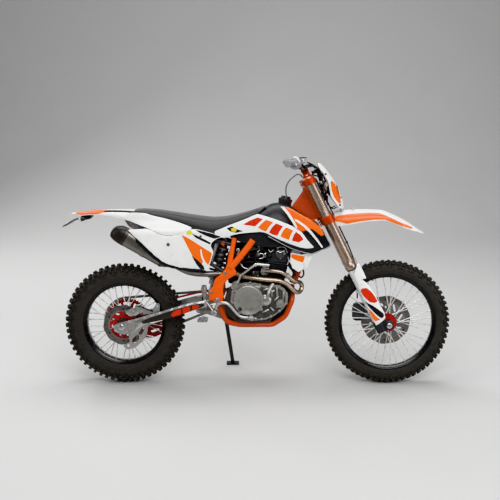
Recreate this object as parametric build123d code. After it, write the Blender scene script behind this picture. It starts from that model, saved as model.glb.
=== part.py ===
from build123d import *
import math
import os

os.makedirs("parts", exist_ok=True)

# ---------------------------------------------------------------- driving dimensions (mm, degrees)
wheelbase = 1467.4          # between the axles
front_radius = 348.2        # outer radius of the front tyre
rear_radius = 339.3         # outer radius of the rear tyre
front_section = 82.0        # width of the front tyre
rear_section = 112.0        # width of the rear tyre
front_rim_r = 266.7         # bead seat radius of the 21 inch rim
rear_rim_r = 228.6          # bead seat radius of the 18 inch rim
rake = 26.0                 # steering axis from the vertical
clamp_offset = 22.0         # fork legs ahead of the steering axis
axle_lead = 48.4            # front axle ahead of the fork legs
fork_half = 100.0           # fork legs from the centre plane
fork_tube_r = 30.0          # outer fork tube radius
slider_r = 24.0             # slider radius
steer_x = 276.5             # steering axis at the top clamp
steer_z = 1125.0
lean = 8.0                  # lean to the left on the side stand
axle_r = 10.0               # both wheel axles
run = 0.08                  # running clearance at shafts
stem_r = 14.0
bar_half = 405.0
trunk_in, trunk_out = 93.0, 118.0
pivot_x, pivot_z = -205.0, 490.0   # swingarm pivot

xf, zf = wheelbase / 2, front_radius
xr, zr = -wheelbase / 2, rear_radius
se, ce = math.sin(math.radians(rake)), math.cos(math.radians(rake))

C = Align.CENTER
N = Align.MIN


# ---------------------------------------------------------------- helpers
def S(u, v, w):
    """Point in the steering frame: u ahead of the axis, v to the left, w up along it."""
    return (steer_x + u * ce - w * se, v, steer_z + u * se + w * ce)


def steer_plane(w=0.0, u=0.0, v=0.0):
    return Plane(origin=S(u, v, w), x_dir=(ce, 0, se), z_dir=(-se, 0, ce))


def poly(pts, y0, y1):
    """Outline in the X-Z plane, extruded from y0 to y1."""
    line = Polyline(*[(x, y0, z) for x, z in pts], close=True)
    face = make_face(line)
    return extrude(face, amount=y1 - y0, dir=(0, 1, 0))


def both(shape):
    return [shape, mirror(shape, about=Plane.XZ)]


def rod(p, q, r):
    p, q = Vector(*p), Vector(*q)
    d = q - p
    return Plane(origin=p, z_dir=d) * Cylinder(r, d.length, align=(C, C, N))


def rody(x, z, y0, y1, r):
    return rod((x, y0, z), (x, y1, z), r)


def ringy(x, z, y0, y1, ro, ri):
    return rody(x, z, y0, y1, ro) - rody(x, z, y0 - 1, y1 + 1, ri)


def corner_radii(pts, top=1e9, part=0.45):
    """Largest arcs that the two runs at each corner allow."""
    out = []
    for i in range(1, len(pts) - 1):
        a = Vector(*pts[i]) - Vector(*pts[i - 1])
        b = Vector(*pts[i + 1]) - Vector(*pts[i])
        half = math.radians(a.get_angle(b)) / 2
        out.append(min(top, part * min(a.length, b.length) / math.tan(half)))
    return out


def bent(pts, r, radii):
    top = radii if isinstance(radii, (int, float)) else 1e9
    fit = corner_radii(pts, top, 0.45)
    if not isinstance(radii, (int, float)):
        fit = [min(a, b) for a, b in zip(fit, radii)]
    path = FilletPolyline(*pts, radius=fit)
    d = Vector(*pts[1]) - Vector(*pts[0])
    sec = Plane(origin=pts[0], z_dir=d) * Circle(r)
    return sweep(sec, path=path)


def revolve_y(profile, x, z):
    """Closed profile of (y, radius) pairs turned about an axle along Y."""
    line = Polyline(*[(x + r, y, z) for y, r in profile], close=True)
    return revolve(make_face(line), axis=Axis((x, 0, z), (0, 1, 0)))


def box(x0, x1, y0, y1, z0, z1):
    return Pos((x0 + x1) / 2, (y0 + y1) / 2, (z0 + z1) / 2) * Box(x1 - x0, y1 - y0, z1 - z0)


def ribbon(pts, t):
    """Outline of a strip of thickness t below a polyline in X-Z."""
    low = []
    for i, (x, z) in enumerate(pts):
        a = pts[max(0, i - 1)]
        b = pts[min(len(pts) - 1, i + 1)]
        dx, dz = b[0] - a[0], b[1] - a[1]
        L = math.hypot(dx, dz)
        nx, nz = dz / L, -dx / L
        if nz > 0:
            nx, nz = -nx, -nz
        low.append((x + nx * t, z + nz * t))
    return pts + low[::-1]


nodes = {}


def add(name, *shapes):
    flat = []
    for s in shapes:
        flat += s if isinstance(s, list) else [s]
    nodes.setdefault(name, []).extend(flat)


# ---------------------------------------------------------------- wheels
def crown(half, R, rb, k=12):
    """Tyre section from bead to bead over the crown, as (y, radius)."""
    pts = []
    hb = half * 0.62
    h = R - rb
    for i in range(k + 1):
        a = math.pi * i / k
        y = -half * math.cos(a)
        if i == 0 or i == k:
            pts.append((math.copysign(half, y), rb + h * 0.48))
        else:
            pts.append((y, rb + h * 0.48 + h * 0.52 * math.sin(a) ** 0.75))
    return [(-hb, rb + 1)] + [(-half * 0.93, rb + h * 0.22)] + pts + [(half * 0.93, rb + h * 0.22)] + [(hb, rb + 1)]


def tyre(x, z, half, R, rb):
    out = crown(half, R, rb)
    inner = [(y * 0.78, rb + 1 + max(0.0, r - rb - 1) * 0.78) for y, r in out]
    inner[0] = (-half * 0.62 + 9, rb + 1)
    inner[-1] = (half * 0.62 - 9, rb + 1)
    return revolve_y(out + inner[::-1], x, z)


def rim(x, z, half, rb, rin):
    hb = half
    return revolve_y([(-hb - 3.5, rb + 9), (-hb - 1, rb + 9), (-hb, rb + 0.4), (-hb + 12, rb + 0.4),
                      (-hb + 15, rin + 5), (hb - 15, rin + 5), (hb - 12, rb + 0.4), (hb, rb + 0.4),
                      (hb + 1, rb + 9), (hb + 3.5, rb + 9), (hb + 3, rb - 5), (hb - 9, rb - 6),
                      (hb - 13, rin), (-hb + 13, rin), (-hb + 9, rb - 6), (-hb - 3, rb - 5)], x, z)


def spokes(x, z, fl_y, fl_r, rin, n=18, r=2.0):
    """Both flange rings with their tangential spokes, one joined solid a side."""
    out = []
    for side in (-1, 1):
        y = side * fl_y
        s = ringy(x, z, y - 2, y + 2, fl_r + 4, fl_r - 4)
        for i in range(n):
            a = 2 * math.pi * (i + 0.25 * side) / n
            b = a + math.radians(36) * (1 if i % 2 else -1)
            s += rod((x + fl_r * math.cos(a), y + (1 if i % 2 else -1), z + fl_r * math.sin(a)),
                     (x + (rin + 2) * math.cos(b), y * 0.22, z + (rin + 2) * math.sin(b)), r)
        out.append(s)
    return out


front_half, rear_half = front_section / 2, rear_section / 2
add("front_tyre", tyre(xf, zf, front_half, front_radius, front_rim_r))
add("rear_tyre", tyre(xr, zr, rear_half, rear_radius, rear_rim_r))
add("front_rim", rim(xf, zf, front_half * 0.62, front_rim_r, 250.0))
add("rear_rim", rim(xr, zr, rear_half * 0.62, rear_rim_r, 213.0))
add("front_spokes", spokes(xf, zf, 26, 27, 250.0))
add("rear_spokes", spokes(xr, zr, 34, 36, 213.0))
fh = rody(xf, zf, -23.9, 23.9, 20) + rody(xf, zf, -40, -28.1, 24) + rody(xf, zf, 28.1, 40, 24)
fh += rody(xf, zf, -40, 40, 17)
add("front_hub", fh - rody(xf, zf, -60, 60, axle_r + run))
rh = rody(xr, zr, -31.9, 31.9, 26) + rody(xr, zr, -58, -36.1, 32) + rody(xr, zr, 36.1, 66, 32)
rh += rody(xr, zr, -70, 72, 23)
add("rear_hub", rh - rody(xr, zr, -90, 90, axle_r + run))


def disc(x, z, y, R, ri, holes=18):
    d = ringy(x, z, y - 2, y + 2, R, ri)
    d2 = ringy(x, z, y - 2, y + 2, R - 26, R - 40)
    slots = []
    for i in range(6):
        a = 2 * math.pi * i / 6
        slots.append(rod((x + (R - 45) * math.cos(a), y - 3, z + (R - 45) * math.sin(a)),
                         (x + (R - 45) * math.cos(a), y + 3, z + (R - 45) * math.sin(a)), 16))
    for s in slots:
        d -= s
    return d


add("front_disc", disc(xf, zf, 42.1, 137.0, 17.1))
add("rear_disc", disc(xr, zr, -60.1, 112.0, 23.1))
# rear sprocket, left side
spr_y = 78.0
spr = ringy(xr, zr, spr_y - 3, spr_y + 3, 128, 23.1)
for i in range(6):
    a = 2 * math.pi * i / 6 + 0.3
    spr -= rody(xr + 80 * math.cos(a), zr + 80 * math.sin(a), spr_y - 5, spr_y + 5, 27)
spr += ringy(xr, zr, 66.1, spr_y, 34, 23.1)
add("rear_sprocket", spr)

# ---------------------------------------------------------------- steering assembly
w_axle = -898.6             # wheel axle below the top clamp, along the fork
u_leg = clamp_offset
w_tube_end = -550.0


def clamp(w0, w1, r_out, stem_hole):
    pl = steer_plane(w0)
    h = w1 - w0
    s = pl * Pos(u_leg, 0, 0) * Box(44, 2 * fork_half, h, align=(C, C, N))
    s += pl * Cylinder(34, h, align=(C, C, N))
    for v in (-fork_half, fork_half):
        s += pl * Pos(u_leg, v, 0) * Cylinder(r_out, h, align=(C, C, N))
        s += pl * Pos(u_leg - 34, v * 0.93, 0) * Box(30, 22, h, align=(C, C, N))
    for v in (-fork_half, fork_half):
        s -= pl * Pos(u_leg, v, -1) * Cylinder(fork_tube_r, h + 2, align=(C, C, N))
    s -= pl * Pos(u_leg + 12, 0, -1) * Box(30, 60, h + 2, align=(C, C, N))
    s -= pl * Pos(0, 0, -1) * Cylinder(stem_hole, h + 2, align=(C, C, N))
    return s


add("upper_clamp", clamp(-18, 18, 38, stem_r))
add("lower_clamp", clamp(-252, -208, 38, stem_r))
stem = rod(S(0, 0, -252), S(0, 0, 26), stem_r) + rod(S(0, 0, 18), S(0, 0, 30), 21)
stem_bore = rod(S(0, 0, 5), S(0, 0, 40), 7.0)
add("steering_stem", stem - stem_bore)
for v in (-fork_half, fork_half):
    add("fork_tubes", rod(S(u_leg, v, w_tube_end), S(u_leg, v, 26), fork_tube_r))
    lug = rod(S(u_leg, v, -886), S(u_leg, v, w_tube_end), slider_r)
    lug += rody(xf, zf, v - 18, v + 18, 26)
    lug += steer_plane(w_axle, (u_leg + 70.4) / 2, v) * Box(60, 30, 44)
    lug += rod(S(u_leg, v, w_axle - 12), S(u_leg, v, -860), 27)
    lug -= rody(xf, zf, -140, 140, axle_r)
    add("fork_sliders", lug)
add("front_axle", rody(xf, zf, -124, 124, axle_r) + rody(xf, zf, 118, 128, 17) + rody(xf, zf, -126, -118, 15))
spacer = ringy(xf, zf, -81.9, -40.3, 16, axle_r)
add("front_spacers", spacer, ringy(xf, zf, 40.3, 81.9, 16, axle_r) - ringy(xf, zf, 38, 46, 30, 16.5))

guard = poly([(553, 701), (602, 603), (624, 559), (652, 516), (685, 444), (707, 389), (722, 372),
              (690, 352), (656, 350), (626, 400), (593, 461), (571, 521), (560, 570), (545, 640)], -134, -128)
guard += rody(650, 385, -128.5, -117, 9) + rody(580, 640, -128.5, -128, 9)
for g in both(guard):
    add("fork_guards", g)

fender_top = [(437, 967), (470, 972), (524, 976), (580, 978), (634, 977), (689, 974), (722, 966), (766, 947),
              (816, 922), (866, 891), (899, 869), (930, 847)]
fender_low = [(926, 841), (884, 860), (852, 867), (814, 881), (781, 897), (732, 916), (705, 922), (668, 922),
              (598, 916), (528, 903), (501, 897), (458, 892)]
outer = poly(fender_top + fender_low, -84, 84)
taper = poly([(430, 800), (940, 800), (940, 1000), (430, 1000)], -90, 90)
plan = make_face(Polyline((430, -66, 780), (560, -84, 780), (760, -84, 780), (880, -62, 780), (926, -30, 780),
                          (932, 0, 780), (926, 30, 780), (880, 62, 780), (760, 84, 780), (560, 84, 780),
                          (430, 66, 780), close=True))
plan = extrude(plan, amount=240, dir=(0, 0, 1))
inner_top = ribbon(fender_top, 6)[len(fender_top):][::-1]
inner = poly([(420, 958)] + inner_top + [(940, 835), (940, 780), (420, 780)], -78, 78)
inner_plan = make_face(Polyline((400, -60, 770), (560, -78, 770), (760, -78, 770), (874, -57, 770), (918, -28, 770),
                                (924, 0, 770), (918, 28, 770), (874, 57, 770), (760, 78, 770), (560, 78, 770),
                                (400, 60, 770), close=True))
inner_plan = extrude(inner_plan, amount=260, dir=(0, 0, 1))
fender = (outer & plan) - (inner & inner_plan)
fender -= steer_plane(-330) * Pos(u_leg, -fork_half, 0) * Cylinder(36, 130, align=(C, C, N))
fender -= steer_plane(-330) * Pos(u_leg, fork_half, 0) * Cylinder(36, 130, align=(C, C, N))
fender_mount = rod(S(48, -24, -240), (462, -24, 955), 7) + rod(S(48, 24, -240), (462, 24, 955), 7)
add("front_fender", fender)

mask_front = [(358, 1231), (386, 1203), (413, 1168), (441, 1126), (466, 1082), (483, 1027), (491, 983)]
mask_rear = [(466, 984), (439, 1018), (418, 1050), (409, 1088), (401, 1120), (390, 1141), (363, 1182), (347, 1200),
             (340, 1224)]
mo = poly(mask_front + mask_rear, -112, 112)
face_plan = extrude(make_face(Polyline((300, -112, 960), (420, -112, 960), (470, -74, 960), (500, -40, 960),
                                       (506, 0, 960), (500, 40, 960), (470, 74, 960), (420, 112, 960),
                                       (300, 112, 960), close=True)), amount=290, dir=(0, 0, 1))
side_plan = extrude(make_face(Polyline((300, -112, 1240), (300, -104, 1110), (300, -72, 960), (300, 72, 960),
                                       (300, 104, 1110), (300, 112, 1240), close=True)), amount=230, dir=(1, 0, 0))
mi = poly([(x - 6, z - 3) for x, z in mask_front] + [(440, 960), (300, 960), (300, 1240), (330, 1240)], -106, 106)
mask = (mo & face_plan & side_plan) - (mi & Pos(-6, 0, 0) * scale(face_plan, by=(1, 0.94, 1)))
lamp_zone = box(380, 520, -62, 62, 1038, 1112)
mask -= lamp_zone
add("headlight_mask", mask)
lamp = poly([(462, 1040), (438, 1110), (400, 1110), (392, 1040)], -58, 58)
lamp += poly([(477, 1042), (448, 1108), (430, 1108), (430, 1042)], -52, 52)
add("headlight", lamp & face_plan)
stay = rod(S(58, -40, -6), (402, -40, 1090), 6)
add("lamp_bracket", rod(S(43, -30, 0), (401, -30, 1085), 6), rod(S(43, 30, 0), (401, 30, 1085), 6))

bar_c = S(26, 0, 60)
bar_pts = [(176, -bar_half, 1233), (243, -168, 1237), (bar_c[0], -62, bar_c[2]), (bar_c[0], 62, bar_c[2]),
           (243, 168, 1237), (176, bar_half, 1233)]
add("handlebar", bent(bar_pts, 11, [60, 60, 60, 60]))
for v in (-38, 38):
    blk = steer_plane(18, 26, v) * Box(36, 28, 60, align=(C, C, N))
    blk -= rody(bar_c[0], bar_c[2], -60, 60, 11)
    add("bar_clamps", blk)


def along(t):
    a, b = Vector(*bar_pts[1]), Vector(*bar_pts[0])
    return a + (b - a) * t


for sgn in (-1, 1):
    a, b = along(0.46), along(1.0)
    a, b = Vector(a.X, -sgn * a.Y, a.Z), Vector(b.X, -sgn * b.Y, b.Z)
    e = b + (b - a).normalized() * 3
    g = rod(a, e, 16.5) - rod(a - (b - a) * 0.1, b, 11)
    g += rod(a - (b - a).normalized() * 4, a, 24) - rod(a - (b - a) * 0.2, b, 11)
    add("grips", g)
for sgn in (-1, 1):
    p0, p1 = along(0.16), along(0.27)
    p0, p1 = Vector(p0.X, sgn * abs(p0.Y), p0.Z), Vector(p1.X, sgn * abs(p1.Y), p1.Z)
    d = p1 - p0
    hold = rod(p0, p1, 17) - rod(p0 - d, p1 + d, 11)
    body = rod((p0.X + 26, p0.Y - sgn * 22, p0.Z + 8), (p1.X + 30, p1.Y + sgn * 4, p1.Z + 8), 11)
    body += rod((p0.X + 8, p0.Y, p0.Z + 6), (p0.X + 28, p0.Y, p0.Z + 8), 9)
    if sgn < 0:
        body += box(p0.X + 8, p0.X + 44, p0.Y - 20, p0.Y + 24, p0.Z + 8, p0.Z + 30)
    lever = bent([(p1.X + 30, p1.Y + sgn * 2, p1.Z + 6), (p1.X + 38, p1.Y + sgn * 50, p1.Z + 2),
                  (p1.X - 8, p1.Y + sgn * 172, p1.Z - 8)], 5.5, [50])
    add("control_levers", (hold + body + lever) - rod(p0 - d, p1 + d, 11))
add("instrument", steer_plane(78, 30, 0) * Box(46, 74, 18, align=(C, C, N)))

cal = box(548, 592, 27, 74, 352, 446) - box(540, 600, 35.1, 49.1, 300, 500)
cal += box(548, 584, 34, 50, 352, 446) & box(500, 590, 0, 90, 300, 500)
ring = ringy(xf, zf, 20, 80, 400, 142.5)
cal = (box(546, 628, 49.1, 74, 340, 446) & ringy(xf, zf, 49.1, 74, 300, 98)) + \
      (box(546, 628, 28, 74, 340, 446) & ringy(xf, zf, 28, 74, 300, 143)) + \
      (box(546, 628, 28, 35.1, 340, 446) & ringy(xf, zf, 28, 35.1, 300, 112))
cal += poly([(600, 440), (640, 446), (668, 392), (690, 330), (660, 322), (628, 340)], 60, 74)
cal -= rod(S(u_leg, fork_half, -886), S(u_leg, fork_half, -500), slider_r)
cal -= rod(S(u_leg, fork_half, w_axle - 12), S(u_leg, fork_half, -860), 27)
add("front_caliper", cal)
hose = [S(56, -150, 96), S(76, -96, 74), S(84, -20, 30), S(76, 66, -60), S(66, 104, -160), S(66, 104, -470),
        S(46, 66, -590), S(-20, 62, -722)]
add("front_brake_hose", bent(hose, 4.0, [30, 45, 60, 60, 160, 90]))

# ---------------------------------------------------------------- frame
head = rod(S(0, 0, -204), S(0, 0, -22), 29)
gus = poly([(265, 1060), (236, 1030), (205, 990), (190, 940), (240, 905), (352, 905), (356, 940), (325, 975)], -32, 32)
gus -= poly([(228, 985), (215, 965), (225, 935), (280, 925), (300, 945), (270, 985)], -40, 40)
head = head + (gus & rod(S(-70, 0, -206), S(-70, 0, -24), 110))
head -= rod(S(0, 0, -300), S(0, 0, 60), stem_r + run)
add("steering_head", head)
rails = []
for s in (-1, 1):
    rails.append(bent([(196, s * 22, 955), (60, s * 46, 862), (-44, s * 74, 770)], 15, [60]))
xbar = rody(-44, 770, -104, 104, 15)
add("frame_backbone", rails[0] + rails[1] + xbar - poly([(-251, 527), (-300, 400), (-160, 400), (-100, 600)], -1, 1))
trunk_pts = [(-251, 527), (-251, 488), (-213, 482), (-207, 466), (-185, 466), (-174, 488), (-169, 504), (-174, 543),
             (-168, 577), (-146, 604), (-107, 626), (-88, 662), (-63, 709), (-25, 753), (3, 791), (-30, 788),
             (-79, 742), (-123, 698), (-129, 700), (-117, 791), (-139, 780), (-156, 698), (-156, 665), (-184, 632),
             (-217, 604), (-225, 577), (-234, 554), (-251, 538)]
trunk = poly(trunk_pts, -trunk_out, -trunk_in)
trunk -= rody(-44, 770, -200, 200, 15)
trunk -= rody(pivot_x, pivot_z, -200, 200, 9)
for t in both(trunk):
    add("frame_trunks", t)
bolt_p = rody(pivot_x, pivot_z, -trunk_out - 12, trunk_out + 12, 9)
bolt_p += rody(pivot_x, pivot_z, -trunk_out - 14, -trunk_out - 8, 15) + rody(pivot_x, pivot_z, trunk_out + 8, trunk_out + 14, 15)
add("frame_crossbars", bolt_p, rody(-128, 672, -trunk_in, trunk_in, 12))
add("downtube", bent([(322, 0, 905), (240, 0, 640), (209, 0, 566)], 20, [200]))
for s in (-1, 1):
    add("frame_cradle", bent([(206, s * 12, 548), (206, s * 62, 480), (168, s * 75, 392), (98, s * 75, 345),
                              (-90, s * 80, 345), (-160, s * 106, 368), (-196, s * 106, 462)], 14,
                             [50, 70, 60, 120, 60]))
cr = nodes["frame_cradle"]
cr_cross = rody(-110, 345, -62, 62, 12)
for s in (-1, 1):
    a = bent([(-122, s * 92, 792), (-300, s * 84, 830), (-640, s * 62, 925)], 11, [300])
    b = bent([(-172, s * 105.5, 646), (-330, s * 82, 742), (-590, s * 66, 890)], 10, [120])
    add("subframe", a, b)
add("subframe_bridge", box(-648, -600, -60, 60, 915, 935) - rod((-590, 66, 890), (-640, 66, 930), 30)
    - rod((-590, -66, 890), (-640, -66, 930), 30))

# ---------------------------------------------------------------- engine
case_pts = [(-168, 470), (-160, 400), (-120, 380), (80, 380), (112, 404), (146, 440), (158, 490), (164, 530),
            (150, 556), (40, 572), (-60, 566), (-140, 540), (-164, 505)]
case = poly(case_pts, -88, 88)
case += rody(-30, 485, -126, -88, 86) + rody(78, 455, -116, -88, 52)
case += rody(20, 470, 88, 122, 74)
add("crankcase", case)
cc = rody(-30, 485, -148, -126, 78) + rody(-30, 485, -151, -148, 66)
cc += rody(102, 440, -130, -116.2, 30)
cc += rody(-30, 485, -154, -150, 15)
for i in range(7):
    a = 2 * math.pi * (i + 0.3) / 7
    cc += rody(-30 + 78 * math.cos(a), 485 + 78 * math.sin(a), -146, -126, 7.5)
add("clutch_cover", cc - rody(-30, 485, -170, 200, 5))
add("magneto_cover", rody(20, 470, 122, 140, 66) + rody(20, 470, 140, 144, 50))
add("front_sprocket", rody(-118, 486, spr_y - 3, spr_y + 3, 30))
nodes["crankcase"][0] = nodes["crankcase"][0] - rody(-118, 486, spr_y - 12, 130, 48)
nodes["crankcase"][0] += rody(-118, 486, spr_y - 14, spr_y - 3, 14)
barrel = poly([(22, 570), (152, 556), (178, 690), (58, 706)], -62, 62)
fins = Part()
for i in range(7):
    t = (i + 0.5) / 7
    z0 = 572 + 124 * t
    x0 = 24 + 34 * t
    barrel += poly([(x0 - 8, z0), (x0 + 144, z0 - 15), (x0 + 144, z0 - 10), (x0 - 8, z0 + 5)], -74, 74)
add("cylinder", barrel)
hd = poly([(54, 708), (180, 691), (188, 742), (160, 786), (96, 792), (62, 760)], -70, 70)
hd += rody(122, 742, -84, -70, 26) + rody(122, 742, 70, 84, 26)
add("cylinder_head", hd)
add("intake", rod((56, 0, 722), (-76, 0, 726), 24) + rod((-12, 0, 728), (-12, 0, 684), 22) + box(-40, 14, -34, 34, 702, 750))
add("airbox", poly([(-262, 700), (-262, 840), (-330, 862), (-540, 900), (-560, 850), (-480, 740), (-380, 690)], -62, 62))
add("intake_boot", bent([(-76, 0, 726), (-120, 30, 728), (-190, 63, 742), (-268, 60, 766)], 18, [60, 60])
    - nodes["airbox"][0])

# ---------------------------------------------------------------- exhaust
pipe_r = 17.0
head_pts = [(140, -66, 722), (170, -84, 716), (214, -52, 650), (262, 44, 664), (300, 46, 640), (304, -6, 600),
            (300, -60, 560), (262, -98, 532), (180, -104, 566), (90, -100, 606), (0, -100, 615), (-90, -86, 628),
            (-190, -76, 628)]
add("header_pipe", bent([(158, -72, 730), (214, -72, 672), (274, -54, 654), (302, -8, 650), (306, 40, 626),
                         (306, 38, 588), (300, -20, 566), (282, -76, 548), (226, -104, 548), (120, -104, 596),
                         (10, -96, 617), (-90, -72, 628), (-250, -74, 628)], pipe_r, 200))
add("mid_pipe", bent([(-250, -74, 628), (-292, -82, 629), (-362, -118, 644), (-452, -128, 694)], 20, 90))
dirx, dirz = -0.8625, 0.506
can0 = Vector(-452, -128, 694)
can_dir = Vector(dirx, 0, dirz)
pl_can = Plane(origin=can0, x_dir=(0.506, 0, 0.8625), z_dir=can_dir)
can = loft([(pl_can * Pos(0, 0, 0) * Ellipse(27, 26)), (pl_can * Pos(0, 0, 46) * Ellipse(46, 38)),
            (pl_can * Pos(0, 0, 292) * Ellipse(48, 40))])
add("silencer", can)
cap_plane = pl_can * Pos(0, 0, 292)
cap = loft([pl_can * Pos(0, 0, 292) * Ellipse(48, 40), pl_can * Pos(0, 0, 336) * Ellipse(44, 36),
            pl_can * Pos(-8, 0, 364) * Ellipse(30, 24)])
cap -= pl_can * Pos(-8, 0, 320) * Cylinder(17, 80, align=(C, C, N))
add("silencer_cap", cap)

# ---------------------------------------------------------------- cooling, tank, seat, bodywork
for s in (-1, 1):
    b = poly([(196, 742), (246, 724), (292, 872), (244, 894)], min(s * 46, s * 116), max(s * 46, s * 116))
    b -= rod(S(0, 0, -264), S(0, 0, -196), 110)
    add("radiators", b)
lower_shroud = poly([(187, 760), (322, 754), (310, 720), (300, 699), (284, 661), (268, 667), (257, 650), (225, 653),
                     (198, 667), (192, 721)], -123, -117)
for t in both(lower_shroud):
    add("lower_shrouds", t)
upper = [(96, 1000), (138, 1005), (186, 995), (218, 978), (266, 952), (309, 919), (352, 898), (373, 876), (384, 844),
         (396, 817), (400, 792), (379, 779), (342, 768), (310, 762), (272, 762), (235, 774), (192, 788), (160, 807),
         (127, 823), (57, 855), (100, 890), (60, 950)]
white = [(-212, 870), (-174, 878), (-77, 919), (25, 959), (70, 950), (100, 900), (57, 862), (20, 860), (-77, 852),
         (-159, 836), (-214, 820)]
us = poly(upper, -148, -138)
ws = poly(white, -136, -126)
ws += poly([(40, 940), (90, 905), (60, 865), (20, 870), (10, 930)], -142, -132) - poly(upper, -160, -120)
for t in both(us):
    add("shrouds", t)
for t in both(ws):
    add("side_wings", t)
tank_pts = [(-128, 834), (-128, 846), (-70, 914), (20, 968), (84, 1008), (128, 1012), (206, 996), (232, 960),
            (196, 860), (160, 796), (84, 782), (3, 796), (-60, 808)]
tank = poly(tank_pts, -116, 116)
tank -= poly([(260, 1010), (200, 960), (60, 905), (-20, 800), (-20, 700), (300, 700)], -66, 66)
tank -= poly([(300, 1000), (225, 1000), (168, 935), (168, 700), (300, 700)], -70, 70)
tank -= rody(-44, 770, -130, 130, 30)
for r in nodes["radiators"]:
    tank -= r
for t in nodes["frame_trunks"]:
    tank -= t
for t in (nodes["subframe"]):
    tank -= t
tank -= poly([(-60, 700), (-60, 800), (20, 806), (20, 700)], -130, 130)
add("tank", tank)
cap_c = (166, 0, 1010)
cap_d = Vector(0.19, 0, 0.98).normalized()
tc = rod((163, 0, 990), (172, 0, 1038), 37) + rod((172, 0, 1038), (174.5, 0, 1051), 27)
tc -= rod((166, 0, 1006), (175.5, 0, 1056), 4.0)
nodes["tank"][0] -= rod((163, 0, 990), (172, 0, 1038), 37)
add("tank_cap", tc)
seat_top = [(-663, 987), (-582, 985), (-499, 978), (-415, 967), (-332, 955), (-277, 948), (-232, 945), (-182, 947),
            (-127, 957), (-66, 974), (-16, 990), (40, 1004), (84, 1014)]
seat_low = [(78, 1010), (41, 986), (25, 974), (-34, 938), (-105, 900), (-175, 880), (-219, 873), (-268, 882),
            (-322, 893), (-376, 909), (-430, 926), (-495, 939), (-565, 956), (-592, 966), (-641, 975)]
seat = poly(seat_top + seat_low, -112, 112)
seat_plan = extrude(make_face(Polyline((-670, -78, 800), (-400, -100, 800), (-230, -104, 800), (-100, -92, 800),
                                       (90, -58, 800), (90, 58, 800), (-100, 92, 800), (-230, 104, 800),
                                       (-400, 100, 800), (-670, 78, 800), close=True)), amount=260, dir=(0, 0, 1))
seat &= seat_plan
seat -= nodes["tank"][0]
for t in nodes["subframe"]:
    seat -= t
seat -= nodes["subframe_bridge"][0]
add("seat", seat)
panel = [(-679, 930), (-642, 927), (-572, 912), (-500, 894), (-430, 886), (-370, 876), (-310, 872), (-250, 858),
         (-228, 802), (-223, 758), (-251, 682), (-289, 666), (-375, 674), (-446, 691), (-484, 704), (-510, 723),
         (-564, 773), (-617, 819), (-643, 846), (-675, 879)]


def slab(y_front, y_rear, t):
    """Upright slab whose distance from the centre plane changes along X."""
    x_f, x_r = -200.0, -690.0
    face = make_face(Polyline((x_f + 60, y_front, 500), (x_r, y_rear, 500), (x_r, y_rear - t, 500),
                              (x_f + 60, y_front - t, 500), close=True))
    return extrude(face, amount=600, dir=(0, 0, 1))


strip = [(-430, 926), (-367, 906), (-319, 890), (-262, 880), (-222, 872), (-216, 828), (-250, 815), (-310, 860),
         (-420, 880)]
pan_r = (poly(panel, -210, -100) + poly(strip, -210, -100)) & slab(-124, -172, 6)
pan_l = (poly(panel, 100, 210) + poly(strip, 100, 210)) & slab(130, 152, 6)
add("side_panels", pan_r, pan_l)
rf_top = [(-1013, 963), (-985, 974), (-928, 982), (-861, 988), (-777, 990), (-700, 988), (-664, 984)]
rf_low = [(-664, 962), (-690, 936), (-732, 937), (-797, 946), (-841, 951), (-896, 953), (-962, 953), (-1010, 958)]
rf_plan = extrude(make_face(Polyline((-1014, -34, 900), (-1000, -62, 900), (-900, -84, 900), (-740, -98, 900),
                                     (-660, -98, 900), (-660, 98, 900), (-740, 98, 900), (-900, 84, 900),
                                     (-1000, 62, 900), (-1014, 34, 900), close=True)), amount=120, dir=(0, 0, 1))
rf_in = extrude(make_face(Polyline((-1006, -28, 880), (-994, -56, 880), (-896, -78, 880), (-740, -92, 880),
                                   (-650, -92, 880), (-650, 92, 880), (-740, 92, 880), (-896, 78, 880),
                                   (-994, 56, 880), (-1006, 28, 880), close=True)), amount=140, dir=(0, 0, 1))
rf = poly(rf_top + rf_low, -100, 100) & rf_plan
rf -= poly([(-1008, 900), (-1008, 957), (-985, 967), (-928, 975), (-861, 981), (-777, 983), (-655, 980),
            (-655, 900)], -120, 120) & rf_in
rf -= nodes["seat"][0]
add("rear_fender", rf)
add("plate_holder", poly([(-1066, 890), (-1060, 884), (-1024, 908), (-966, 930), (-966, 967), (-985, 967), (-990, 938),
                          (-1026, 921)], -54, 54))
add("tail_light", poly([(-962, 915), (-905, 926), (-905, 948), (-920, 962), (-962, 948)], -48, 48))
nodes["tail_light"][0] -= nodes["plate_holder"][0]

# ---------------------------------------------------------------- swingarm, drive, rear suspension
arm_pts = [(-262, 486), (-276, 485), (-354, 471), (-410, 457), (-465, 440), (-520, 422), (-603, 399), (-676, 378),
           (-753, 360), (-778, 345), (-776, 316), (-755, 302), (-683, 297), (-649, 322), (-615, 347), (-576, 364),
           (-521, 377), (-466, 391), (-410, 406), (-355, 424), (-300, 442), (-270, 448), (-262, 452)]
arm = poly(arm_pts, 95, 118)
arm -= rody(xr, zr, 80, 130, axle_r)
bridge = poly([(-286, 470), (-350, 462), (-356, 428), (-300, 445)], -95, 95)
bridge += rod((-292, 82, 462), (pivot_x, 74, pivot_z), 12) + rod((-292, -82, 462), (pivot_x, -74, pivot_z), 12)
bridge += rody(pivot_x, pivot_z, 58, 92.5, 19) + rody(pivot_x, pivot_z, -92.5, -58, 19)
bridge -= box(-330, -250, -34, 34, 300, 600)
sw = arm + mirror(arm, about=Plane.XZ) + bridge
for t in nodes["frame_trunks"] + nodes["frame_crossbars"]:
    sw -= t
add("swingarm", sw)
add("rear_axle", rody(xr, zr, -128, 128, axle_r) + rody(xr, zr, 118, 132, 17) + rody(xr, zr, -132, -118, 17))
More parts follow.
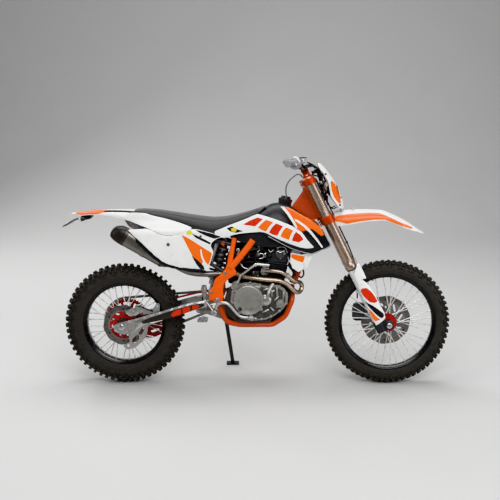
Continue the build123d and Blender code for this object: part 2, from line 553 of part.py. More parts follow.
add("axle_blocks", poly([(-775, 350), (-711, 352), (-690, 312), (-700, 302), (-762, 306), (-782, 326)], -123, -118)
    - rody(xr, zr, -200, 200, 17.1), poly([(-775, 350), (-711, 352), (-690, 312), (-700, 302), (-762, 306), (-782, 326)],
                                        118, 123) - rody(xr, zr, -200, 200, 17.1))
add("rear_spacers", ringy(xr, zr, -94.9, -70.3, 16, axle_r), ringy(xr, zr, 72.3, 94.9, 16, axle_r))

fs = (-118.0, 486.0)


def tangent_pts(c1, r1, c2, r2):
    dx, dz = c2[0] - c1[0], c2[1] - c1[1]
    d = math.hypot(dx, dz)
    base = math.atan2(dz, dx)
    al = math.acos((r1 - r2) / d)
    out = []
    for sg in (1, -1):
        a = base + sg * al
        out.append(((c1[0] + r1 * math.cos(a), c1[1] + r1 * math.sin(a)),
                    (c2[0] + r2 * math.cos(a), c2[1] + r2 * math.sin(a))))
    return out


def belt(c1, r1, c2, r2, y0, y1):
    (a1, a2), (b1, b2) = tangent_pts(c1, r1, c2, r2)
    s = rody(c1[0], c1[1], y0, y1, r1) + rody(c2[0], c2[1], y0, y1, r2) + poly([a1, a2, b2, b1], y0, y1)
    return s


rear_c = (xr, zr)
chain_parts = []
for y0 in (spr_y - 7.5, spr_y + 4.5):
    chain_parts.append(belt(rear_c, 137, fs, 41, y0, y0 + 3) - belt(rear_c, 122, fs, 27, y0 - 1, y0 + 4))
strips = []
for (p1, p2), (q1, q2) in zip(tangent_pts(rear_c, 136, fs, 40), tangent_pts(rear_c, 123, fs, 28)):
    def lerp(a, b, t):
        return (a[0] + (b[0] - a[0]) * t, a[1] + (b[1] - a[1]) * t)
    strips.append(poly([lerp(p1, p2, 0.16), lerp(p1, p2, 0.9), lerp(q1, q2, 0.9), lerp(q1, q2, 0.16)],
                       spr_y - 4.5, spr_y + 4.5))
add("chain", chain_parts[0] + strips[0] + strips[1] + chain_parts[1])
cg = poly([(-630, 296), (-524, 330), (-516, 300), (-536, 262), (-610, 236), (-630, 250)], spr_y - 14, spr_y + 14)
cg -= belt(rear_c, 143, fs, 47, spr_y - 9.5, spr_y + 9.5) - belt(rear_c, 116, fs, 21, spr_y - 12, spr_y + 12)
cg -= rody(xr, zr, 0, 200, 143)
cgm = poly([(-600, 360), (-545, 378), (-548, 300), (-596, 290)], spr_y + 14, 95)
add("chain_guide", cg + cgm - nodes["swingarm"][0])

sh_t, sh_b = Vector(-168, 0, 812), Vector(-276, 0, 440)
sd = (sh_b - sh_t).normalized()


def sp(t):
    v = sh_t + sd * t
    return (v.X, v.Y, v.Z)


shock = rod(sp(0), sp(44), 17) + rod(sp(26), sp(120), 25) + rod(sp(40), sp(48), 38) + rod(sp(120), sp(392), 9)
shock += rod(sp(222), sp(232), 38) + rod(sp(232), sp(262), 22) + rod(sp(330), sp(384), 15)
shock += rody(sp(12)[0], sp(12)[2], -24, 24, 13)
res = rod((-232, -52, 790), (-250, -52, 688), 22)
add("shock_absorber", shock)
coil = rod(sp(48), sp(222), 37) - rod(sp(47), sp(223), 28)
add("shock_spring", coil)
add("shock_mount", rody(sp(12)[0], sp(12)[2], -92, -24.1, 10), rody(sp(12)[0], sp(12)[2], 24.1, 92, 10))
lk = poly([(-262, 448), (-292, 446), (-330, 420), (-322, 404), (-270, 396), (-250, 420)], -28, -12)
lk += mirror(lk, about=Plane.XZ) + rody(-276, 436, -28, 28, 10) + rody(-318, 416, -33, 33, 9)
lk += rody(-262, 410, -33, 33, 9)
pull = poly([(-262, 420), (-262, 400), (-180, 372), (-172, 388)], -44, -33)
lk += pull + mirror(pull, about=Plane.XZ)
add("linkage", lk - nodes["shock_absorber"][0] - nodes["swingarm"][0])

rc = (box(-726, -612, -88, -67.1, 386, 465) & ringy(xr, zr, -90, -60, 145, 70)) + \
     (box(-726, -612, -88, -46, 386, 470) & ringy(xr, zr, -90, -40, 147, 118)) + \
     (box(-726, -612, -53.1, -46, 386, 465) & ringy(xr, zr, -60, -40, 145, 84))
rc += poly([(-640, 452), (-600, 437), (-531, 446), (-526, 420), (-593, 402), (-640, 400)], -94.9, -76)
add("rear_caliper", rc - nodes["swingarm"][0])
fin = poly([(-733, 230), (-709, 208), (-664, 219), (-624, 253), (-596, 298), (-586, 366), (-640, 336), (-684, 304),
            (-700, 280), (-691, 253)], -104, -96)
add("disc_guard", fin - nodes["swingarm"][0])

# ---------------------------------------------------------------- foot controls and rests
bracket = poly([(-248, 488), (-200, 470), (-206, 440), (-240, 392), (-300, 384), (-304, 404), (-268, 430)], -126, -118)
bracket -= rody(pivot_x, pivot_z, -200, 200, 9)
peg = box(-306, -254, -214, -138, 386, 402) - box(-300, -284, -208, -146, 380, 410) - box(-276, -260, -208, -146, 380, 410)
peg += rod((-280, -126, 394), (-280, -140, 394), 12)
for b, p in zip(both(bracket), both(peg)):
    add("peg_brackets", b)
    add("footpegs", p)
pedal = bent([(-222, -134, 420), (-206, -140, 462), (-160, -144, 476), (-84, -146, 402), (-14, -150, 398)], 6.5,
             [16, 24, 30, 60])
pedal += box(-26, 6, -164, -136, 391, 404) + rod((-222, -126, 420), (-222, -142, 420), 13)
add("brake_pedal", pedal)
gl = rod((-84, 88, 420), (-84, 134, 420), 8) + bent([(-84, 128, 420), (-30, 134, 402), (46, 146, 404)], 6, [60])
gl += rod((46, 138, 404), (46, 176, 404), 8)
add("gear_lever", gl)
kick = rod((-118, -88, 545), (-118, -150, 545), 13)
kick += bent([(-118, -142, 545), (-96, -156, 610), (-62, -162, 652), (14, -166, 694), (70, -168, 686)], 7.5,
             [60, 60, 60])
kick += rod((70, -168, 686), (92, -170, 683), 9)
add("kick_lever", kick)

# ---------------------------------------------------------------- hose from the filler cap to the stem
breather = [(174.2, 0, 1049), (167, 0, 1090), (188, 0, 1135), (212, 0, 1156), (234.4, 0, 1171.8),
            (256.9, 0, 1165.8), S(0, 0, 22)]
hose_r = 3.5


br = corner_radii(breather)
tube = bent(breather, hose_r, br)
path = FilletPolyline(*breather, radius=br)
print("breather radii", [round(v, 1) for v in br], "length", round(path.length, 1), "volume ratio",
      round(tube.volume / (math.pi * hose_r ** 2 * path.length), 4))
add("breather_hose", tube)

# ---------------------------------------------------------------- side stand, left
cl, sl = math.cos(math.radians(lean)), math.sin(math.radians(lean))


def lowest(half, R, rb, z):
    return min(-y * sl - r * cl for y, r in crown(half, R, rb, 200)) + z * cl


drop_r = lowest(rear_half, rear_radius, rear_rim_r, zr)
drop_f = lowest(front_half, front_radius, front_rim_r, zf)
print("lowest points of the leaned tyres: rear", round(drop_r, 3), "front", round(drop_f, 3))
drop = drop_r


def ground_z(y):
    """Height in the upright frame of the leaned ground at lateral place y."""
    return (drop + y * sl) / cl


pv = Vector(-176, 133, 350)
foot_y = 262.0
foot = Vector(-142, foot_y, ground_z(foot_y) + 7)
d0 = (foot - pv).normalized()
d1 = Vector(-0.99, 0.08, 0.10).normalized()
sn = d0.cross(d1).normalized()
swing = d0.get_angle(d1)


def at(base, n, t):
    v = base + n * t
    return (v.X, v.Y, v.Z)


ear = rod(at(pv, sn, -6), at(pv, sn, 9), 19)
leg_top = pv + sn * 1.5
leg = rod(at(leg_top, d0, 12), (foot.X, foot.Y, foot.Z), 11) + ear
ground = Rot(lean, 0, 0) * Pos(0, 0, drop) * Box(4000, 4000, 400, align=(C, C, Align.MAX))
pad = Pos(foot.X, foot.Y, 0) * Rot(lean, 0, 0) * Pos(0, 0, 0) * Box(70, 46, 80)
pad = Rot(lean, 0, 0) * Pos(foot.X, (foot.Y * cl + foot.Z * sl), drop + 4) * Box(72, 44, 8)
leg += pad
leg -= ground
leg -= rod(at(pv, sn, -40), at(pv, sn, -6), 27)
leg -= rod(at(pv, sn, 9), at(pv, sn, 40), 20)
leg -= rod(at(pv, sn, -20), at(pv, sn, 30), 8 + run)
add("side_stand", leg)
bolt = rod(at(pv, sn, -14), at(pv, sn, 16), 8) + rod(at(pv, sn, 9.5), at(pv, sn, 16), 13)
plate = rod(at(pv, sn, -16), at(pv, sn, -6.5), 19)
plate += rod(at(pv, sn, -16), (-166, 106, 376), 6) + rod(at(pv, sn, -16), (-120, 96, 352), 6)
for t in nodes["frame_cradle"]:
    plate -= t
add("stand_bracket", bolt + plate)

# ---------------------------------------------------------------- clear the neighbours inside each body
def cut(name, *others):
    for o in others:
        for k, shape in enumerate(nodes[name]):
            for t in nodes[o]:
                shape = shape - t
            nodes[name][k] = shape


def fuse(target, *others):
    """One joined solid from pieces that carry each other."""
    shape = nodes[target][0]
    for t in nodes[target][1:]:
        shape = shape + t
    for o in others:
        for t in nodes.pop(o):
            shape = shape + t
    nodes[target] = [shape]


for axle, x, z in (("front_axle", xf, zf), ("rear_axle", xr, zr)):
    nodes[axle] = [a - rody(x, z, -140, -92, 6.0) - rody(x, z, -92, -88, 6.0) for a in nodes[axle]]
cut("front_tyre", "front_rim")
cut("rear_tyre", "rear_rim")
cut("front_spokes", "front_rim", "front_hub")
cut("rear_spokes", "rear_rim", "rear_hub")
cut("cylinder", "crankcase")
cut("crankcase", "chain", "brake_pedal")
cut("header_pipe", "cylinder_head")
cut("swingarm", "chain")
cut("airbox", "subframe", "side_panels")
cut("clutch_cover", "brake_pedal")
cut("intake", "cylinder", "cylinder_head", "frame_backbone")
cut("intake_boot", "airbox", "shock_spring", "shock_absorber", "frame_trunks")
cut("tank", "cylinder_head", "frame_backbone", "steering_head", "subframe", "intake", "shrouds", "side_wings")
cut("seat", "tank", "subframe", "side_panels", "side_wings", "shrouds", "tank_cap")
cut("tank_cap", "breather_hose")
cut("subframe", "frame_trunks")
cut("shock_mount", "subframe")
cut("gear_lever", "magneto_cover", "crankcase")
cut("brake_pedal", "frame_trunks")
cut("fork_guards", "fork_sliders", "fork_tubes")
cut("mid_pipe", "side_panels", "subframe")
cut("silencer", "mid_pipe", "subframe")
cut("side_panels", "silencer", "silencer_cap")
cut("frame_cradle", "frame_trunks", "crankcase")
cut("front_caliper", "front_brake_hose")
cut("footpegs", "frame_cradle")
cut("peg_brackets", "frame_cradle")
cut("headlight_mask", "lamp_bracket", "headlight")
cut("front_fender", "fork_tubes", "lower_clamp")
cut("rear_fender", "subframe", "side_panels")
cut("magneto_cover", "chain")
cut("kick_lever", "crankcase", "header_pipe", "frame_trunks")
cut("bar_clamps", "handlebar")
cut("control_levers", "handlebar", "front_brake_hose")
cut("lamp_bracket", "upper_clamp")
fuse("rear_axle", "axle_blocks", "rear_spacers")
fuse("front_axle", "front_spacers")
fuse("upper_clamp", "bar_clamps", "instrument")
fuse("lower_clamp", "steering_stem")
fuse("headlight", "lamp_bracket")
fuse("intake", "intake_boot")
fuse("subframe", "subframe_bridge")
fuse("footpegs", "peg_brackets")
fuse("silencer", "silencer_cap")
fuse("frame_cradle", "downtube")
fuse("frame_trunks", "frame_crossbars", "shock_mount")
fuse("steering_head", "frame_backbone")
fuse("rear_fender", "plate_holder")
fuse("crankcase", "front_sprocket")
fuse("header_pipe", "mid_pipe")
fuse("shock_absorber", "linkage")
fuse("swingarm", "disc_guard")
fuse("shrouds", "side_wings")
nodes["shrouds"] += nodes.pop("lower_shrouds")
nodes["frame_cradle"] += nodes.pop("stand_bracket")
fuse("front_hub", "front_spokes")
fuse("rear_hub", "rear_spokes")
nodes["cylinder"] = [c - rod(Vector(150, -72, 738.3), Vector(232, -72, 653.4), 20) for c in nodes["cylinder"]]
cut("frame_cradle", "steering_head")

# ---------------------------------------------------------------- lean, place, write
shift_x, shift_y = 4.46, 171.71    # to the middle of the leaned machine's box
place = Pos(-shift_x, -shift_y, 0) * Pos(0, 0, -drop) * Rot(-lean, 0, 0)
sizes = []
for name, shapes in nodes.items():
    solids = []
    for s in shapes:
        m = place * s
        solids += list(m.solids())
    comp = Compound(children=solids) if len(solids) > 1 else solids[0]
    sizes.append((name, comp))
    export_step(comp, "parts/" + name + ".step")
lo = [min(getattr(c.bounding_box().min, a) for n, c in sizes) for a in "XYZ"]
hi = [max(getattr(c.bounding_box().max, a) for n, c in sizes) for a in "XYZ"]
print("nodes", len(sizes), {n: len(c.solids()) for n, c in sizes if len(c.solids()) > 1})
print("box", [round(v, 2) for v in lo], [round(v, 2) for v in hi])
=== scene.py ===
import bpy
import bmesh
import math
from mathutils import Vector, Matrix, geometry


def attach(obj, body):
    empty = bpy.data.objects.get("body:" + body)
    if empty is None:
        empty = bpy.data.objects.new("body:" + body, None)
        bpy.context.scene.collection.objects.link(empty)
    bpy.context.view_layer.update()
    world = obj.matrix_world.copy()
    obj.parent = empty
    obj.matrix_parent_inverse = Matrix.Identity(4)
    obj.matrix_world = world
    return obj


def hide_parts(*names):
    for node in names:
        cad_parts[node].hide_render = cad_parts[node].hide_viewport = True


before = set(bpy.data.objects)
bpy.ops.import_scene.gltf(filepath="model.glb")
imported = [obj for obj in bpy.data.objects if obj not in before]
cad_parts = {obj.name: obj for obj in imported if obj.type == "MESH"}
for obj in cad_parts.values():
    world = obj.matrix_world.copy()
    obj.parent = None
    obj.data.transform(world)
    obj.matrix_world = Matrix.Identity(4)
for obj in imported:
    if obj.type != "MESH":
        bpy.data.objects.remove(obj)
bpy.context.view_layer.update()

# ------------------------------------------------------------------ the machine's own upright frame, in mm
LEAN = math.radians(8.0)
DROP = -0.702
SHIFT_X, SHIFT_Y = 4.46, 171.71
CL, SL = math.cos(LEAN), math.sin(LEAN)
PLACE = Matrix(((1, 0, 0, -SHIFT_X), (0, CL, SL, -SHIFT_Y), (0, -SL, CL, -DROP), (0, 0, 0, 1)))
PLACE = Matrix.Scale(0.001, 4) @ PLACE
RAKE = math.radians(26.0)
SE, CE = math.sin(RAKE), math.cos(RAKE)
XF, ZF, XR, ZR = 733.7, 348.2, -733.7, 339.3
scene = bpy.context.scene
pi = math.pi


def S(u, v, w):
    """Steering frame: u ahead of the axis, v left, w up along it."""
    return Vector((276.5 + u * CE - w * SE, v, 1125.0 + u * SE + w * CE))


def W(p):
    return PLACE @ Vector(p)


# ------------------------------------------------------------------ camera, lights, floor
cam_data = bpy.data.cameras.new("camera")
cam_data.sensor_width = 36.0
cam_data.lens = 832.9 / 500.0 * 36.0
cam = bpy.data.objects.new("camera", cam_data)
scene.collection.objects.link(cam)
scene.camera = cam
eye, aim = Vector((116.0, -4598.0, 1302.0)), Vector((-28.0, 0.0, 751.0))
fwd = (aim - eye).normalized()
right = fwd.cross(Vector((0, 0, 1))).normalized()
up = right.cross(fwd)
roll = math.radians(-0.3)
r2 = right * math.cos(roll) + up * math.sin(roll)
u2 = -right * math.sin(roll) + up * math.cos(roll)
R3 = PLACE.to_3x3() * 1000.0
r2, u2, f2 = R3 @ r2, R3 @ u2, R3 @ fwd
loc = W(eye)
cam.matrix_world = Matrix(((r2.x, u2.x, -f2.x, loc.x), (r2.y, u2.y, -f2.y, loc.y), (r2.z, u2.z, -f2.z, loc.z),
                           (0, 0, 0, 1)))
cam_data.clip_end = 60


def area(name, pos, target, size, power, color=(1, 1, 1)):
    d = bpy.data.lights.new(name, "AREA")
    d.shape = "RECTANGLE"
    d.size, d.size_y = size
    d.energy = power
    d.color = color
    o = bpy.data.objects.new(name, d)
    scene.collection.objects.link(o)
    o.location = pos
    o.rotation_euler = (Vector(target) - Vector(pos)).to_track_quat("-Z", "Y").to_euler()
    return o


area("key", (0.6, -3.2, 3.3), (0, 0, 0.6), (3.4, 2.0), 112)
area("top", (-0.2, 0.5, 4.2), (0, 0, 0.5), (4.2, 2.6), 118)
area("side", (3.4, -1.8, 1.7), (0.2, 0, 0.6), (1.6, 2.2), 34)
area("rear_side", (-3.4, -1.6, 1.9), (-0.2, 0, 0.6), (1.6, 2.0), 22)
area("back", (-3.0, 2.6, 2.6), (0, 0, 0.6), (2.4, 2.0), 60)
area("backdrop_wash", (0.0, 1.2, 5.2), (0, 6.2, 1.6), (7.0, 1.6), 90)
world = bpy.data.worlds.new("studio")
scene.world = world
world.use_nodes = True
world.node_tree.nodes["Background"].inputs[0].default_value = (0.86, 0.88, 0.9, 1)
world.node_tree.nodes["Background"].inputs[1].default_value = 0.20


# ------------------------------------------------------------------ materials
def new_mat(name):
    m = bpy.data.materials.new(name)
    m.use_nodes = True
    nt = m.node_tree
    b = nt.nodes["Principled BSDF"]
    return m, nt, b


def node(nt, kind, **values):
    n = nt.nodes.new(kind)
    for k, v in values.items():
        if k.startswith("i_"):
            n.inputs[k[2:].replace("_", " ")].default_value = v
        else:
            setattr(n, k, v)
    return n


def ramp(nt, src, stops):
    r = nt.nodes.new("ShaderNodeValToRGB")
    e = r.color_ramp.elements
    while len(e) < len(stops):
        e.new(0.5)
    for el, (p, c) in zip(e, stops):
        el.position = p
        el.color = c if len(c) == 4 else (*c, 1)
    nt.links.new(src, r.inputs[0])
    return r.outputs[0]


def tint(c, k):
    return tuple(min(1.0, max(0.0, v * k)) for v in c[:3])


def surface(name, color, rough=0.4, metal=0.0, scale=60.0, vary=0.12, bump=0.05, fine=900.0, coat=0.0,
            rvar=0.08, streak=None, spec=0.5, dirt=0.0, dirt_color=(0.22, 0.19, 0.16), sheen=0.0):
    """Base finish: two noise sizes for colour, roughness and bump; streak stretches the fine one along an axis."""
    m, nt, b = new_mat(name)
    tc = node(nt, "ShaderNodeTexCoord")
    big = node(nt, "ShaderNodeTexNoise", i_Scale=scale, i_Detail=5.0, i_Roughness=0.6)
    nt.links.new(tc.outputs["Object"], big.inputs["Vector"])
    small = node(nt, "ShaderNodeTexNoise", i_Scale=fine, i_Detail=3.0, i_Roughness=0.55)
    if streak:
        mp = node(nt, "ShaderNodeMapping")
        mp.inputs["Scale"].default_value = streak
        nt.links.new(tc.outputs["Object"], mp.inputs["Vector"])
        nt.links.new(mp.outputs[0], small.inputs["Vector"])
    else:
        nt.links.new(tc.outputs["Object"], small.inputs["Vector"])
    col = ramp(nt, big.outputs["Fac"], [(0.3, tint(color, 1 - vary)), (0.7, tint(color, 1 + vary))])
    if streak:
        c2 = ramp(nt, small.outputs["Fac"], [(0.35, tint(color, 1 - vary * 1.6)), (0.65, tint(color, 1 + vary))])
        mx = node(nt, "ShaderNodeMix", data_type="RGBA")
        mx.inputs[0].default_value = 0.5
        nt.links.new(col, mx.inputs[6])
        nt.links.new(c2, mx.inputs[7])
        col = mx.outputs[2]
    if dirt > 0:
        dn = node(nt, "ShaderNodeTexNoise", i_Scale=9.0, i_Detail=8.0, i_Roughness=0.7)
        nt.links.new(tc.outputs["Object"], dn.inputs["Vector"])
        df = ramp(nt, dn.outputs["Fac"], [(0.5, (0, 0, 0)), (0.75, (dirt, dirt, dirt))])
        mx = node(nt, "ShaderNodeMix", data_type="RGBA")
        nt.links.new(df, mx.inputs[0])
        nt.links.new(col, mx.inputs[6])
        mx.inputs[7].default_value = (*dirt_color, 1)
        col = mx.outputs[2]
    nt.links.new(col, b.inputs["Base Color"])
    b.inputs["Metallic"].default_value = metal
    rr = ramp(nt, big.outputs["Fac"], [(0.3, (max(0.02, rough - rvar),) * 3), (0.7, (min(1, rough + rvar),) * 3)])
    nt.links.new(rr, b.inputs["Roughness"])
    b.inputs["Specular IOR Level"].default_value = spec
    b.inputs["Coat Weight"].default_value = coat
    b.inputs["Coat Roughness"].default_value = 0.12
    b.inputs["Sheen Weight"].default_value = sheen
    if bump:
        bp = node(nt, "ShaderNodeBump", i_Strength=bump, i_Distance=0.0006)
        nt.links.new(small.outputs["Fac"], bp.inputs["Height"])
        nt.links.new(bp.outputs[0], b.inputs["Normal"])
    return m


M = {}
M["white"] = surface("white_plastic", (0.80, 0.80, 0.79), 0.30, vary=0.03, bump=0.03, scale=14, coat=0.25, dirt=0.10)
M["orange"] = surface("orange_plastic", (0.90, 0.155, 0.008), 0.30, vary=0.05, bump=0.03, scale=14, coat=0.3)
M["black"] = surface("black_plastic", (0.020, 0.020, 0.022), 0.42, vary=0.25, bump=0.18, fine=1500, dirt=0.05)
M["graphic_black"] = surface("graphic_black", (0.017, 0.017, 0.019), 0.28, vary=0.15, bump=0.02, coat=0.3)
M["graphic_red"] = surface("graphic_red", (0.62, 0.035, 0.012), 0.3, vary=0.08, bump=0.02, coat=0.3)
M["graphic_yellow"] = surface("graphic_yellow", (0.72, 0.62, 0.05), 0.3, vary=0.06, bump=0.02, coat=0.3)
M["graphic_grey"] = surface("graphic_grey", (0.30, 0.30, 0.31), 0.3, vary=0.06, bump=0.02, coat=0.3)
M["frame"] = surface("orange_paint", (0.84, 0.115, 0.005), 0.34, vary=0.07, bump=0.06, scale=30, coat=0.35, dirt=0.12,
                     dirt_color=(0.30, 0.06, 0.02))
M["dark_paint"] = surface("dark_paint", (0.030, 0.030, 0.033), 0.4, vary=0.2, bump=0.08)
M["clamp"] = surface("orange_anodised", (0.55, 0.055, 0.010), 0.34, metal=0.6, vary=0.06, bump=0.05)
M["bronze"] = surface("bronze_anodised", (0.42, 0.325, 0.265), 0.30, metal=0.8, vary=0.02, bump=0.0, fine=900)
M["silver"] = surface("brushed_aluminium", (0.55, 0.54, 0.53), 0.34, metal=0.95, vary=0.06, bump=0.07,
                      streak=(0.05, 1, 1), fine=1400)
M["dull_silver"] = surface("dull_aluminium", (0.42, 0.42, 0.43), 0.46, metal=0.85, vary=0.10, bump=0.14, fine=700)
M["cast"] = surface("cast_aluminium", (0.33, 0.32, 0.30), 0.52, metal=0.7, vary=0.16, bump=0.42, fine=800, scale=45,
                    dirt=0.35, dirt_color=(0.13, 0.12, 0.11))
M["cover"] = surface("engine_cover", (0.36, 0.35, 0.325), 0.40, metal=0.75, vary=0.08, bump=0.2, fine=900, dirt=0.15)
M["dark_cast"] = surface("dark_cast", (0.085, 0.085, 0.09), 0.5, metal=0.4, vary=0.2, bump=0.35, fine=800)
M["steel"] = surface("ground_steel", (0.50, 0.50, 0.51), 0.30, metal=1.0, vary=0.06, bump=0.06, fine=1600)
M["disc_steel"] = surface("disc_steel", (0.27, 0.25, 0.235), 0.34, metal=1.0, vary=0.12, bump=0.06, fine=1600)
M["disc_face"] = surface("disc_face", (0.30, 0.285, 0.27), 0.42, metal=0.7, vary=0.14, bump=0.08, fine=1400)
M["bolt"] = surface("bolt_steel", (0.66, 0.66, 0.67), 0.28, metal=1.0, vary=0.06, bump=0.05)
M["dark_steel"] = surface("dark_steel", (0.10, 0.10, 0.105), 0.42, metal=0.8, vary=0.15, bump=0.1)
M["chain"] = surface("chain_steel", (0.30, 0.29, 0.28), 0.40, metal=0.9, vary=0.16, bump=0.12, scale=200)
M["spoke"] = surface("spoke_steel", (0.78, 0.78, 0.77), 0.3, metal=0.45, vary=0.05, bump=0.02)
M["rim"] = surface("black_rim", (0.018, 0.018, 0.019), 0.26, metal=0.3, vary=0.2, bump=0.03, coat=0.3)
M["hub"] = surface("red_anodised", (0.42, 0.020, 0.012), 0.30, metal=0.8, vary=0.08, bump=0.05)
M["tyre"] = surface("tyre_rubber", (0.046, 0.043, 0.040), 0.72, vary=0.28, bump=0.30, fine=1200, scale=80, dirt=0.4,
                    dirt_color=(0.085, 0.078, 0.070), spec=0.4)
M["rubber"] = surface("black_rubber", (0.022, 0.022, 0.023), 0.6, vary=0.2, bump=0.25, fine=1400)
M["grip"] = surface("grip_rubber", (0.26, 0.26, 0.27), 0.62, vary=0.12, bump=0.25, fine=1400)
M["seat"] = surface("seat_vinyl", (0.062, 0.060, 0.062), 0.66, vary=0.16, bump=0.5, fine=1700, scale=25, sheen=0.15)
M["titanium"] = surface("header_steel", (0.47, 0.39, 0.31), 0.30, metal=1.0, vary=0.13, bump=0.05, scale=18)
M["mid_pipe"] = surface("mid_pipe_steel", (0.24, 0.225, 0.21), 0.34, metal=0.95, vary=0.12, bump=0.06, scale=20)
M["can"] = surface("silencer_metal", (0.235, 0.22, 0.20), 0.36, metal=0.85, vary=0.10, bump=0.06, scale=20)
M["can_band"] = surface("silencer_band", (0.10, 0.095, 0.09), 0.36, metal=0.85, vary=0.10, bump=0.06, scale=20)
M["can_cap"] = surface("silencer_cap", (0.045, 0.040, 0.038), 0.40, metal=0.5, vary=0.14, bump=0.08)
M["hose"] = surface("grey_hose", (0.16, 0.16, 0.165), 0.5, vary=0.1, bump=0.1)
M["lens"] = surface("lamp_lens", (0.62, 0.64, 0.66), 0.12, vary=0.05, bump=0.02, coat=0.6)
M["red_lens"] = surface("red_lens", (0.32, 0.012, 0.010), 0.16, vary=0.08, bump=0.02, coat=0.5)
M["radiator"] = surface("radiator_fins", (0.14, 0.14, 0.145), 0.45, metal=0.6, vary=0.1, bump=0.1)
M["gusset"] = surface("shaded_orange_paint", (0.52, 0.058, 0.008), 0.4, vary=0.08, bump=0.05, coat=0.2)
M["dark_case"] = surface("dark_casting", (0.115, 0.112, 0.105), 0.5, metal=0.6, vary=0.2, bump=0.4, fine=800, scale=45, dirt=0.5,
                         dirt_color=(0.05, 0.047, 0.042))
M["arm_face"] = surface("swingarm_face", (0.085, 0.080, 0.074), 0.36, metal=0.75, vary=0.1, bump=0.05, streak=(0.05, 1, 1), fine=1400)
M["arm_dark"] = surface("shaded_aluminium", (0.17, 0.165, 0.16), 0.34, metal=0.9, vary=0.1, bump=0.05, streak=(0.05, 1, 1), fine=1400)
M["hub_plastic"] = surface("red_plastic", (0.36, 0.018, 0.016), 0.42, vary=0.1, bump=0.08)
M["floor"] = surface("pale_floor", (0.56, 0.56, 0.555), 0.75, vary=0.012, bump=0.02, scale=2.0)


# ------------------------------------------------------------------ mesh helpers, all in upright mm
def make(name, verts, faces, mat, body, smooth=40.0, repl=(), slots=None, fmat=None, raw=False):
    me = bpy.data.meshes.new(name)
    me.from_pydata([tuple(v) if raw else tuple(W(v)) for v in verts], [], faces)
    mats = [mat] + list(slots or [])
    for mm in mats:
        me.materials.append(M[mm] if isinstance(mm, str) else mm)
    if fmat:
        me.polygons.foreach_set("material_index", fmat)
    me.update()
    o = bpy.data.objects.new(name, me)
    scene.collection.objects.link(o)
    bm = bmesh.new()
    bm.from_mesh(me)
    bmesh.ops.recalc_face_normals(bm, faces=bm.faces)
    if smooth:
        for f in bm.faces:
            f.smooth = True
        lim = math.radians(smooth)
        for e in bm.edges:
            if len(e.link_faces) == 2 and e.calc_face_angle(0) > lim:
                e.smooth = False
    bm.to_mesh(me)
    bm.free()
    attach(o, body)
    if repl:
        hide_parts(*repl)
    return o


class Soup:
    """Collects many small shapes into one mesh."""

    def __init__(self):
        self.v, self.f, self.m = [], [], []

    def add(self, verts, faces, mi=0):
        n = len(self.v)
        self.v += [Vector(p) for p in verts]
        self.f += [tuple(i + n for i in f) for f in faces]
        self.m += [mi] * len(faces)

    def out(self, name, mat, body, smooth=40.0, repl=(), slots=None):
        return make(name, self.v, self.f, mat, body, smooth, repl, slots, self.m if slots else None)


def frame_of(d):
    d = Vector(d).normalized()
    a = Vector((0, 0, 1)) if abs(d.z) < 0.9 else Vector((1, 0, 0))
    x = d.cross(a).normalized()
    return x, d.cross(x).normalized(), d


def cyl(soup, p, q, r, n=16, mi=0, r2=None, cap=True, bev=0.0):
    p, q = Vector(p), Vector(q)
    x, y, d = frame_of(q - p)
    L = (q - p).length
    r2 = r if r2 is None else r2
    prof = [(0, r), (L, r2)] if not bev else [(0, r - bev), (bev, r), (L - bev, r2), (L, r2 - bev)]
    vs, fs = [], []
    for t, rad in prof:
        for i in range(n):
            a = 2 * pi * i / n
            vs.append(p + d * t + x * (rad * math.cos(a)) + y * (rad * math.sin(a)))
    k = len(prof)
    for j in range(k - 1):
        for i in range(n):
            fs.append((j * n + i, j * n + (i + 1) % n, (j + 1) * n + (i + 1) % n, (j + 1) * n + i))
    if cap:
        fs.append(tuple(range(n))[::-1])
        fs.append(tuple((k - 1) * n + i for i in range(n)))
    soup.add(vs, fs, mi)


def lathe(soup, p, d, profile, n=32, mi=0, closed=False):
    """profile of (distance along d, radius)."""
    p = Vector(p)
    x, y, d = frame_of(d)
    vs, fs = [], []
    for t, rad in profile:
        for i in range(n):
            a = 2 * pi * i / n
            vs.append(p + d * t + x * (rad * math.cos(a)) + y * (rad * math.sin(a)))
    k = len(profile)
    for j in range(k if closed else k - 1):
        jj = (j + 1) % k
        for i in range(n):
            fs.append((j * n + i, j * n + (i + 1) % n, jj * n + (i + 1) % n, jj * n + i))
    if not closed:
        fs.append(tuple(range(n))[::-1])
        fs.append(tuple((k - 1) * n + i for i in range(n)))
    soup.add(vs, fs, mi)


def hexbolt(soup, p, d, r=5.0, h=4.0, mi=0):
    p, d = Vector(p), Vector(d).normalized()
    cyl(soup, p, p + d * (h * 0.25), r * 1.35, 16, mi)
    cyl(soup, p + d * (h * 0.25), p + d * h, r, 6, mi, r2=r * 0.92)


def catmull(pts, k=8, closed=False):
    pts = [Vector(p) for p in pts]
    out = []
    n = len(pts)
    for i in range(n if closed else n - 1):
        p0 = pts[(i - 1) % n] if closed or i > 0 else pts[0] * 2 - pts[1]
        p1, p2 = pts[i], pts[(i + 1) % n]
        p3 = pts[(i + 2) % n] if closed or i + 2 < n else pts[-1] * 2 - pts[-2]
        for j in range(k):
            t = j / k
            out.append(0.5 * ((2 * p1) + (-p0 + p2) * t + (2 * p0 - 5 * p1 + 4 * p2 - p3) * t * t
                              + (-p0 + 3 * p1 - 3 * p2 + p3) * t ** 3))
    if not closed:
        out.append(pts[-1])
    return out


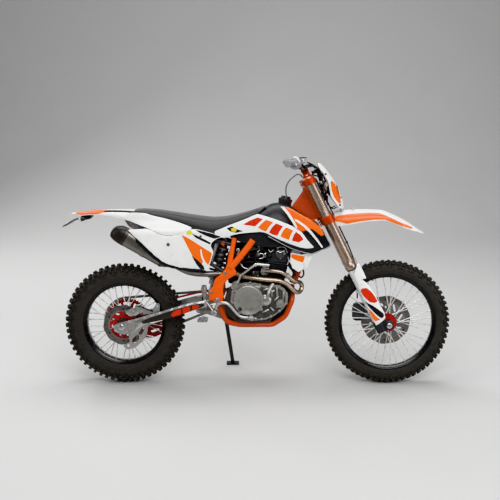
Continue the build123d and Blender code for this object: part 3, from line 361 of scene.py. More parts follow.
def tube(soup, path, r, n=12, mi=0, closed=False, cap=True, flat=1.0, side=None):
    """Sweep of a circle (or an ellipse) along points; r may be a list."""
    path = [Vector(p) for p in path]
    m = len(path)
    rs = r if isinstance(r, (list, tuple)) else [r] * m
    vs, fs = [], []
    prev = None
    for i in range(m):
        if closed:
            d = path[(i + 1) % m] - path[i - 1]
        else:
            d = path[min(m - 1, i + 1)] - path[max(0, i - 1)]
        d.normalize()
        if prev is None:
            x = Vector(side) if side else frame_of(d)[0]
            x = (x - d * x.dot(d)).normalized()
        else:
            x = (prev - d * prev.dot(d)).normalized()
        prev = x
        y = d.cross(x)
        for j in range(n):
            a = 2 * pi * j / n
            vs.append(path[i] + x * (rs[i] * math.cos(a)) + y * (rs[i] * flat * math.sin(a)))
    for i in range(m if closed else m - 1):
        ii = (i + 1) % m
        for j in range(n):
            fs.append((i * n + j, i * n + (j + 1) % n, ii * n + (j + 1) % n, ii * n + j))
    if cap and not closed:
        fs.append(tuple(range(n))[::-1])
        fs.append(tuple((m - 1) * n + j for j in range(n)))
    soup.add(vs, fs, mi)


def inside(pt, poly):
    x, z = pt
    c = False
    j = len(poly) - 1
    for i in range(len(poly)):
        xi, zi = poly[i]
        xj, zj = poly[j]
        if (zi > z) != (zj > z) and x < (xj - xi) * (z - zi) / (zj - zi) + xi:
            c = not c
        j = i
    return c


def rounded(poly, r, k=4):
    """Outline with its corners rounded."""
    out = []
    n = len(poly)
    for i in range(n):
        a, b, c = Vector(poly[i - 1]), Vector(poly[i]), Vector(poly[(i + 1) % n])
        e1, e2 = (a - b), (c - b)
        rr = min(r, 0.42 * e1.length, 0.42 * e2.length)
        if rr < 0.5:
            out.append(tuple(b))
            continue
        p, q = b + e1.normalized() * rr, b + e2.normalized() * rr
        for j in range(k + 1):
            t = j / k
            out.append(tuple(p * (1 - t) ** 2 + b * (2 * t * (1 - t)) + q * t * t))
    return out


def dense(poly, step):
    out = []
    n = len(poly)
    for i in range(n):
        a, b = Vector(poly[i]), Vector(poly[(i + 1) % n])
        m = max(1, int((b - a).length / step))
        for j in range(m):
            out.append(tuple(a + (b - a) * (j / m)))
    return out


def panel(soup, outline, Y, t, step=14.0, mi=0, edge=0.0, edge_w=7.0, grid=None):
    """Curved plate: outline in X-Z, outer face at lateral place Y(x, z), thickness t towards the centre plane.
    edge lowers the outer face's border to round it over."""
    poly = dense(outline, step * 0.7)
    xs, zs = [p[0] for p in poly], [p[1] for p in poly]
    pts = [Vector(p) for p in poly]
    n = len(pts)
    g = grid or step

    def edist(x, z):
        best = 1e9
        for i in range(n):
            a, b = pts[i], pts[(i + 1) % n]
            e = b - a
            L2 = e.length_squared
            if L2 < 1e-9:
                continue
            tt = max(0, min(1, ((x - a.x) * e.x + (z - a.y) * e.y) / L2))
            dx, dz = x - a.x - e.x * tt, z - a.y - e.y * tt
            best = min(best, dx * dx + dz * dz)
        return math.sqrt(best)

    dist = [0.0] * n
    x = min(xs) + g * 0.5
    row = 0
    while x < max(xs):
        z = min(zs) + g * (0.5 if row % 2 else 0.25)
        while z < max(zs):
            if inside((x, z), poly):
                d = edist(x, z)
                if d > g * 0.42:
                    pts.append(Vector((x, z)))
                    dist.append(d)
            z += g
        x += g * 0.9
        row += 1
    edges = [(i, (i + 1) % n) for i in range(n)]
    v, _, f, _, _, _ = geometry.delaunay_2d_cdt(pts, edges, [], 1, 1e-6)
    if len(v) != len(pts):
        dist = [edist(p.x, p.y) for p in v]
    sgn = 1 if Y(sum(xs) / len(xs), sum(zs) / len(zs)) > 0 else -1
    outer, inner = [], []
    for p, d in zip(v, dist):
        y = Y(p.x, p.y)
        fall = edge * (1 - min(1, d / edge_w)) ** 2 if edge else 0.0
        outer.append(Vector((p.x, y - sgn * fall, p.y)))
        inner.append(Vector((p.x, y - sgn * t, p.y)))
    k = len(v)
    fs = [tuple(q) for q in f] + [tuple(i + k for i in reversed(q)) for q in f]
    count = {}
    for q in f:
        for a, b in zip(q, q[1:] + q[:1]):
            count[(a, b)] = 1
    for (a, b) in list(count):
        if (b, a) not in count:
            fs.append((a, a + k, b + k, b))
    soup.add(outer + inner, fs, mi)


# ------------------------------------------------------------------ wheels
def wheel_pt(cx, cz, r, y, a):
    return Vector((cx + r * math.cos(a), y, cz + r * math.sin(a)))


def carcass(half, R, rb, knob, k=20):
    """Half-ellipse section; returns (y, r, normal y, normal r)."""
    A, B = half - 4.0, (R - knob) - (rb + (R - rb) * 0.42)
    r0 = rb + (R - rb) * 0.42
    out = []
    for i in range(k + 1):
        f = -pi / 2 + pi * i / k
        y, r = A * math.sin(f), r0 + B * math.cos(f)
        ny, nr = math.sin(f) / A, math.cos(f) / B
        L = math.hypot(ny, nr)
        out.append((y, r, ny / L, nr / L))
    return out, A, B, r0


def tyre_mesh(name, cx, cz, half, R, rb, knob, rows, pattern, body, repl):
    s = Soup()
    prof, A, B, r0 = carcass(half, R, rb, knob, 22)
    sec = [(-half * 0.60, rb - 1.0), (-half * 0.80, rb + 6), (-half * 0.92, rb + (R - rb) * 0.25)]
    sec += [(y, r) for y, r, _, _ in prof]
    sec += [(half * 0.92, rb + (R - rb) * 0.25), (half * 0.80, rb + 6), (half * 0.60, rb - 1.0)]
    n = 144
    vs, fs = [], []
    k = len(sec)
    for i in range(n):
        a = 2 * pi * i / n
        for y, r in sec:
            vs.append(wheel_pt(cx, cz, r, y, a))
    for i in range(n):
        for j in range(k):
            fs.append((i * k + j, ((i + 1) % n) * k + j, ((i + 1) % n) * k + (j + 1) % k, i * k + (j + 1) % k))
    s.add(vs, fs)
    for side in (-1, 1):
        for rr, w in ((rb + (R - rb) * 0.16, 1.6), (rb + (R - rb) * 0.30, 1.2)):
            yy = half * (0.86 if rr < rb + (R - rb) * 0.2 else 0.935)
            ring = [wheel_pt(cx, cz, rr, side * yy, 2 * pi * i / 96) for i in range(96)]
            tube(s, ring, w, 6, closed=True)

    def surf(f, h):
        y, r = A * math.sin(f), r0 + B * math.cos(f)
        ny, nr = math.sin(f) / A, math.cos(f) / B
        L = math.hypot(ny, nr)
        return y + ny / L * h, r + nr / L * h

    def block(a0, a1, f0, f1, h, skew=0.0, taper=0.12):
        """Knob between two angles round the wheel and two crown angles."""
        vs = []
        for lvl, (hh, tp) in enumerate(((-1.5, 0.0), (h * 0.82, taper * 0.7), (h, taper * 1.7))):
            da, df = (a1 - a0) * tp * 0.5, (f1 - f0) * tp * 0.5
            for (aa, ff, sk) in ((a0 + da, f0 + df, -1), (a1 - da, f0 + df, -1), (a1 - da, f1 - df, 1),
                                 (a0 + da, f1 - df, 1)):
                y, r = surf(ff, hh)
                vs.append(wheel_pt(cx, cz, r, y, aa + skew * sk * (a1 - a0)))
        fs = [(8, 9, 10, 11)]
        for b in (0, 4):
            for j in range(4):
                fs.append((b + j, b + (j + 1) % 4, b + 4 + (j + 1) % 4, b + 4 + j))
        s.add(vs, fs)

    pitch = 2 * pi / rows
    for i in range(rows):
        for (off, length, f0, f1, h, skew) in pattern[i % len(pattern)]:
            a = i * pitch + off * pitch
            block(a, a + length * pitch, math.radians(f0), math.radians(f1), h, skew)
            if f0 > 0:
                block(a, a + length * pitch, math.radians(-f1), math.radians(-f0), h, -skew)
    return s.out(name, "tyre", body, 30, repl)


kf = 11.5
front_pat = [
    [(0.05, 0.50, -15, 15, kf, 0.0), (0.42, 0.50, 33, 52, kf, 0.10), (0.10, 0.42, 62, 80, kf * 0.72, 0.0)],
    [(0.10, 0.46, 6, 27, kf, 0.08), (0.40, 0.52, 36, 54, kf, -0.10), (0.58, 0.36, 60, 76, kf * 0.72, 0.0)],
]
tyre_mesh("front_tyre_tread", XF, ZF, 41.0, 347.6, 266.7, kf, 66, front_pat, "front_wheel", ["front_tyre"])
kr = 14.0
rear_pat = [
    [(0.05, 0.46, -13, 13, kr, 0.0), (0.05, 0.46, 25, 43, kr, 0.06), (0.45, 0.46, 50, 66, kr * 0.85, 0.0),
     (0.10, 0.30, 70, 84, kr * 0.55, 0.0)],
    [(0.05, 0.48, 4, 20, kr, 0.05), (0.08, 0.48, 31, 47, kr, -0.06), (0.52, 0.42, 52, 68, kr * 0.85, 0.0),
     (0.60, 0.30, 71, 84, kr * 0.55, 0.0)],
]
tyre_mesh("rear_tyre_tread", XR, ZR, 56.0, 338.6, 228.6, kr, 58, rear_pat, "rear_wheel", ["rear_tyre"])


def rim_mesh(name, cx, cz, half, rb, rin, body, repl, n_sp=36):
    s = Soup()
    hb = half
    prof = [(-hb - 3.4, rb + 8.5), (-hb - 2.2, rb + 9.0), (-hb - 0.6, rb + 8.0), (-hb + 0.3, rb + 1.2),
            (-hb + 11, rb + 0.8), (-hb + 15, rin + 5), (hb - 15, rin + 5), (hb - 11, rb + 0.8), (hb - 0.3, rb + 1.2),
            (hb + 0.6, rb + 8.0), (hb + 2.2, rb + 9.0), (hb + 3.4, rb + 8.5), (hb + 3.3, rb - 3), (hb + 1.5, rb - 5.6),
            (hb - 8, rb - 6.6), (hb - 12, rin + 0.8), (hb - 14, rin), (0, rin - 1.2), (-hb + 14, rin),
            (-hb + 12, rin + 0.8), (-hb + 8, rb - 6.6), (-hb - 1.5, rb - 5.6), (-hb - 3.3, rb - 3)]
    lathe(s, (cx, 0, cz), (0, 1, 0), prof, 128, closed=True)
    lathe(s, wheel_pt(cx, cz, rin - 8, 0, 1.9), wheel_pt(0, 0, 1, 0, 1.9), [(0, 3.2), (7, 3.2), (9, 5.0), (10, 5.0)], 10)
    return s.out(name, "rim", body, 35, repl)


rim_mesh("front_rim_ring", XF, ZF, 25.4, 266.7, 250.0, "front_wheel", ["front_rim"])
rim_mesh("rear_rim_ring", XR, ZR, 34.7, 228.6, 213.0, "rear_wheel", ["rear_rim"])


def hub_mesh(prefix, cx, cz, body, fl_y, fl_r, mid, bear, left, rightw, rin, repl):
    h = Soup()
    fy = fl_y
    prof = [(-rightw, bear), (-fy - 8, bear + 1), (-fy - 5, fl_r + 2), (-fy - 3.6, fl_r + 6), (-fy + 1.5, fl_r + 6),
            (-fy + 3, fl_r + 3), (-fy + 9, mid + 3), (-fy * 0.4, mid), (fy * 0.4, mid), (fy - 9, mid + 3),
            (fy - 3, fl_r + 3), (fy - 1.5, fl_r + 6), (fy + 3.6, fl_r + 6), (fy + 5, fl_r + 2), (fy + 8, bear + 1),
            (left, bear), (left, 10.4), (-rightw, 10.4)]
    lathe(h, (cx, 0, cz), (0, 1, 0), prof, 48, closed=True)
    h.out(prefix + "_hub_shell", "hub", body, 30, repl)
    sp = Soup()
    n = 36
    for i in range(n):
        side = -1 if i % 2 else 1
        k = i // 2
        out = 1 if k % 2 else -1
        a = 2 * pi * (i + 0.5) / n
        b = a + out * math.radians(47)
        p = wheel_pt(cx, cz, fl_r, side * (fy + out * 3.0), b)
        q = wheel_pt(cx, cz, rin + 2, side * 3.5, a)
        d = (q - p).normalized()
        cyl(sp, p - d * 1.0, q, 2.7, 8)
        cyl(sp, q - d * 22, q - d * 3, 3.9, 8, r2=4.2)
        cyl(sp, p - Vector((0, out * 4.5, 0)), p + Vector((0, out * 1.8, 0)), 2.6, 8)
    sp.out(prefix + "_spoke_set", "spoke", body, 50)


hub_mesh("front", XF, ZF, "front_wheel", 26, 27, 19, 22, 38, 38, 250, ["front_hub"])
hub_mesh("rear", XR, ZR, "rear_wheel", 34, 36, 25, 26, 64, 56, 213, ["rear_hub"])


sp = Soup()
lathe(sp, (XF, -32.5, ZF), (0, -1, 0), [(0, 20), (0, 50), (1.5, 52), (3.5, 50), (3.5, 22)], 48, 0, closed=True)
for i in range(9):
    lathe(sp, wheel_pt(XF, ZF, 42, -35.8, 2 * pi * i / 9), (0, -1, 0), [(0, 4.5), (1.6, 4.2), (1.8, 2.0)], 12, 1)
sp.out("front_hub_flange", "hub_plastic", "front_wheel", 35, (), ["hub"])
sp = Soup()
lathe(sp, (XR, -47.5, ZR), (0, -1, 0), [(0, 30), (0, 58), (1.5, 60), (3.5, 58), (3.5, 32)], 48, 0, closed=True)
sp.out("rear_hub_flange", "hub_plastic", "rear_wheel", 35)


def disc_mesh(name, cx, cz, y, R, inner, body, repl, arms=6, arm_mat="hub"):
    """Drilled brake ring on a spoked carrier."""
    s = Soup()
    n = 120
    w0, w1 = R - 27, R
    t = 1.9
    vs, fs = [], []
    wave = lambda a: 1.6 * math.sin(10 * a)
    for i in range(n):
        a = 2 * pi * i / n
        for r, yy in ((w0 + wave(a) * 0.5, y - t), (w1 + wave(a), y - t), (w1 + wave(a), y + t), (w0 + wave(a) * 0.5, y + t)):
            vs.append(wheel_pt(cx, cz, r, yy, a))
    for i in range(n):
        b, c = i * 4, ((i + 1) % n) * 4
        for j in range(4):
            fs.append((b + j, c + j, c + (j + 1) % 4, b + (j + 1) % 4))
    s.add(vs, fs, 0)
    for i in range(30):
        a = 2 * pi * i / 30
        rr = (w0 + w1) / 2 + (7 if i % 3 == 0 else (-7 if i % 3 == 1 else 0))
        for sd in (-1, 1):
            lathe(s, wheel_pt(cx, cz, rr, y + sd * (t - 0.6), a), (0, sd, 0), [(0, 3.2), (0.85, 3.2), (0.86, 2.2), (0.2, 1.9)], 10, 2)
    for i in range(arms):
        a = 2 * pi * (i + 0.5) / arms
        for k in (-1, 1):
            p = wheel_pt(cx, cz, inner + 2, y, a + k * 0.36)
            q = wheel_pt(cx, cz, w0 + 5, y, a + k * 0.10)
            tube(s, [p, (p + q) / 2, q], [5.5, 4.2, 5.0], 8, 1, flat=0.42, side=(p - q).cross(Vector((0, 1, 0))))
        hexbolt(s, wheel_pt(cx, cz, w0 + 5, y - 2.2, a), (0, -1, 0), 4.2, 2.0, 2)
        hexbolt(s, wheel_pt(cx, cz, inner + 7, y - 1, a), (0, -1 if y < 0 else 1, 0), 4.6, 4.5, 2)
    lathe(s, (cx, y - 2.2, cz), (0, 1, 0), [(0, inner), (4.4, inner), (4.4, inner + 13), (0, inner + 13)], 48, 1, closed=True)
    return s.out(name, "disc_steel", body, 35, repl, [arm_mat, "dark_steel"])


disc_mesh("front_brake_disc", XF, ZF, 42.1, 137.0, 17.5, "front_wheel", ["front_disc"], 6, "disc_steel")
disc_mesh("rear_brake_disc", XR, ZR, -60.1, 112.0, 23.5, "rear_wheel", ["rear_disc"], 6, "disc_steel")

# rear sprocket with teeth and windows
s = Soup()
teeth, ry = 50, 78.0
prof_o = []
for i in range(teeth * 4):
    a = 2 * pi * i / (teeth * 4)
    r = (119.5, 122.5, 128.0, 122.5)[i % 4]
    prof_o.append((XR + r * math.cos(a), ZR + r * math.sin(a)))
holes = []
n_w = 6


def ring_plate(soup, outer, inner_r, y0, y1, mi=0):
    n = len(outer)
    vs, fs = [], []
    for i in range(n):
        a = math.atan2(outer[i][1] - ZR, outer[i][0] - XR)
        vs += [Vector((outer[i][0], y0, outer[i][1])), Vector((outer[i][0], y1, outer[i][1])),
               wheel_pt(XR, ZR, inner_r, y1, a), wheel_pt(XR, ZR, inner_r, y0, a)]
    for i in range(n):
        b, c = i * 4, ((i + 1) % n) * 4
        for j in range(4):
            fs.append((b + j, c + j, c + (j + 1) % 4, b + (j + 1) % 4))
    soup.add(vs, fs, mi)


ring_plate(s, prof_o, 104, ry - 2.8, ry + 2.8)
for i in range(n_w):
    a = 2 * pi * i / n_w
    for k in (-1, 1):
        p, q = wheel_pt(XR, ZR, 40, ry, a + k * 0.30), wheel_pt(XR, ZR, 106, ry, a + k * 0.20)
        tube(s, [p, q], [8, 7], 8, 0, flat=0.36, side=(p - q).cross(Vector((0, 1, 0))))
    hexbolt(s, wheel_pt(XR, ZR, 42, ry + 2.5, a), (0, 1, 0), 6, 6, 1)
lathe(s, (XR, ry - 9, ZR), (0, 1, 0), [(0, 23.6), (11.8, 23.6), (11.8, 50), (6, 50), (6, 36), (0, 36)], 64, 0, closed=True)
s.out("rear_sprocket_teeth", "hub", "rear_wheel", 30, ["rear_sprocket"], ["bolt"])

# ------------------------------------------------------------------ bodywork
EYE, FWD = Vector((116.0, -4598.0, 1302.0)), (Vector((-28.0, 0, 751.0)) - Vector((116.0, -4598.0, 1302.0))).normalized()
_r = FWD.cross(Vector((0, 0, 1))).normalized()
_u = _r.cross(FWD)
PR = _r * math.cos(roll) + _u * math.sin(roll)
PU = -_r * math.sin(roll) + _u * math.cos(roll)


def PX(pts, y):
    """Outline points seen in the picture, placed on the plane at lateral place y: (x, z) in mm."""
    out = []
    for a, b in pts:
        d = FWD + PR * ((a - 250) / 832.9) - PU * ((b - 250) / 832.9)
        t = (y - EYE.y) / d.y
        p = EYE + d * t
        out.append((p.x, p.z))
    return out


def sm(t):
    t = max(0.0, min(1.0, t))
    return t * t * (3 - 2 * t)


def wing_y(x, z):
    return -(127 + 13 * sm((x + 160) / 360) + 4 * math.cos(max(-1.5, min(1.5, (z - 880) / 60.0))))


def shroud_y(x, z):
    return -(141 + 6 * math.cos(max(-1.5, min(1.5, (z - 880) / 90.0))) - 10 * sm((190 - x) / 120) * sm((z - 930) / 80))


def panel_y_r(x, z):
    base = 128 + 46 * sm((-190 - x) / 430)
    return -(base + 7 * math.sin(max(0, min(pi, (z - 640) / 300 * pi))) - 22 * sm((z - 868) / 62))


def panel_y_l(x, z):
    base = 128 + 26 * sm((-190 - x) / 430)
    return (base + 7 * math.sin(max(0, min(pi, (z - 640) / 300 * pi))) - 22 * sm((z - 868) / 62))


def side_set(tag, outlines, y_r, y_l, yplane, body, repl=(), step=13.0):
    """outlines: list of (points, material index, thickness, lift, edge drop); both sides of the machine."""
    for sgn, label in ((-1, "right"), (1, "left")):
        for name, pts, mat, t, lift, edge, rad in outlines:
            sp = Soup()
            poly = rounded(PX(pts, yplane), rad)
            if sgn < 0:
                f = lambda x, z, l=lift: y_r(x, z) - l
            else:
                f = lambda x, z, l=lift: y_l(x, z) + l
            panel(sp, poly, f, t, step, 0, edge)
            rp = list(repl) if (sgn < 0 and name == outlines[0][0]) else []
            o = sp.out(tag + "_" + name + "_" + label, mat, body, 38, rp)


def neg(f):
    return lambda x, z: -f(x, z)


wing_white = [(213.5, 231.8), (222, 228.4), (230, 225), (238, 222), (246, 218.9), (252, 216.2), (257.5, 214.0),
              (262, 215.2), (270, 217.6), (280, 221.0), (290, 225.0), (297, 228.4), (302, 232.2), (306, 238), (310, 243),
              (314.8, 247.8), (307, 248.6), (300, 247.5), (290, 244.0), (280, 239.9), (272, 236.3), (266, 232.9),
              (261, 231.9), (250, 232.7), (240, 233.8), (232, 235.4), (224, 238.4), (217, 237)]
wing_base = [(262, 233.5), (272, 234.5), (281, 237), (291, 240), (301, 243), (303, 232), (311, 227), (321, 231),
             (326, 237), (330, 246.2), (322, 249.6), (312, 253.6), (301, 251.4), (290, 247.8), (280, 243.2), (271, 238.2)]
stripe_1 = [(243, 224.6), (250, 220.6), (257.5, 217.6), (263, 219.0), (259, 222.6), (255, 226.4), (249, 225.4)]
stripe_2 = [(258, 227.6), (262, 223.4), (266, 219.9), (273, 222.3), (269, 226.6), (266, 231.4), (262, 229.9)]
stripe_3 = [(269, 232.4), (272, 227.4), (276, 223.4), (283, 226.2), (280, 230.4), (277.5, 235.4), (273, 234.6)]
stripe_4 = [(280.5, 236.2), (283, 231.0), (286, 227.4), (293, 230.4), (290.5, 235), (289, 239.8), (284.5, 238.2)]
stripe_5 = [(292, 240.6), (293.5, 235.6), (296, 231.8), (300.5, 235.0), (303.5, 239.4), (299, 242.2)]
patch_b = [(226.5, 228.4), (232, 226.6), (236.5, 229.2), (243, 231.3), (236, 232.9), (230, 231.4)]
patch_y = [(230.8, 228.8), (234, 227.7), (237, 230.0), (235, 232.2), (231.6, 231.2)]
side_set("wing", [
    ("base", wing_base, "black", 4, -3.0, 2.0, 10),
    ("white", wing_white, "white", 4, 0.0, 2.2, 16),
    ("stripe_a", stripe_1, "graphic_red", 1.2, 0.7, 0.3, 4), ("stripe_b", stripe_2, "orange", 1.2, 0.7, 0.3, 4),
    ("stripe_c", stripe_3, "graphic_red", 1.2, 0.7, 0.3, 4), ("stripe_d", stripe_4, "orange", 1.2, 0.7, 0.3, 4),
    ("stripe_e", stripe_5, "graphic_red", 1.2, 0.7, 0.3, 4),
    ("patch_dark", patch_b, "graphic_black", 1.1, 0.6, 0.3, 3), ("patch_yellow", patch_y, "graphic_yellow", 1.1, 1.1, 0.3, 3),
], wing_y, neg(wing_y), -138, "chassis", [])

shroud_orange = [(283, 206.8), (288, 207.4), (293, 209.6), (300, 214.0), (308, 218.4), (315, 223.0), (320.8, 227.8),
                 (324.4, 234.6), (321.6, 236.2), (316, 231.8), (311.5, 228.6), (308, 231.4), (301, 231.2), (296.2, 228.4),
                 (293, 222.5), (288, 214)]
shroud_black = [(303.6, 231.0), (309, 229.0), (313, 229.6), (321.4, 236.4), (324.6, 235.0), (328.4, 240.4), (330, 245.9),
                (322.4, 248.6), (316.6, 242.6), (311, 237.2)]
line_a = [(280, 206.4), (284.2, 206.8), (289.6, 213.2), (294.8, 221.6), (297.6, 228.0), (296.0, 228.6), (292.4, 222.8),
          (287.2, 214.6), (283, 209.6)]
line_b = [(294.6, 218.6), (299, 220.6), (305, 224.8), (311.4, 231.0), (317.4, 238.6), (323.2, 247.2), (321.8, 248.0),
          (315.8, 240.2), (309.6, 232.8), (303.8, 227.0), (298.6, 223.2), (295, 221)]
line_c = [(300, 214.8), (309, 219.4), (316.2, 224.0), (322.2, 229.0), (326.4, 237.2), (330.8, 245.6), (329.4, 246.6),
          (324.6, 238.0), (320.6, 230.4), (315.2, 225.4), (308, 220.8), (301, 217)]
side_set("shroud", [
    ("orange", shroud_orange, "orange", 4, 0.0, 1.6, 6),
    ("dark", shroud_black, "graphic_black", 3, -0.2, 1.0, 5),
    ("line_a", line_a, "white", 2.2, 1.0, 0.4, 3), ("line_b", line_b, "white", 1.6, 0.9, 0.4, 2),
], shroud_y, neg(shroud_y), -146, "chassis", ["shrouds"], 11)
for sgn, label in ((-1, "right"), (1, "left")):
    sp = Soup()
    pts = PX([(268, 236.4), (274, 239.6), (281, 243.4), (290, 247.9), (301, 251.6), (312, 253.8), (322, 249.8), (330.2, 246.2),
              (327.6, 239.4), (324.8, 234.2)], -146)
    path = catmull([Vector((x, -sgn * (wing_y(x, z) - 2.5 - 4 * sm((x - 250) / 120)), z)) for x, z in pts], 6)
    tube(sp, path, 3.4, 10, 0, flat=0.8)
    sp.out("shroud_edge_" + label, "graphic_grey", "chassis", 50)

# lower guards in front of the radiators
low_white = [(290.6, 253.0), (301, 254.6), (313.4, 253.2), (311.4, 258.6), (308.6, 263.6), (307.2, 267.8), (304.8, 267.6),
             (303.8, 262.6), (302.6, 270.0), (298.4, 272.2), (292.2, 268.0), (290.8, 261)]
low_orange = [(291.4, 254.0), (298, 255.2), (305, 256.4), (303.0, 262.4), (297, 260.6), (291.4, 257.6)]
side_set("radiator_guard", [
    ("white", low_white, "white", 4, 0.0, 1.6, 5), ("orange", low_orange, "orange", 1.3, 0.8, 0.3, 4),
], lambda x, z: -(122 + 3 * math.cos((z - 700) / 60)), lambda x, z: 122 + 3 * math.cos((z - 700) / 60), -124, "chassis", [], 10)

# side panels
sp_low = [(128.6, 229.2), (140, 228.8), (148.5, 228.2), (155, 231.4), (163, 235.0), (170, 236.0), (178, 234.0), (182, 232.6),
          (189, 229.6), (196, 229.4), (205, 231.6), (214, 234.2), (223, 237.4), (216, 239.2), (211.5, 243.0), (210.4, 246.4),
          (213.4, 252.4), (210.8, 261), (208.2, 268.4), (205.4, 271.4), (199, 269.6), (190, 269.0), (180, 267.8), (170, 264.9),
          (163, 261.6), (155, 255.2), (146, 246.2), (138, 238.6), (131.5, 232.6)]
sp_up = [(134, 212.4), (145, 213.0), (152, 215.4), (160, 217.4), (168, 219.4), (178, 222.6), (187, 225.8), (192, 228.0),
         (189, 230.6), (183, 233.0), (177, 234.4), (170, 235.6), (163, 234.6), (155, 231.0), (148.5, 227.8), (140, 224.9),
         (130, 221.0), (123, 218.6), (128, 213)]
sp_orange = [(181.6, 234.6), (190, 239.3), (200, 246.0), (211.8, 253.6), (209.9, 260.5), (207.4, 266.6), (203.0, 261.4),
             (201.6, 264.8), (199.6, 266.0), (192.4, 256)]
sp_line = [(199.8, 249.6), (201.4, 249.4), (202.4, 256), (204.6, 261.4), (208.0, 265.6), (207.4, 267.8), (203.2, 262.6),
           (200.8, 257)]
sp_tip = [(191.8, 256.0), (198, 261.0), (203.4, 266.4), (204.4, 270.2), (200.4, 269.8), (196, 264.0)]
sp_edge = [(136.5, 236.5), (146, 245.2), (155, 254.2), (163, 260.6), (170, 263.9), (180, 266.8), (190, 268.0), (199, 268.6), (205, 270.4),
           (206, 272.4), (199, 271.6), (190, 271.2), (180, 270.0), (170, 267.4), (162.2, 264.4), (153.6, 257.8), (144.6, 249.0), (136.4, 240.8)]
sp_ridge = [(156, 247.4), (163, 250.2), (170, 253.8), (178, 258.8), (185, 264.0), (183.4, 265.2), (176, 261.2), (169, 256.6), (162, 252.6), (156, 249.2)]
sp_blk1 = [(191.6, 233.6), (197, 236.0), (205, 240.0), (210.6, 243.2), (209.3, 244.6), (203, 241.6), (195.6, 237.8)]
sp_blk2 = [(194.8, 229.7), (204, 231.9), (213, 234.3), (221, 237.2), (214, 239.0), (206, 236.2), (198.8, 232.6)]
sp_yel = [(186.2, 231.2), (190, 230.4), (193, 232.2), (190.6, 235.0), (186.6, 234.4)]
side_set("side_panel", [
    ("lower", sp_low, "white", 5, 0.0, 2.4, 12),
    ("upper", sp_up, "white", 5, 5.0, 3.0, 12),
    ("orange", sp_orange, "orange", 1.3, 0.8, 0.3, 6), ("line", sp_line, "white", 1.4, 1.5, 0.3, 1),
    ("tip", sp_tip, "graphic_black", 1.2, 1.6, 0.3, 2), ("edge_line", sp_edge, "graphic_black", 3, -1.6, 0.6, 3),
    ("ridge", sp_ridge, "white", 2.0, 1.6, 1.4, 5), ("stripe_a", sp_blk1, "graphic_black", 1.2, 0.7, 0.3, 2),
    ("stripe_b", sp_blk2, "graphic_black", 1.2, 0.7, 0.3, 2), ("patch", sp_yel, "graphic_yellow", 1.2, 1.2, 0.3, 4),
], panel_y_r, panel_y_l, -150, "chassis", ["side_panels"])
# black sheet 6.4 mm inside each white side panel: painted shade, makes the panel's white inner face read dark as if in
# shadow
for sgn, fy, label in ((-1, panel_y_r, "right"), (1, panel_y_l, "left")):
    sp = Soup()
    lin = [(q[0] + (0.8 if q[0] < 150 else -0.8), q[1]) for q in sp_low]
    panel(sp, rounded(PX(lin, -150), 3), lambda x, z, fy=fy, sgn=sgn: fy(x, z) - sgn * 6.4, 1.4, 14, 0)
    sp.out("side_panel_lining_" + label, "black", "chassis", 50)
sp = Soup()
for sgn, fy in ((-1, panel_y_r), (1, panel_y_l)):
    for q in ((168.4, 244.2), (200.4, 236.4)):
        (x, z), = PX([q], -150)
        y = fy(x, z)
        k_ = 1.5 if q[0] < 190 else 1.0
        lathe(sp, (x, y - sgn * 3, z), (0, sgn, 0), [(0, 7.5 * k_), (3.2, 7.5 * k_), (4.6, 6.2 * k_), (4.8, 4.6 * k_), (3.4, 4.2 * k_)], 20)
        lathe(sp, (x, y, z), (0, sgn, 0), [(0, 4.3 * k_), (0.9, 4.2 * k_)], 6, 1)
sp.out("panel_screws", "dull_silver", "chassis", 30, (), ["dark_steel"])

# ------------------------------------------------------------------ front end
def lerp(tab, x):
    if x <= tab[0][0]:
        return tab[0][1]
    for (a, u), (b, v) in zip(tab, tab[1:]):
        if x <= b:
            return u + (v - u) * (x - a) / (b - a)
    return tab[-1][1]


def smooth_tab(tab, k=6):
    return [(p.x, p.y) for p in catmull([Vector((a, b, 0)) for a, b in tab], k)]


F_TOP = smooth_tab([(437, 967), (470, 972), (524, 976), (580, 978), (634, 977), (689, 974), (722, 966), (766, 947),
                    (816, 922), (866, 891), (899, 869), (932, 845)])
F_LOW = smooth_tab([(430, 886), (458, 892), (501, 897), (528, 903), (598, 916), (668, 922), (705, 922), (732, 916),
                    (781, 897), (814, 881), (852, 867), (884, 860), (926, 841), (932, 838)])
F_W = smooth_tab([(430, 62), (500, 76), (560, 83), (660, 84), (760, 81), (830, 70), (880, 55), (910, 38), (926, 22), (932, 6)])


def fender_y(x, z):
    h = max(0.0, min(0.999, (z - lerp(F_LOW, x)) / max(4.0, lerp(F_TOP, x) - lerp(F_LOW, x))))
    return lerp(F_W, x) * math.sqrt(1 - h ** 3)


sp = Soup()
nx, nt_ = 56, 36
for layer, (dw, dz) in enumerate(((0, 0), (-4, -4))):
    vs, fs = [], []
    for i in range(nx + 1):
        x = 438 + (932 - 438 - (3 if layer else 0)) * (i / nx)
        zt, zl, w = lerp(F_TOP, x) + dz, lerp(F_LOW, x), max(1.0, lerp(F_W, x) + dw)
        for j in range(nt_ + 1):
            t = -1 + 2 * j / nt_
            a = abs(t)
            h = min(1.0, 1.45 * (1 - a) ** 0.85) if a > 0.62 else 1.0
            y = w * math.copysign(1, t) * (math.sqrt(max(0, 1 - (min(h, 0.992)) ** 3)) if a > 0.62 else
                                           math.sqrt(1 - 0.992 ** 3) * a / 0.62)
            h = (1 - (abs(y) / w) ** 2) ** (1 / 3.0)
            crest = 5 * math.exp(-((abs(y) - 0.46 * w) / 11.0) ** 2) * sm((932 - x) / 200)
            vs.append((x, y, zl + (zt - zl) * h - (0 if layer else 0) + (crest - 3) * (1 if zt - zl > 12 else 0) * 0.6))
    m = nt_ + 1
    for i in range(nx):
        for j in range(nt_):
            fs.append((i * m + j, i * m + j + 1, (i + 1) * m + j + 1, (i + 1) * m + j))
    sp.add(vs, fs)
m = nt_ + 1
half_n = (nx + 1) * m
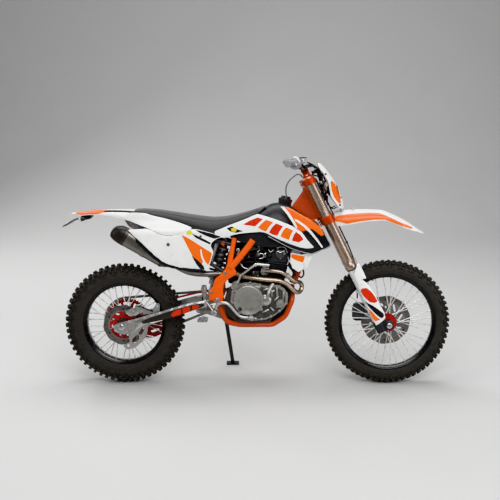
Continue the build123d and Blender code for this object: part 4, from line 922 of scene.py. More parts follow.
rim_loop = [j for j in range(m)] + [i * m + m - 1 for i in range(1, nx + 1)] + \
           [nx * m + j for j in range(m - 2, -1, -1)] + [i * m for i in range(nx - 1, 0, -1)]
for a, b in zip(rim_loop, rim_loop[1:] + rim_loop[:1]):
    sp.f.append((a, b, b + half_n, a + half_n))
    sp.m.append(0)
sp.out("front_fender_shell", "white", "steering", 60, ["front_fender"])
f_orange = [(335.0, 217.4), (341, 215.6), (350, 214.2), (360, 213.4), (370, 213.0), (379, 213.3), (386, 215.6), (392, 218.4),
            (400, 222.2), (408, 225.4), (413.6, 228.0), (412, 229.2), (403, 226.4), (394, 223.0), (385, 219.5), (374, 219.6),
            (362, 221.0), (353, 222.6), (347.5, 224.0), (342, 222.4), (335.4, 221.4)]
for sgn, label in ((-1, "right"), (1, "left")):
    sp = Soup()
    panel(sp, rounded(PX(f_orange, -82), 5), lambda x, z: sgn * (fender_y(x, z) + 1.0), 1.4, 10, 0, 0.3)
    sp.out("front_fender_band_" + label, "orange", "steering", 50)
sp = Soup()
for x in (476, 540):
    for y in (-30, 30):
        cyl(sp, (x, y, lerp(F_TOP, x) - 2), (x, y, lerp(F_TOP, x) + 4.5), 6, 14, bev=1)
sp.out("front_fender_bolts", "bolt", "steering", 30)

# number plate mask with lamp
M_F = smooth_tab([(983, 491), (1027, 483), (1082, 466), (1126, 441), (1168, 413), (1203, 386), (1231, 358)], 5)
M_R = smooth_tab([(983, 466), (1018, 439), (1050, 418), (1088, 409), (1120, 403), (1141, 395), (1182, 372), (1200, 358),
                  (1231, 345)], 5)
M_W = smooth_tab([(983, 60), (1010, 76), (1050, 88), (1090, 98), (1130, 104), (1180, 98), (1215, 80), (1231, 52)], 5)


def mask_pt(z, t, off=0.0):
    xf_, xr_, w = lerp(M_F, z), lerp(M_R, z), lerp(M_W, z)
    return Vector((xf_ - (xf_ - xr_) * abs(t) ** 2.1 - off, (w - off * 0.6) * t, z))


def mask_y(x, z):
    xf_, xr_, w = lerp(M_F, z), lerp(M_R, z), lerp(M_W, z)
    return w * min(1.0, max(0.0, (xf_ - x) / (xf_ - xr_))) ** (1 / 2.1)


LAMP = (1040, 1108, 56)
sp = Soup()
nz, ntt = 40, 40
keep = {}
for layer, off in enumerate((0.0, 4.0)):
    for i in range(nz + 1):
        z = 985 + (1230 - 985) * i / nz
        for j in range(ntt + 1):
            keep[(layer, i, j)] = len(sp.v)
            sp.v.append(mask_pt(z, -1 + 2 * j / ntt, off))


def lamp_hole(i, j):
    z = 985 + (1230 - 985) * (i + 0.5) / nz
    t = -1 + 2 * (j + 0.5) / ntt
    return ((z - 1074) / 36.0) ** 4 + (t * lerp(M_W, z) / 54.0) ** 4 < 1


cells = {(i, j) for i in range(nz) for j in range(ntt) if not lamp_hole(i, j)}
for (i, j) in cells:
    for layer in (0, 1):
        q = (keep[(layer, i, j)], keep[(layer, i, j + 1)], keep[(layer, i + 1, j + 1)], keep[(layer, i + 1, j)])
        sp.f.append(q if layer == 0 else q[::-1])
        sp.m.append(0)
    for (di, dj, a, b) in ((-1, 0, (0, 0), (0, 1)), (1, 0, (1, 1), (1, 0)), (0, -1, (1, 0), (0, 0)), (0, 1, (0, 1), (1, 1))):
        if (i + di, j + dj) not in cells:
            p, q = (i + a[0], j + a[1]), (i + b[0], j + b[1])
            sp.f.append((keep[(0, *p)], keep[(0, *q)], keep[(1, *q)], keep[(1, *p)]))
            sp.m.append(0)
sp.out("mask_shell", "white", "steering", 60, ["headlight_mask"])
mask_orange = [(330.4, 181.8), (332.6, 181.0), (336.2, 184.6), (338.8, 189.6), (340.4, 195.4), (341.6, 203.4),
               (339.4, 203.6), (336.6, 200.6), (333.8, 196.6), (331.8, 190.4)]
for sgn, label in ((-1, "right"), (1, "left")):
    sp = Soup()
    poly_o = [(min(x, lerp(M_F, z) - 2.5), z) for x, z in rounded(PX(mask_orange, -84), 4)]
    panel(sp, poly_o, lambda x, z: sgn * (mask_y(x, z) + 1.0), 1.4, 8, 0, 0.2)
    sp.out("mask_band_" + label, "orange", "steering", 50)
sp = Soup()
nl = 24
vs, fs = [], []
for r_i in range(9):
    for a_i in range(36):
        a = 2 * pi * a_i / 36
        ca, sa = math.cos(a), math.sin(a)
        k = (abs(ca) ** 4 + abs(sa) ** 4) ** -0.25 * r_i / 8
        y, dz = 54 * ca * k, 35 * sa * k
        vs.append(mask_pt(1074 + dz, y / lerp(M_W, 1074 + dz), 5.0) - Vector((2.0 * (r_i / 8) ** 4, 0, 0)))
for r_i in range(8):
    for a_i in range(36):
        fs.append((r_i * 36 + a_i, r_i * 36 + (a_i + 1) % 36, (r_i + 1) * 36 + (a_i + 1) % 36, (r_i + 1) * 36 + a_i))
sp.add(vs, fs, 0)
ring = [mask_pt(1074 + 35 * math.sin(a) * (abs(math.cos(a)) ** 4 + abs(math.sin(a)) ** 4) ** -0.25,
                54 * math.cos(a) * (abs(math.cos(a)) ** 4 + abs(math.sin(a)) ** 4) ** -0.25 / lerp(M_W, 1074), 2.0)
        for a in [2 * pi * i / 48 for i in range(48)]]
tube(sp, ring, 2.6, 8, 1, closed=True)
for k in range(5):
    y = -32 + 16 * k
    tube(sp, [mask_pt(z, y / lerp(M_W, z), 4.0) for z in (1044, 1058, 1074, 1090, 1104)], 1.1, 6, 0)
sp.out("lamp_glass", "lens", "steering", 50, ["headlight"], ["black"])
sp = Soup()
vs = []
for i, (x, hw, z0, z1) in enumerate(((456, 52, 1042, 1106), (438, 50, 1040, 1108), (418, 46, 1044, 1106), (404, 36, 1052, 1100),
                                     (396, 18, 1064, 1090))):
    for a_i in range(28):
        a = 2 * pi * a_i / 28
        ca, sa = math.cos(a), math.sin(a)
        k = (abs(ca) ** 3.2 + abs(sa) ** 3.2) ** (-1 / 3.2)
        vs.append((x - 4 * sa, hw * ca * k, (z0 + z1) / 2 + (z1 - z0) / 2 * sa * k))
fs = [(i * 28 + j, i * 28 + (j + 1) % 28, (i + 1) * 28 + (j + 1) % 28, (i + 1) * 28 + j) for i in range(4) for j in range(28)]
fs += [tuple(range(28))[::-1], tuple(4 * 28 + j for j in range(28))]
sp.add(vs, fs, 0)
lathe(sp, (398, 0, 1077), (-1, 0, 0), [(0, 17), (5, 17), (6, 13), (18, 12), (19, 10)], 24, 0)
for s_ in (-1, 1):
    tube(sp, catmull([S(43, s_ * 30, 0), S(60, s_ * 34, -12), (372, s_ * 36, 1072), (410, s_ * 40, 1078)], 6), 4.5, 10, 0)
    tube(sp, catmull([(386, s_ * 34, 1076), (372, s_ * 52, 1110), (362, s_ * 74, 1160), (372, s_ * 88, 1172)], 6), 3.2, 8, 0)
    tube(sp, catmull([(398, s_ * 34, 1052), (400, s_ * 44, 1010), (424, s_ * 52, 984), (447, s_ * 56, 992)], 6), 3.2, 8, 0)
sp.out("lamp_body", "dark_paint", "steering", 40)
sp = Soup()
for s_ in (-1, 1):
    lathe(sp, mask_pt(1172, s_ * 0.93, -0.5), (0.55, s_ * 0.8, 0), [(-4, 5), (1.5, 6.5), (3, 5.5), (3.4, 2)], 16)
    lathe(sp, mask_pt(1004, s_ * 0.8, -0.5), (0.75, s_ * 0.6, -0.1), [(-4, 5), (1.5, 6), (3, 5), (3.4, 2)], 16)
sp.out("mask_studs", "rubber", "steering", 30)

# fork legs
LEG = 22.0
for s_, label in ((-1, "right"), (1, "left")):
    v = s_ * 100.0
    d = (S(LEG, v, -100) - S(LEG, v, 0)).normalized()
    top = S(LEG, v, 26)

    def wv(w):
        return 26 - w
    sp = Soup()
    w_end = -528.0
    prof = [(wv(24), 26.5), (wv(22), 28.6), (wv(16), 29.4), (wv(-20), 29.4), (wv(-24), 28.2), (wv(-200), 28.6), (wv(-204), 29.4),
            (wv(-256), 29.4), (wv(-262), 28.8), (wv(-470), 30.0), (wv(w_end + 34), 30.0), (wv(w_end + 30), 32.0),
            (wv(w_end + 8), 32.4), (wv(w_end + 3), 31.4), (wv(w_end), 29.0), (wv(w_end), 25.5)]
    lathe(sp, top, d, prof, 48, 0)
    lathe(sp, top, d, [(wv(w_end + 1), 27.5), (wv(w_end - 5), 27.5), (wv(w_end - 7), 25.0)], 40, 2)
    lathe(sp, top, d, [(-7.5, 8), (-7, 11.5), (-1.5, 12), (-1, 23), (1, 25.2), (wv(22), 26.4)], 36, 1)
    cyl(sp, top - d * 11, top - d * 7, 7, 6, 3)
    sp.out("fork_outer_" + label, "bronze", "steering", 35, ["fork_tubes"] if s_ < 0 else (), ["clamp", "rubber", "bolt"])
    sp = Soup()
    lathe(sp, top, d, [(wv(w_end), 24.0), (wv(-858), 24.0), (wv(-862), 26.8), (wv(-880), 27.2), (wv(-884), 24)], 40, 0)
    sp.out("fork_slider_" + label, "spoke", "steering", 40, ["fork_sliders"] if s_ < 0 else ())
    sp = Soup()
    lathe(sp, top, d, [(wv(-846), 24.6), (wv(-849), 27.6), (wv(-902), 28.2), (wv(-914), 25), (wv(-918), 12)], 36, 0)
    lathe(sp, (XF, v - 17.5, ZF), (0, 1, 0), [(0, 22), (2, 25.6), (33, 25.6), (35, 22)], 40, 0)
    a_, b_ = S(LEG - 4, v, -872), Vector((XF, v, ZF))
    for w_, f_ in ((14, 1.0),):
        e = (b_ - a_)
        n_ = Vector((-e.z, 0, e.x)).normalized()
        vs = []
        for t_, hw in ((0.0, 27), (0.5, 29), (1.0, 25)):
            c = a_ + e * t_
            for sy in (-14.5, 14.5):
                vs += [c + n_ * hw + Vector((0, sy, 0)), c - n_ * hw + Vector((0, sy, 0))]
        fs = []
        for k_ in (0, 4):
            fs += [(k_, k_ + 1, k_ + 5, k_ + 4), (k_ + 2, k_ + 6, k_ + 7, k_ + 3), (k_, k_ + 4, k_ + 6, k_ + 2),
                   (k_ + 1, k_ + 3, k_ + 7, k_ + 5)]
        fs += [(0, 2, 3, 1), (8, 9, 11, 10)]
        sp.add(vs, fs, 0)
    for k_ in (-1, 1):
        q = Vector((XF - 6, v + 10 * k_, ZF - 24.5))
        cyl(sp, q + Vector((0, 0, 4)), q - Vector((0, 0, 4)), 4.2, 12, 1)
    sp.out("fork_lug_" + label, "dark_paint", "steering", 35, (), ["bolt"])

sp = Soup()
lathe(sp, (XF, -128.5, ZF), (0, 1, 0), [(0, 7), (0, 11), (1.5, 13.6), (12, 13.6), (13, 10.4), (240, 10.0), (241, 15), (252, 16.6),
                                        (256, 16.6), (257, 9)], 40, 0)
sp.out("front_axle_shape", "bolt", "steering", 35)
guard_px = [(354.0, 275.0), (357.6, 263.6), (359.6, 263.8), (361.6, 267.6), (364.0, 272.6), (366.6, 278.6), (362.2, 279.6),
            (365.6, 282.2), (370, 286.4), (372.6, 290.8), (376, 295.8), (379, 302.6), (382.2, 308.6), (384.6, 313.2),
            (385.8, 318.6), (382.2, 321.8), (376.2, 325.8), (373.6, 320.6), (370.6, 313.4), (367.6, 306.4), (363.6, 298.4),
            (360.2, 290.6), (357.2, 282.6)]


def guard_y(x, z):
    a = S(LEG, 0, -520)
    u_ = (x - a.x) * CE + (z - a.z) * SE
    return 139 - 0.0045 * (u_ - 4) ** 2


g_red = [(360.6, 291.0), (362.0, 288.6), (366.8, 288.2), (371.2, 291.6), (374.4, 295.6), (378.0, 301.6), (374.8, 303.0),
         (370.0, 302.2), (366.6, 299.2), (363.2, 295.6)]
g_black = [(364.4, 300.8), (367.8, 303.2), (373.0, 305.8), (378.4, 309.6), (383.4, 313.4), (384.6, 315.8), (382.2, 318.6),
           (378.6, 316.6), (373.2, 311.6), (368.4, 306.2)]
g_org = [(368.6, 309.0), (371.6, 311.2), (375.4, 315.6), (378.4, 318.6), (380.6, 319.4), (375.6, 321.4), (373.0, 318.6), (370.6, 313.8)]
for sgn, label in ((-1, "right"), (1, "left")):
    for i_, (nm, pts, mat, t, lift, edge, rad) in enumerate((
            ("base", guard_px, "white", 4, 0.0, 3.0, 5), ("red", g_red, "graphic_red", 1.2, 0.9, 0.3, 3),
            ("black", g_black, "graphic_black", 1.2, 0.9, 0.3, 2), ("orange", g_org, "orange", 1.2, 0.9, 0.3, 2))):
        sp = Soup()
        panel(sp, rounded(PX(pts, -137), rad), lambda x, z, l=lift: sgn * (guard_y(x, z) + l - 3), t, 9, 0, edge, 6)
        if i_ == 0:
            for w_ in (-560, -640, -820):
                p_ = S(LEG + 2, sgn * 128, w_)
                cyl(sp, p_, p_ + Vector((0, sgn * (5 if w_ != -820 else 5), 0)), 7, 14)
        sp.out("fork_guard_" + nm + "_" + label, mat, "steering", 45, ["fork_guards"] if (i_ == 0 and sgn < 0) else ())
sp = Soup()
for w0 in (0.0, -230.0):
    for s_ in (-1, 1):
        for k_ in ((-9, 9) if w0 == 0 else (-14, 0, 14)):
            p_ = S(LEG - 46, s_ * 76, w0 + k_)
            q_ = S(LEG - 46, s_ * 106, w0 + k_)
            cyl(sp, p_, q_, 4.6, 10)
            hexbolt(sp, q_, q_ - p_, 4.2, 6)
lathe(sp, S(0, 0, 24), S(0, 0, 100) - S(0, 0, 0), [(0, 15), (6, 15), (8, 12), (9, 8), (9, 5)], 6)
sp.out("clamp_bolts", "bolt", "steering", 30)

# ------------------------------------------------------------------ seat, tank, rear fender, tail
def shell(sp, X, top, low, width, y0=0.0, n=40, p=2.6, mi=0, thick=None, closed_low=True):
    """Body of stations along X with a rounded crown; thick makes it an open shell."""
    layers = [(0.0, 0.0)] + ([(-thick, -thick)] if thick else [])
    start = len(sp.v)
    m = n + 1
    for dw, dz in layers:
        vs, fs = [], []
        for x in X:
            zt, zl, w = top(x) + dz, low(x), max(0.5, width(x) + dw)
            for j in range(m):
                f = -pi / 2 + pi * j / n
                sy, cz = math.sin(f), math.cos(f)
                y = w * math.copysign(abs(sy) ** (2 / p), sy)
                vs.append((x, y0 + y, zl + (zt - zl) * abs(cz) ** (2 / p)))
        for i in range(len(X) - 1):
            for j in range(n):
                fs.append((i * m + j, i * m + j + 1, (i + 1) * m + j + 1, (i + 1) * m + j))
        if not thick:
            for i in range(len(X) - 1):
                fs.append((i * m, (i + 1) * m, (i + 1) * m + n, i * m + n))
            fs += [tuple(range(m)), tuple((len(X) - 1) * m + j for j in range(m))]
        sp.add(vs, fs, mi)
    if thick:
        k = len(X) * m
        loop = [j for j in range(m)] + [i * m + n for i in range(1, len(X))] + \
               [(len(X) - 1) * m + j for j in range(n - 1, -1, -1)] + [i * m for i in range(len(X) - 2, 0, -1)]
        for a, b in zip(loop, loop[1:] + loop[:1]):
            sp.f.append((start + a, start + b, start + b + k, start + a + k))
            sp.m.append(mi)


def tab(pts, y):
    t = sorted(PX(pts, y))
    return smooth_tab(t, 5)


SEAT_T = tab([(136, 208.6), (143, 208.4), (150, 208.6), (160, 209.4), (170, 210.8), (180, 212.2), (190, 213.8), (200, 215.2),
              (210, 216.4), (220, 216.4), (230, 215.2), (240, 213.0), (250, 210.2), (257, 208.0), (265.5, 205.2)], 0)
SEAT_L = tab([(134.5, 211.8), (145, 213.8), (153, 216.4), (161, 218.9), (170, 221.0), (180, 224.4), (190, 227.4), (200, 230.2),
              (213, 232.6), (220, 231.6), (235, 225), (245, 221), (255, 217), (266, 206.2)], -84)
SEAT_W = smooth_tab([(-690, 60), (-670, 76), (-600, 82), (-480, 92), (-330, 103), (-200, 104), (-90, 92), (0, 72), (70, 58), (96, 52)], 5)
sp = Soup()
sx0, sx1 = max(SEAT_T[0][0], SEAT_L[0][0]) - 2, min(SEAT_T[-1][0], SEAT_L[-1][0]) - 3
SX = [sx0 + (sx1 - sx0) * i / 84 for i in range(85)]


def seat_top(x):
    return lerp(SEAT_T, x) - 2


def seat_low(x):
    return min(lerp(SEAT_L, x), seat_top(x) - 3)


shell(sp, SX, seat_top, seat_low, lambda x: lerp(SEAT_W, x), n=56, p=3.3)
seat_obj = sp.out("seat_cushion", "seat", "chassis", 60, ["seat"])
sp = Soup()


def seat_side(x, a):
    """Point on the seat's surface at crown angle a."""
    zt, zl, w = seat_top(x), seat_low(x), lerp(SEAT_W, x)
    sy, cz = math.sin(a), math.cos(a)
    return Vector((x, w * math.copysign(abs(sy) ** (2 / 3.3), sy), zl + (zt - zl) * abs(cz) ** (2 / 3.3)))


for s_ in (-1, 1):
    tube(sp, [seat_side(x, s_ * 0.80) for x in SX[3:-4]], 1.5, 8, 0)
    tube(sp, [seat_side(x, s_ * 1.46) for x in SX[2:-3]], 1.8, 8, 0)
seams = sp.out("seat_piping", "black", "chassis", 50)

TANK_T = smooth_tab([(-132, 842), (-100, 884), (-70, 914), (-20, 946), (20, 968), (50, 988), (84, 1007), (110, 1013), (140, 1014),
                     (172, 1008), (206, 996), (232, 972)], 5)
TANK_L = smooth_tab([(-132, 830), (-60, 802), (3, 790), (84, 780), (150, 790), (196, 860), (232, 950)], 5)
TANK_W = smooth_tab([(-132, 88), (-60, 106), (20, 114), (100, 115), (170, 108), (206, 96), (232, 78)], 5)
sp = Soup()
TX = [-132 + 364 * i / 44 for i in range(45)]
shell(sp, TX, lambda x: lerp(TANK_T, x) - 1, lambda x: lerp(TANK_L, x), lambda x: lerp(TANK_W, x), n=48, p=3.0)
sp.out("tank_shell", "black", "chassis", 60, ["tank"])
cap_at = Vector((139, 0, 1010))

# rear fender
RF_T = tab([(74.5, 212.3), (80, 211.2), (86, 210.6), (92, 210.0), (98, 209.5), (106, 209.1), (115, 208.9), (125, 208.9),
            (135, 209.4), (142, 211.0), (150, 213.6)], 0)
RF_L = tab([(74.0, 213.0), (77, 214.9), (80, 215.9), (86, 215.3), (92, 215.0), (100, 214.9), (108, 215.8), (115, 217.0), (122, 218.6),
            (128, 220.2), (136, 222.6), (145, 225.4)], -84)
RF_W = smooth_tab([(-1020, 20), (-1008, 40), (-990, 58), (-950, 71), (-900, 82), (-820, 91), (-740, 96), (-660, 97), (-600, 97)], 5)
sp = Soup()
rx0, rx1 = -1014.0, -610.0
RXS = [rx0 + (rx1 - rx0) * i / 56 for i in range(57)]
shell(sp, RXS, lambda x: lerp(RF_T, x) - 2, lambda x: min(lerp(RF_L, x), lerp(RF_T, x) - 6), lambda x: lerp(RF_W, x), n=44,
      p=3.4, thick=4)
sp.out("rear_fender_shell", "white", "chassis", 60, ["rear_fender"])


def rf_y(x, z):
    zt, zl, w = lerp(RF_T, x) - 2, lerp(RF_L, x), lerp(RF_W, x)
    h = max(0.0, min(0.995, (z - zl) / max(3.0, zt - zl)))
    return w * (1 - h ** 3.4) ** (1 / 3.4)


def fender_band(name, mat, xs, lo, hi, off, sgn, n=14):
    """Thin layer on the rear fender between two angles from its crest, both given at each station."""
    sp = Soup()
    vs = []
    for x in xs:
        zt, zl, w = lerp(RF_T, x) - 2, min(lerp(RF_L, x), lerp(RF_T, x) - 6), lerp(RF_W, x)
        a0, a1 = lo(x), hi(x)
        for j in range(n + 1):
            f = a0 + (a1 - a0) * j / n
            sy, cz = math.sin(f), math.cos(f)
            y = w * abs(sy) ** (2 / 3.4)
            z = zl + (zt - zl) * abs(cz) ** (2 / 3.4)
            ny, nz = (abs(y) / w) ** 2.4 / w, (max(0.0, (z - zl) / (zt - zl))) ** 2.4 / (zt - zl)
            q = math.hypot(ny, nz) or 1.0
            vs.append(Vector((x, sgn * (y + off * ny / q), z + off * nz / q)))
    m = n + 1
    sp.add(vs, [(i * m + j, i * m + j + 1, (i + 1) * m + j + 1, (i + 1) * m + j) for i in range(len(xs) - 1) for j in range(n)])
    sp.out(name, mat, "chassis", 60)


fx = lambda q: PX([(q, 212)], -84)[0][0]
line_z = tab([(102, 212.0), (108, 211.5), (116, 211.5), (126, 211.8), (137, 212.8), (148, 214.6)], -84)


def line_f(x, dz):
    zt, zl = lerp(RF_T, x) - 2, min(lerp(RF_L, x), lerp(RF_T, x) - 6)
    h = max(0.02, min(0.98, (lerp(line_z, x) + dz - zl) / (zt - zl)))
    return math.acos(h ** 1.7)


ox0, ox1, ox2 = fx(74.8), fx(97), fx(109)
for sgn, label in ((-1, "right"), (1, "left")):
    fender_band("rear_fender_orange_" + label, "orange", [ox0 + (ox2 - ox0) * i / 30 for i in range(31)],
                lambda x: 0.18 + 0.25 * sm((x - ox1) / (ox2 - ox1)), lambda x: 1.50 - 0.62 * sm((x - ox1) / (ox2 - ox1)), 1.1, sgn)
    lx0, lx1 = fx(104), fx(148)
    fender_band("rear_fender_line_" + label, "graphic_black", [lx0 + (lx1 - lx0) * i / 40 for i in range(41)],
                lambda x: line_f(x, 4.0), lambda x: line_f(x, -4.0), 1.3, sgn, 6)
sp = Soup()
path = [(-962, 930), (-990, 926), (-1016, 914), (-1040, 899), (-1062, 887)]
pc = catmull([Vector((a, 0, b)) for a, b in path], 5)
for side in (0,):
    vs, fs = [], []
    for i, p_ in enumerate(pc):
        w_ = 26 + 24 * sm(i / (len(pc) - 1) * 1.6)
        d_ = (pc[min(i + 1, len(pc) - 1)] - pc[max(i - 1, 0)]).normalized()
        n_ = Vector((d_.z, 0, -d_.x)) * 1.6
        vs += [p_ + n_ + Vector((0, -w_, 0)), p_ + n_ + Vector((0, w_, 0)), p_ - n_ + Vector((0, w_, 0)), p_ - n_ + Vector((0, -w_, 0))]
    for i in range(len(pc) - 1):
        b, c = i * 4, i * 4 + 4
        for j in range(4):
            fs.append((b + j, c + j, c + (j + 1) % 4, b + (j + 1) % 4))
    fs += [(0, 1, 2, 3), (len(vs) - 4, len(vs) - 3, len(vs) - 2, len(vs) - 1)]
    sp.add(vs, fs, 0)
for s_ in (-1, 1):
    tube(sp, [p_ + Vector((0, s_ * 30, 3.2)) for p_ in pc], 2.4, 8, 0)
    hexbolt(sp, Vector((-1040, s_ * 30, 905)), (-0.3, 0, 1), 4, 4, 1)
sp.out("plate_carrier", "dark_paint", "chassis", 35, (), ["bolt"])
sp = Soup()
vs = []
for (x, hw, z0, z1) in ((-906, 30, 936, 952), (-916, 38, 927, 957), (-946, 40, 921, 960), (-957, 36, 924, 957)):
    for a_i in range(24):
        a = 2 * pi * a_i / 24
        ca, sa = math.cos(a), math.sin(a)
        k = (abs(ca) ** 4 + abs(sa) ** 4) ** -0.25
        vs.append((x, hw * ca * k, (z0 + z1) / 2 + (z1 - z0) / 2 * sa * k))
fs = [(i * 24 + j, i * 24 + (j + 1) % 24, (i + 1) * 24 + (j + 1) % 24, (i + 1) * 24 + j) for i in range(3) for j in range(24)]
fs += [tuple(range(24))[::-1]]
sp.add(vs, fs, 0)
vs2 = []
for (x, k0) in ((-955, 0.97), (-961, 0.9), (-964, 0.6), (-965, 0.0)):
    for a_i in range(24):
        a = 2 * pi * a_i / 24
        ca, sa = math.cos(a), math.sin(a)
        k = (abs(ca) ** 4 + abs(sa) ** 4) ** -0.25 * k0
        vs2.append((x, 36 * ca * k, 940.5 + 16.5 * sa * k))
fs2 = [(i * 24 + j, i * 24 + (j + 1) % 24, (i + 1) * 24 + (j + 1) % 24, (i + 1) * 24 + j) for i in range(3) for j in range(24)]
sp.add(vs2, fs2, 1)
sp.out("tail_lamp", "black", "chassis", 45, ["tail_light"], ["red_lens"])
for s_, label in ((-1, "right"), (1, "left")):
    sp = Soup()
    c = Vector((-948, s_ * 66, 932))
    tube(sp, catmull([Vector((-930, s_ * 36, 942)), Vector((-938, s_ * 48, 938)), c], 5), 4.0, 8, 0)
    lathe(sp, c + Vector((20, s_ * 3, 5)), (-1, 0, -0.25), [(0, 4), (3, 9), (10, 12), (26, 12.5)], 24, 0)
    lathe(sp, c + Vector((20, s_ * 3, 5)), (-1, 0, -0.25), [(26, 12), (32, 11), (38, 8), (41, 3)], 24, 1)
    sp.out("indicator_" + label, "dark_paint", "chassis", 45, (), ["lens"])

# ------------------------------------------------------------------ silencer
CD = Vector((-0.8625, 0, 0.506)).normalized()
C0 = Vector((-452, -128, 694))
CX = Vector((0.506, 0, 0.8625)).normalized()
CY = Vector((0, 1, 0))


def can_ring(t, a, b, p, sh=0.0, n=56):
    out = []
    for i in range(n):
        f = 2 * pi * i / n
        c_, s_ = math.cos(f), math.sin(f)
        out.append(C0 + CD * t + CX * (sh + a * math.copysign(abs(c_) ** (2 / p), c_)) + CY * (b * math.copysign(abs(s_) ** (2 / p), s_)))
    return out


def can_loft(sp, rings, mi, cap0=True, cap1=True):
    n = len(rings[0])
    vs = [p for r in rings for p in r]
    fs = [(i * n + j, i * n + (j + 1) % n, (i + 1) * n + (j + 1) % n, (i + 1) * n + j) for i in range(len(rings) - 1) for j in range(n)]
    if cap0:
        fs.append(tuple(range(n))[::-1])
    if cap1:
        fs.append(tuple((len(rings) - 1) * n + j for j in range(n)))
    sp.add(vs, fs, mi)


sp = Soup()
can_loft(sp, [can_ring(-22, 21, 21, 2), can_ring(2, 25, 24, 2), can_ring(22, 36, 31, 2.3), can_ring(46, 45, 36.5, 2.8),
              can_ring(50, 46, 37.5, 2.9), can_ring(286, 48.5, 39.5, 2.9), can_ring(292, 48.5, 39.5, 2.9)], 0)
can_loft(sp, [can_ring(42, 45.6, 37.0, 2.8), can_ring(43, 47.0, 38.4, 2.8), can_ring(56, 47.4, 38.8, 2.8), can_ring(57, 46.2, 37.6, 2.8)],
         1, False, False)
can_loft(sp, [can_ring(276, 48.2, 39.4, 2.9), can_ring(277, 49.6, 40.6, 2.9), can_ring(292, 49.6, 40.6, 2.9), can_ring(293, 48.2, 39.4, 2.9)],
         1, False, False)
for i in range(14):
    f = 2 * pi * (i + 0.5) / 14
    c_, s_ = math.cos(f), math.sin(f)
    for t_ in (284.5, 49.5):
        q = C0 + CD * t_ + CX * ((49.6 if t_ > 100 else 47.2) * math.copysign(abs(c_) ** (2 / 2.9), c_)) + \
            CY * ((40.6 if t_ > 100 else 38.6) * math.copysign(abs(s_) ** (2 / 2.9), s_))
        d_ = (CX * c_ + CY * s_).normalized()
        lathe(sp, q - d_ * 0.6, d_, [(0, 2.6), (1.2, 2.4), (1.9, 1.2)], 8, 1)
sp.out("silencer_can", "can", "chassis", 40, ["silencer"], ["can_band"])
sp = Soup()
can_loft(sp, [can_ring(290, 49.0, 40.0, 2.9), can_ring(294, 50.4, 41.0, 2.7), (can_ring(326, 48.0, 38.6, 2.6, -1)), can_ring(346, 41, 33, 2.4, -4),
              can_ring(360, 31, 26, 2.2, -8), can_ring(363, 24, 21, 2, -8), can_ring(363.5, 18.5, 18.5, 2, -8)], 0, True, False)
can_loft(sp, [can_ring(363.5, 18.5, 18.5, 2, -8), can_ring(366, 18.2, 18.2, 2, -8), can_ring(366, 15.6, 15.6, 2, -8),
              can_ring(322, 15.4, 15.4, 2, -8)], 1, False, True)
sp.out("silencer_end_cap", "can_cap", "chassis", 40, (), ["dark_steel"])
brk = [(124.4, 220.4), (128, 220.0), (133, 221.0), (141, 223.8), (150, 227.4), (149, 229.2), (141, 229.6), (133, 229.4), (128.4, 226.0)]
sp = Soup()
panel(sp, rounded(PX(brk, -112), 3), lambda x, z: -112.0, 5, 9, 0, 0.8)
for q in ((129.6, 222.4), (137.5, 226.0), (145.5, 227.6)):
    (x, z), = PX([q], -112)
    hexbolt(sp, (x, -112, z), (0, -1, 0), 5.5, 5, 1)
    lathe(sp, (x, -108, z), (0, 1, 0), [(0, 6), (22, 6)], 14, 0)
sp.out("silencer_bracket", "silver", "chassis", 35, (), ["bolt"])
sp = Soup()
band = [can_ring(150, 47.6, 38.8, 2.9), can_ring(151, 49.4, 40.6, 2.9), can_ring(172, 49.8, 41.0, 2.9), can_ring(173, 48.2, 39.2, 2.9)]
can_loft(sp, band, 0, False, False)
sp.out("silencer_strap", "can", "chassis", 40)

# ------------------------------------------------------------------ swingarm, brakes, chain
def holed(sp, outer, holes, y0, y1, mi=0, bev=0.0):
    """Flat plate in X-Z with holes, between two lateral places."""
    pts, edges = [], []
    for loop in [outer] + list(holes):
        b = len(pts)
        pts += [Vector(p) for p in loop]
        edges += [(b + i, b + (i + 1) % len(loop)) for i in range(len(loop))]
    v, _, f, _, _, _ = geometry.delaunay_2d_cdt(pts, edges, [], 1, 1e-6)
    keepf = []
    for q in f:
        c = sum((v[i] for i in q), Vector((0, 0))) / len(q)
        if inside((c.x, c.y), outer) and not any(inside((c.x, c.y), h) for h in holes):
            keepf.append(tuple(q))
    k = len(v)
    vs = [Vector((p.x, y0, p.y)) for p in v] + [Vector((p.x, y1, p.y)) for p in v]
    fs = keepf + [tuple(i + k for i in reversed(q)) for q in keepf]
    cnt = set()
    for q in keepf:
        for a, b in zip(q, q[1:] + q[:1]):
            cnt.add((a, b))
    for a, b in cnt:
        if (b, a) not in cnt:
            fs.append((a, a + k, b + k, b))
    sp.add(vs, fs, mi)


def circle_pts(cx, cz, r, n=20, ph=0.0):
    return [(cx + r * math.cos(ph + 2 * pi * i / n), cz + r * math.sin(ph + 2 * pi * i / n)) for i in range(n)]


def oval_pts(p, q, r, n=10):
    p, q = Vector(p), Vector(q)
    a0 = math.atan2((q - p).y, (q - p).x)
    out = []
    for c, s0 in ((q, a0 - pi / 2), (p, a0 + pi / 2)):
        out += [(c.x + r * math.cos(s0 + pi * i / n), c.y + r * math.sin(s0 + pi * i / n)) for i in range(n + 1)]
    return out


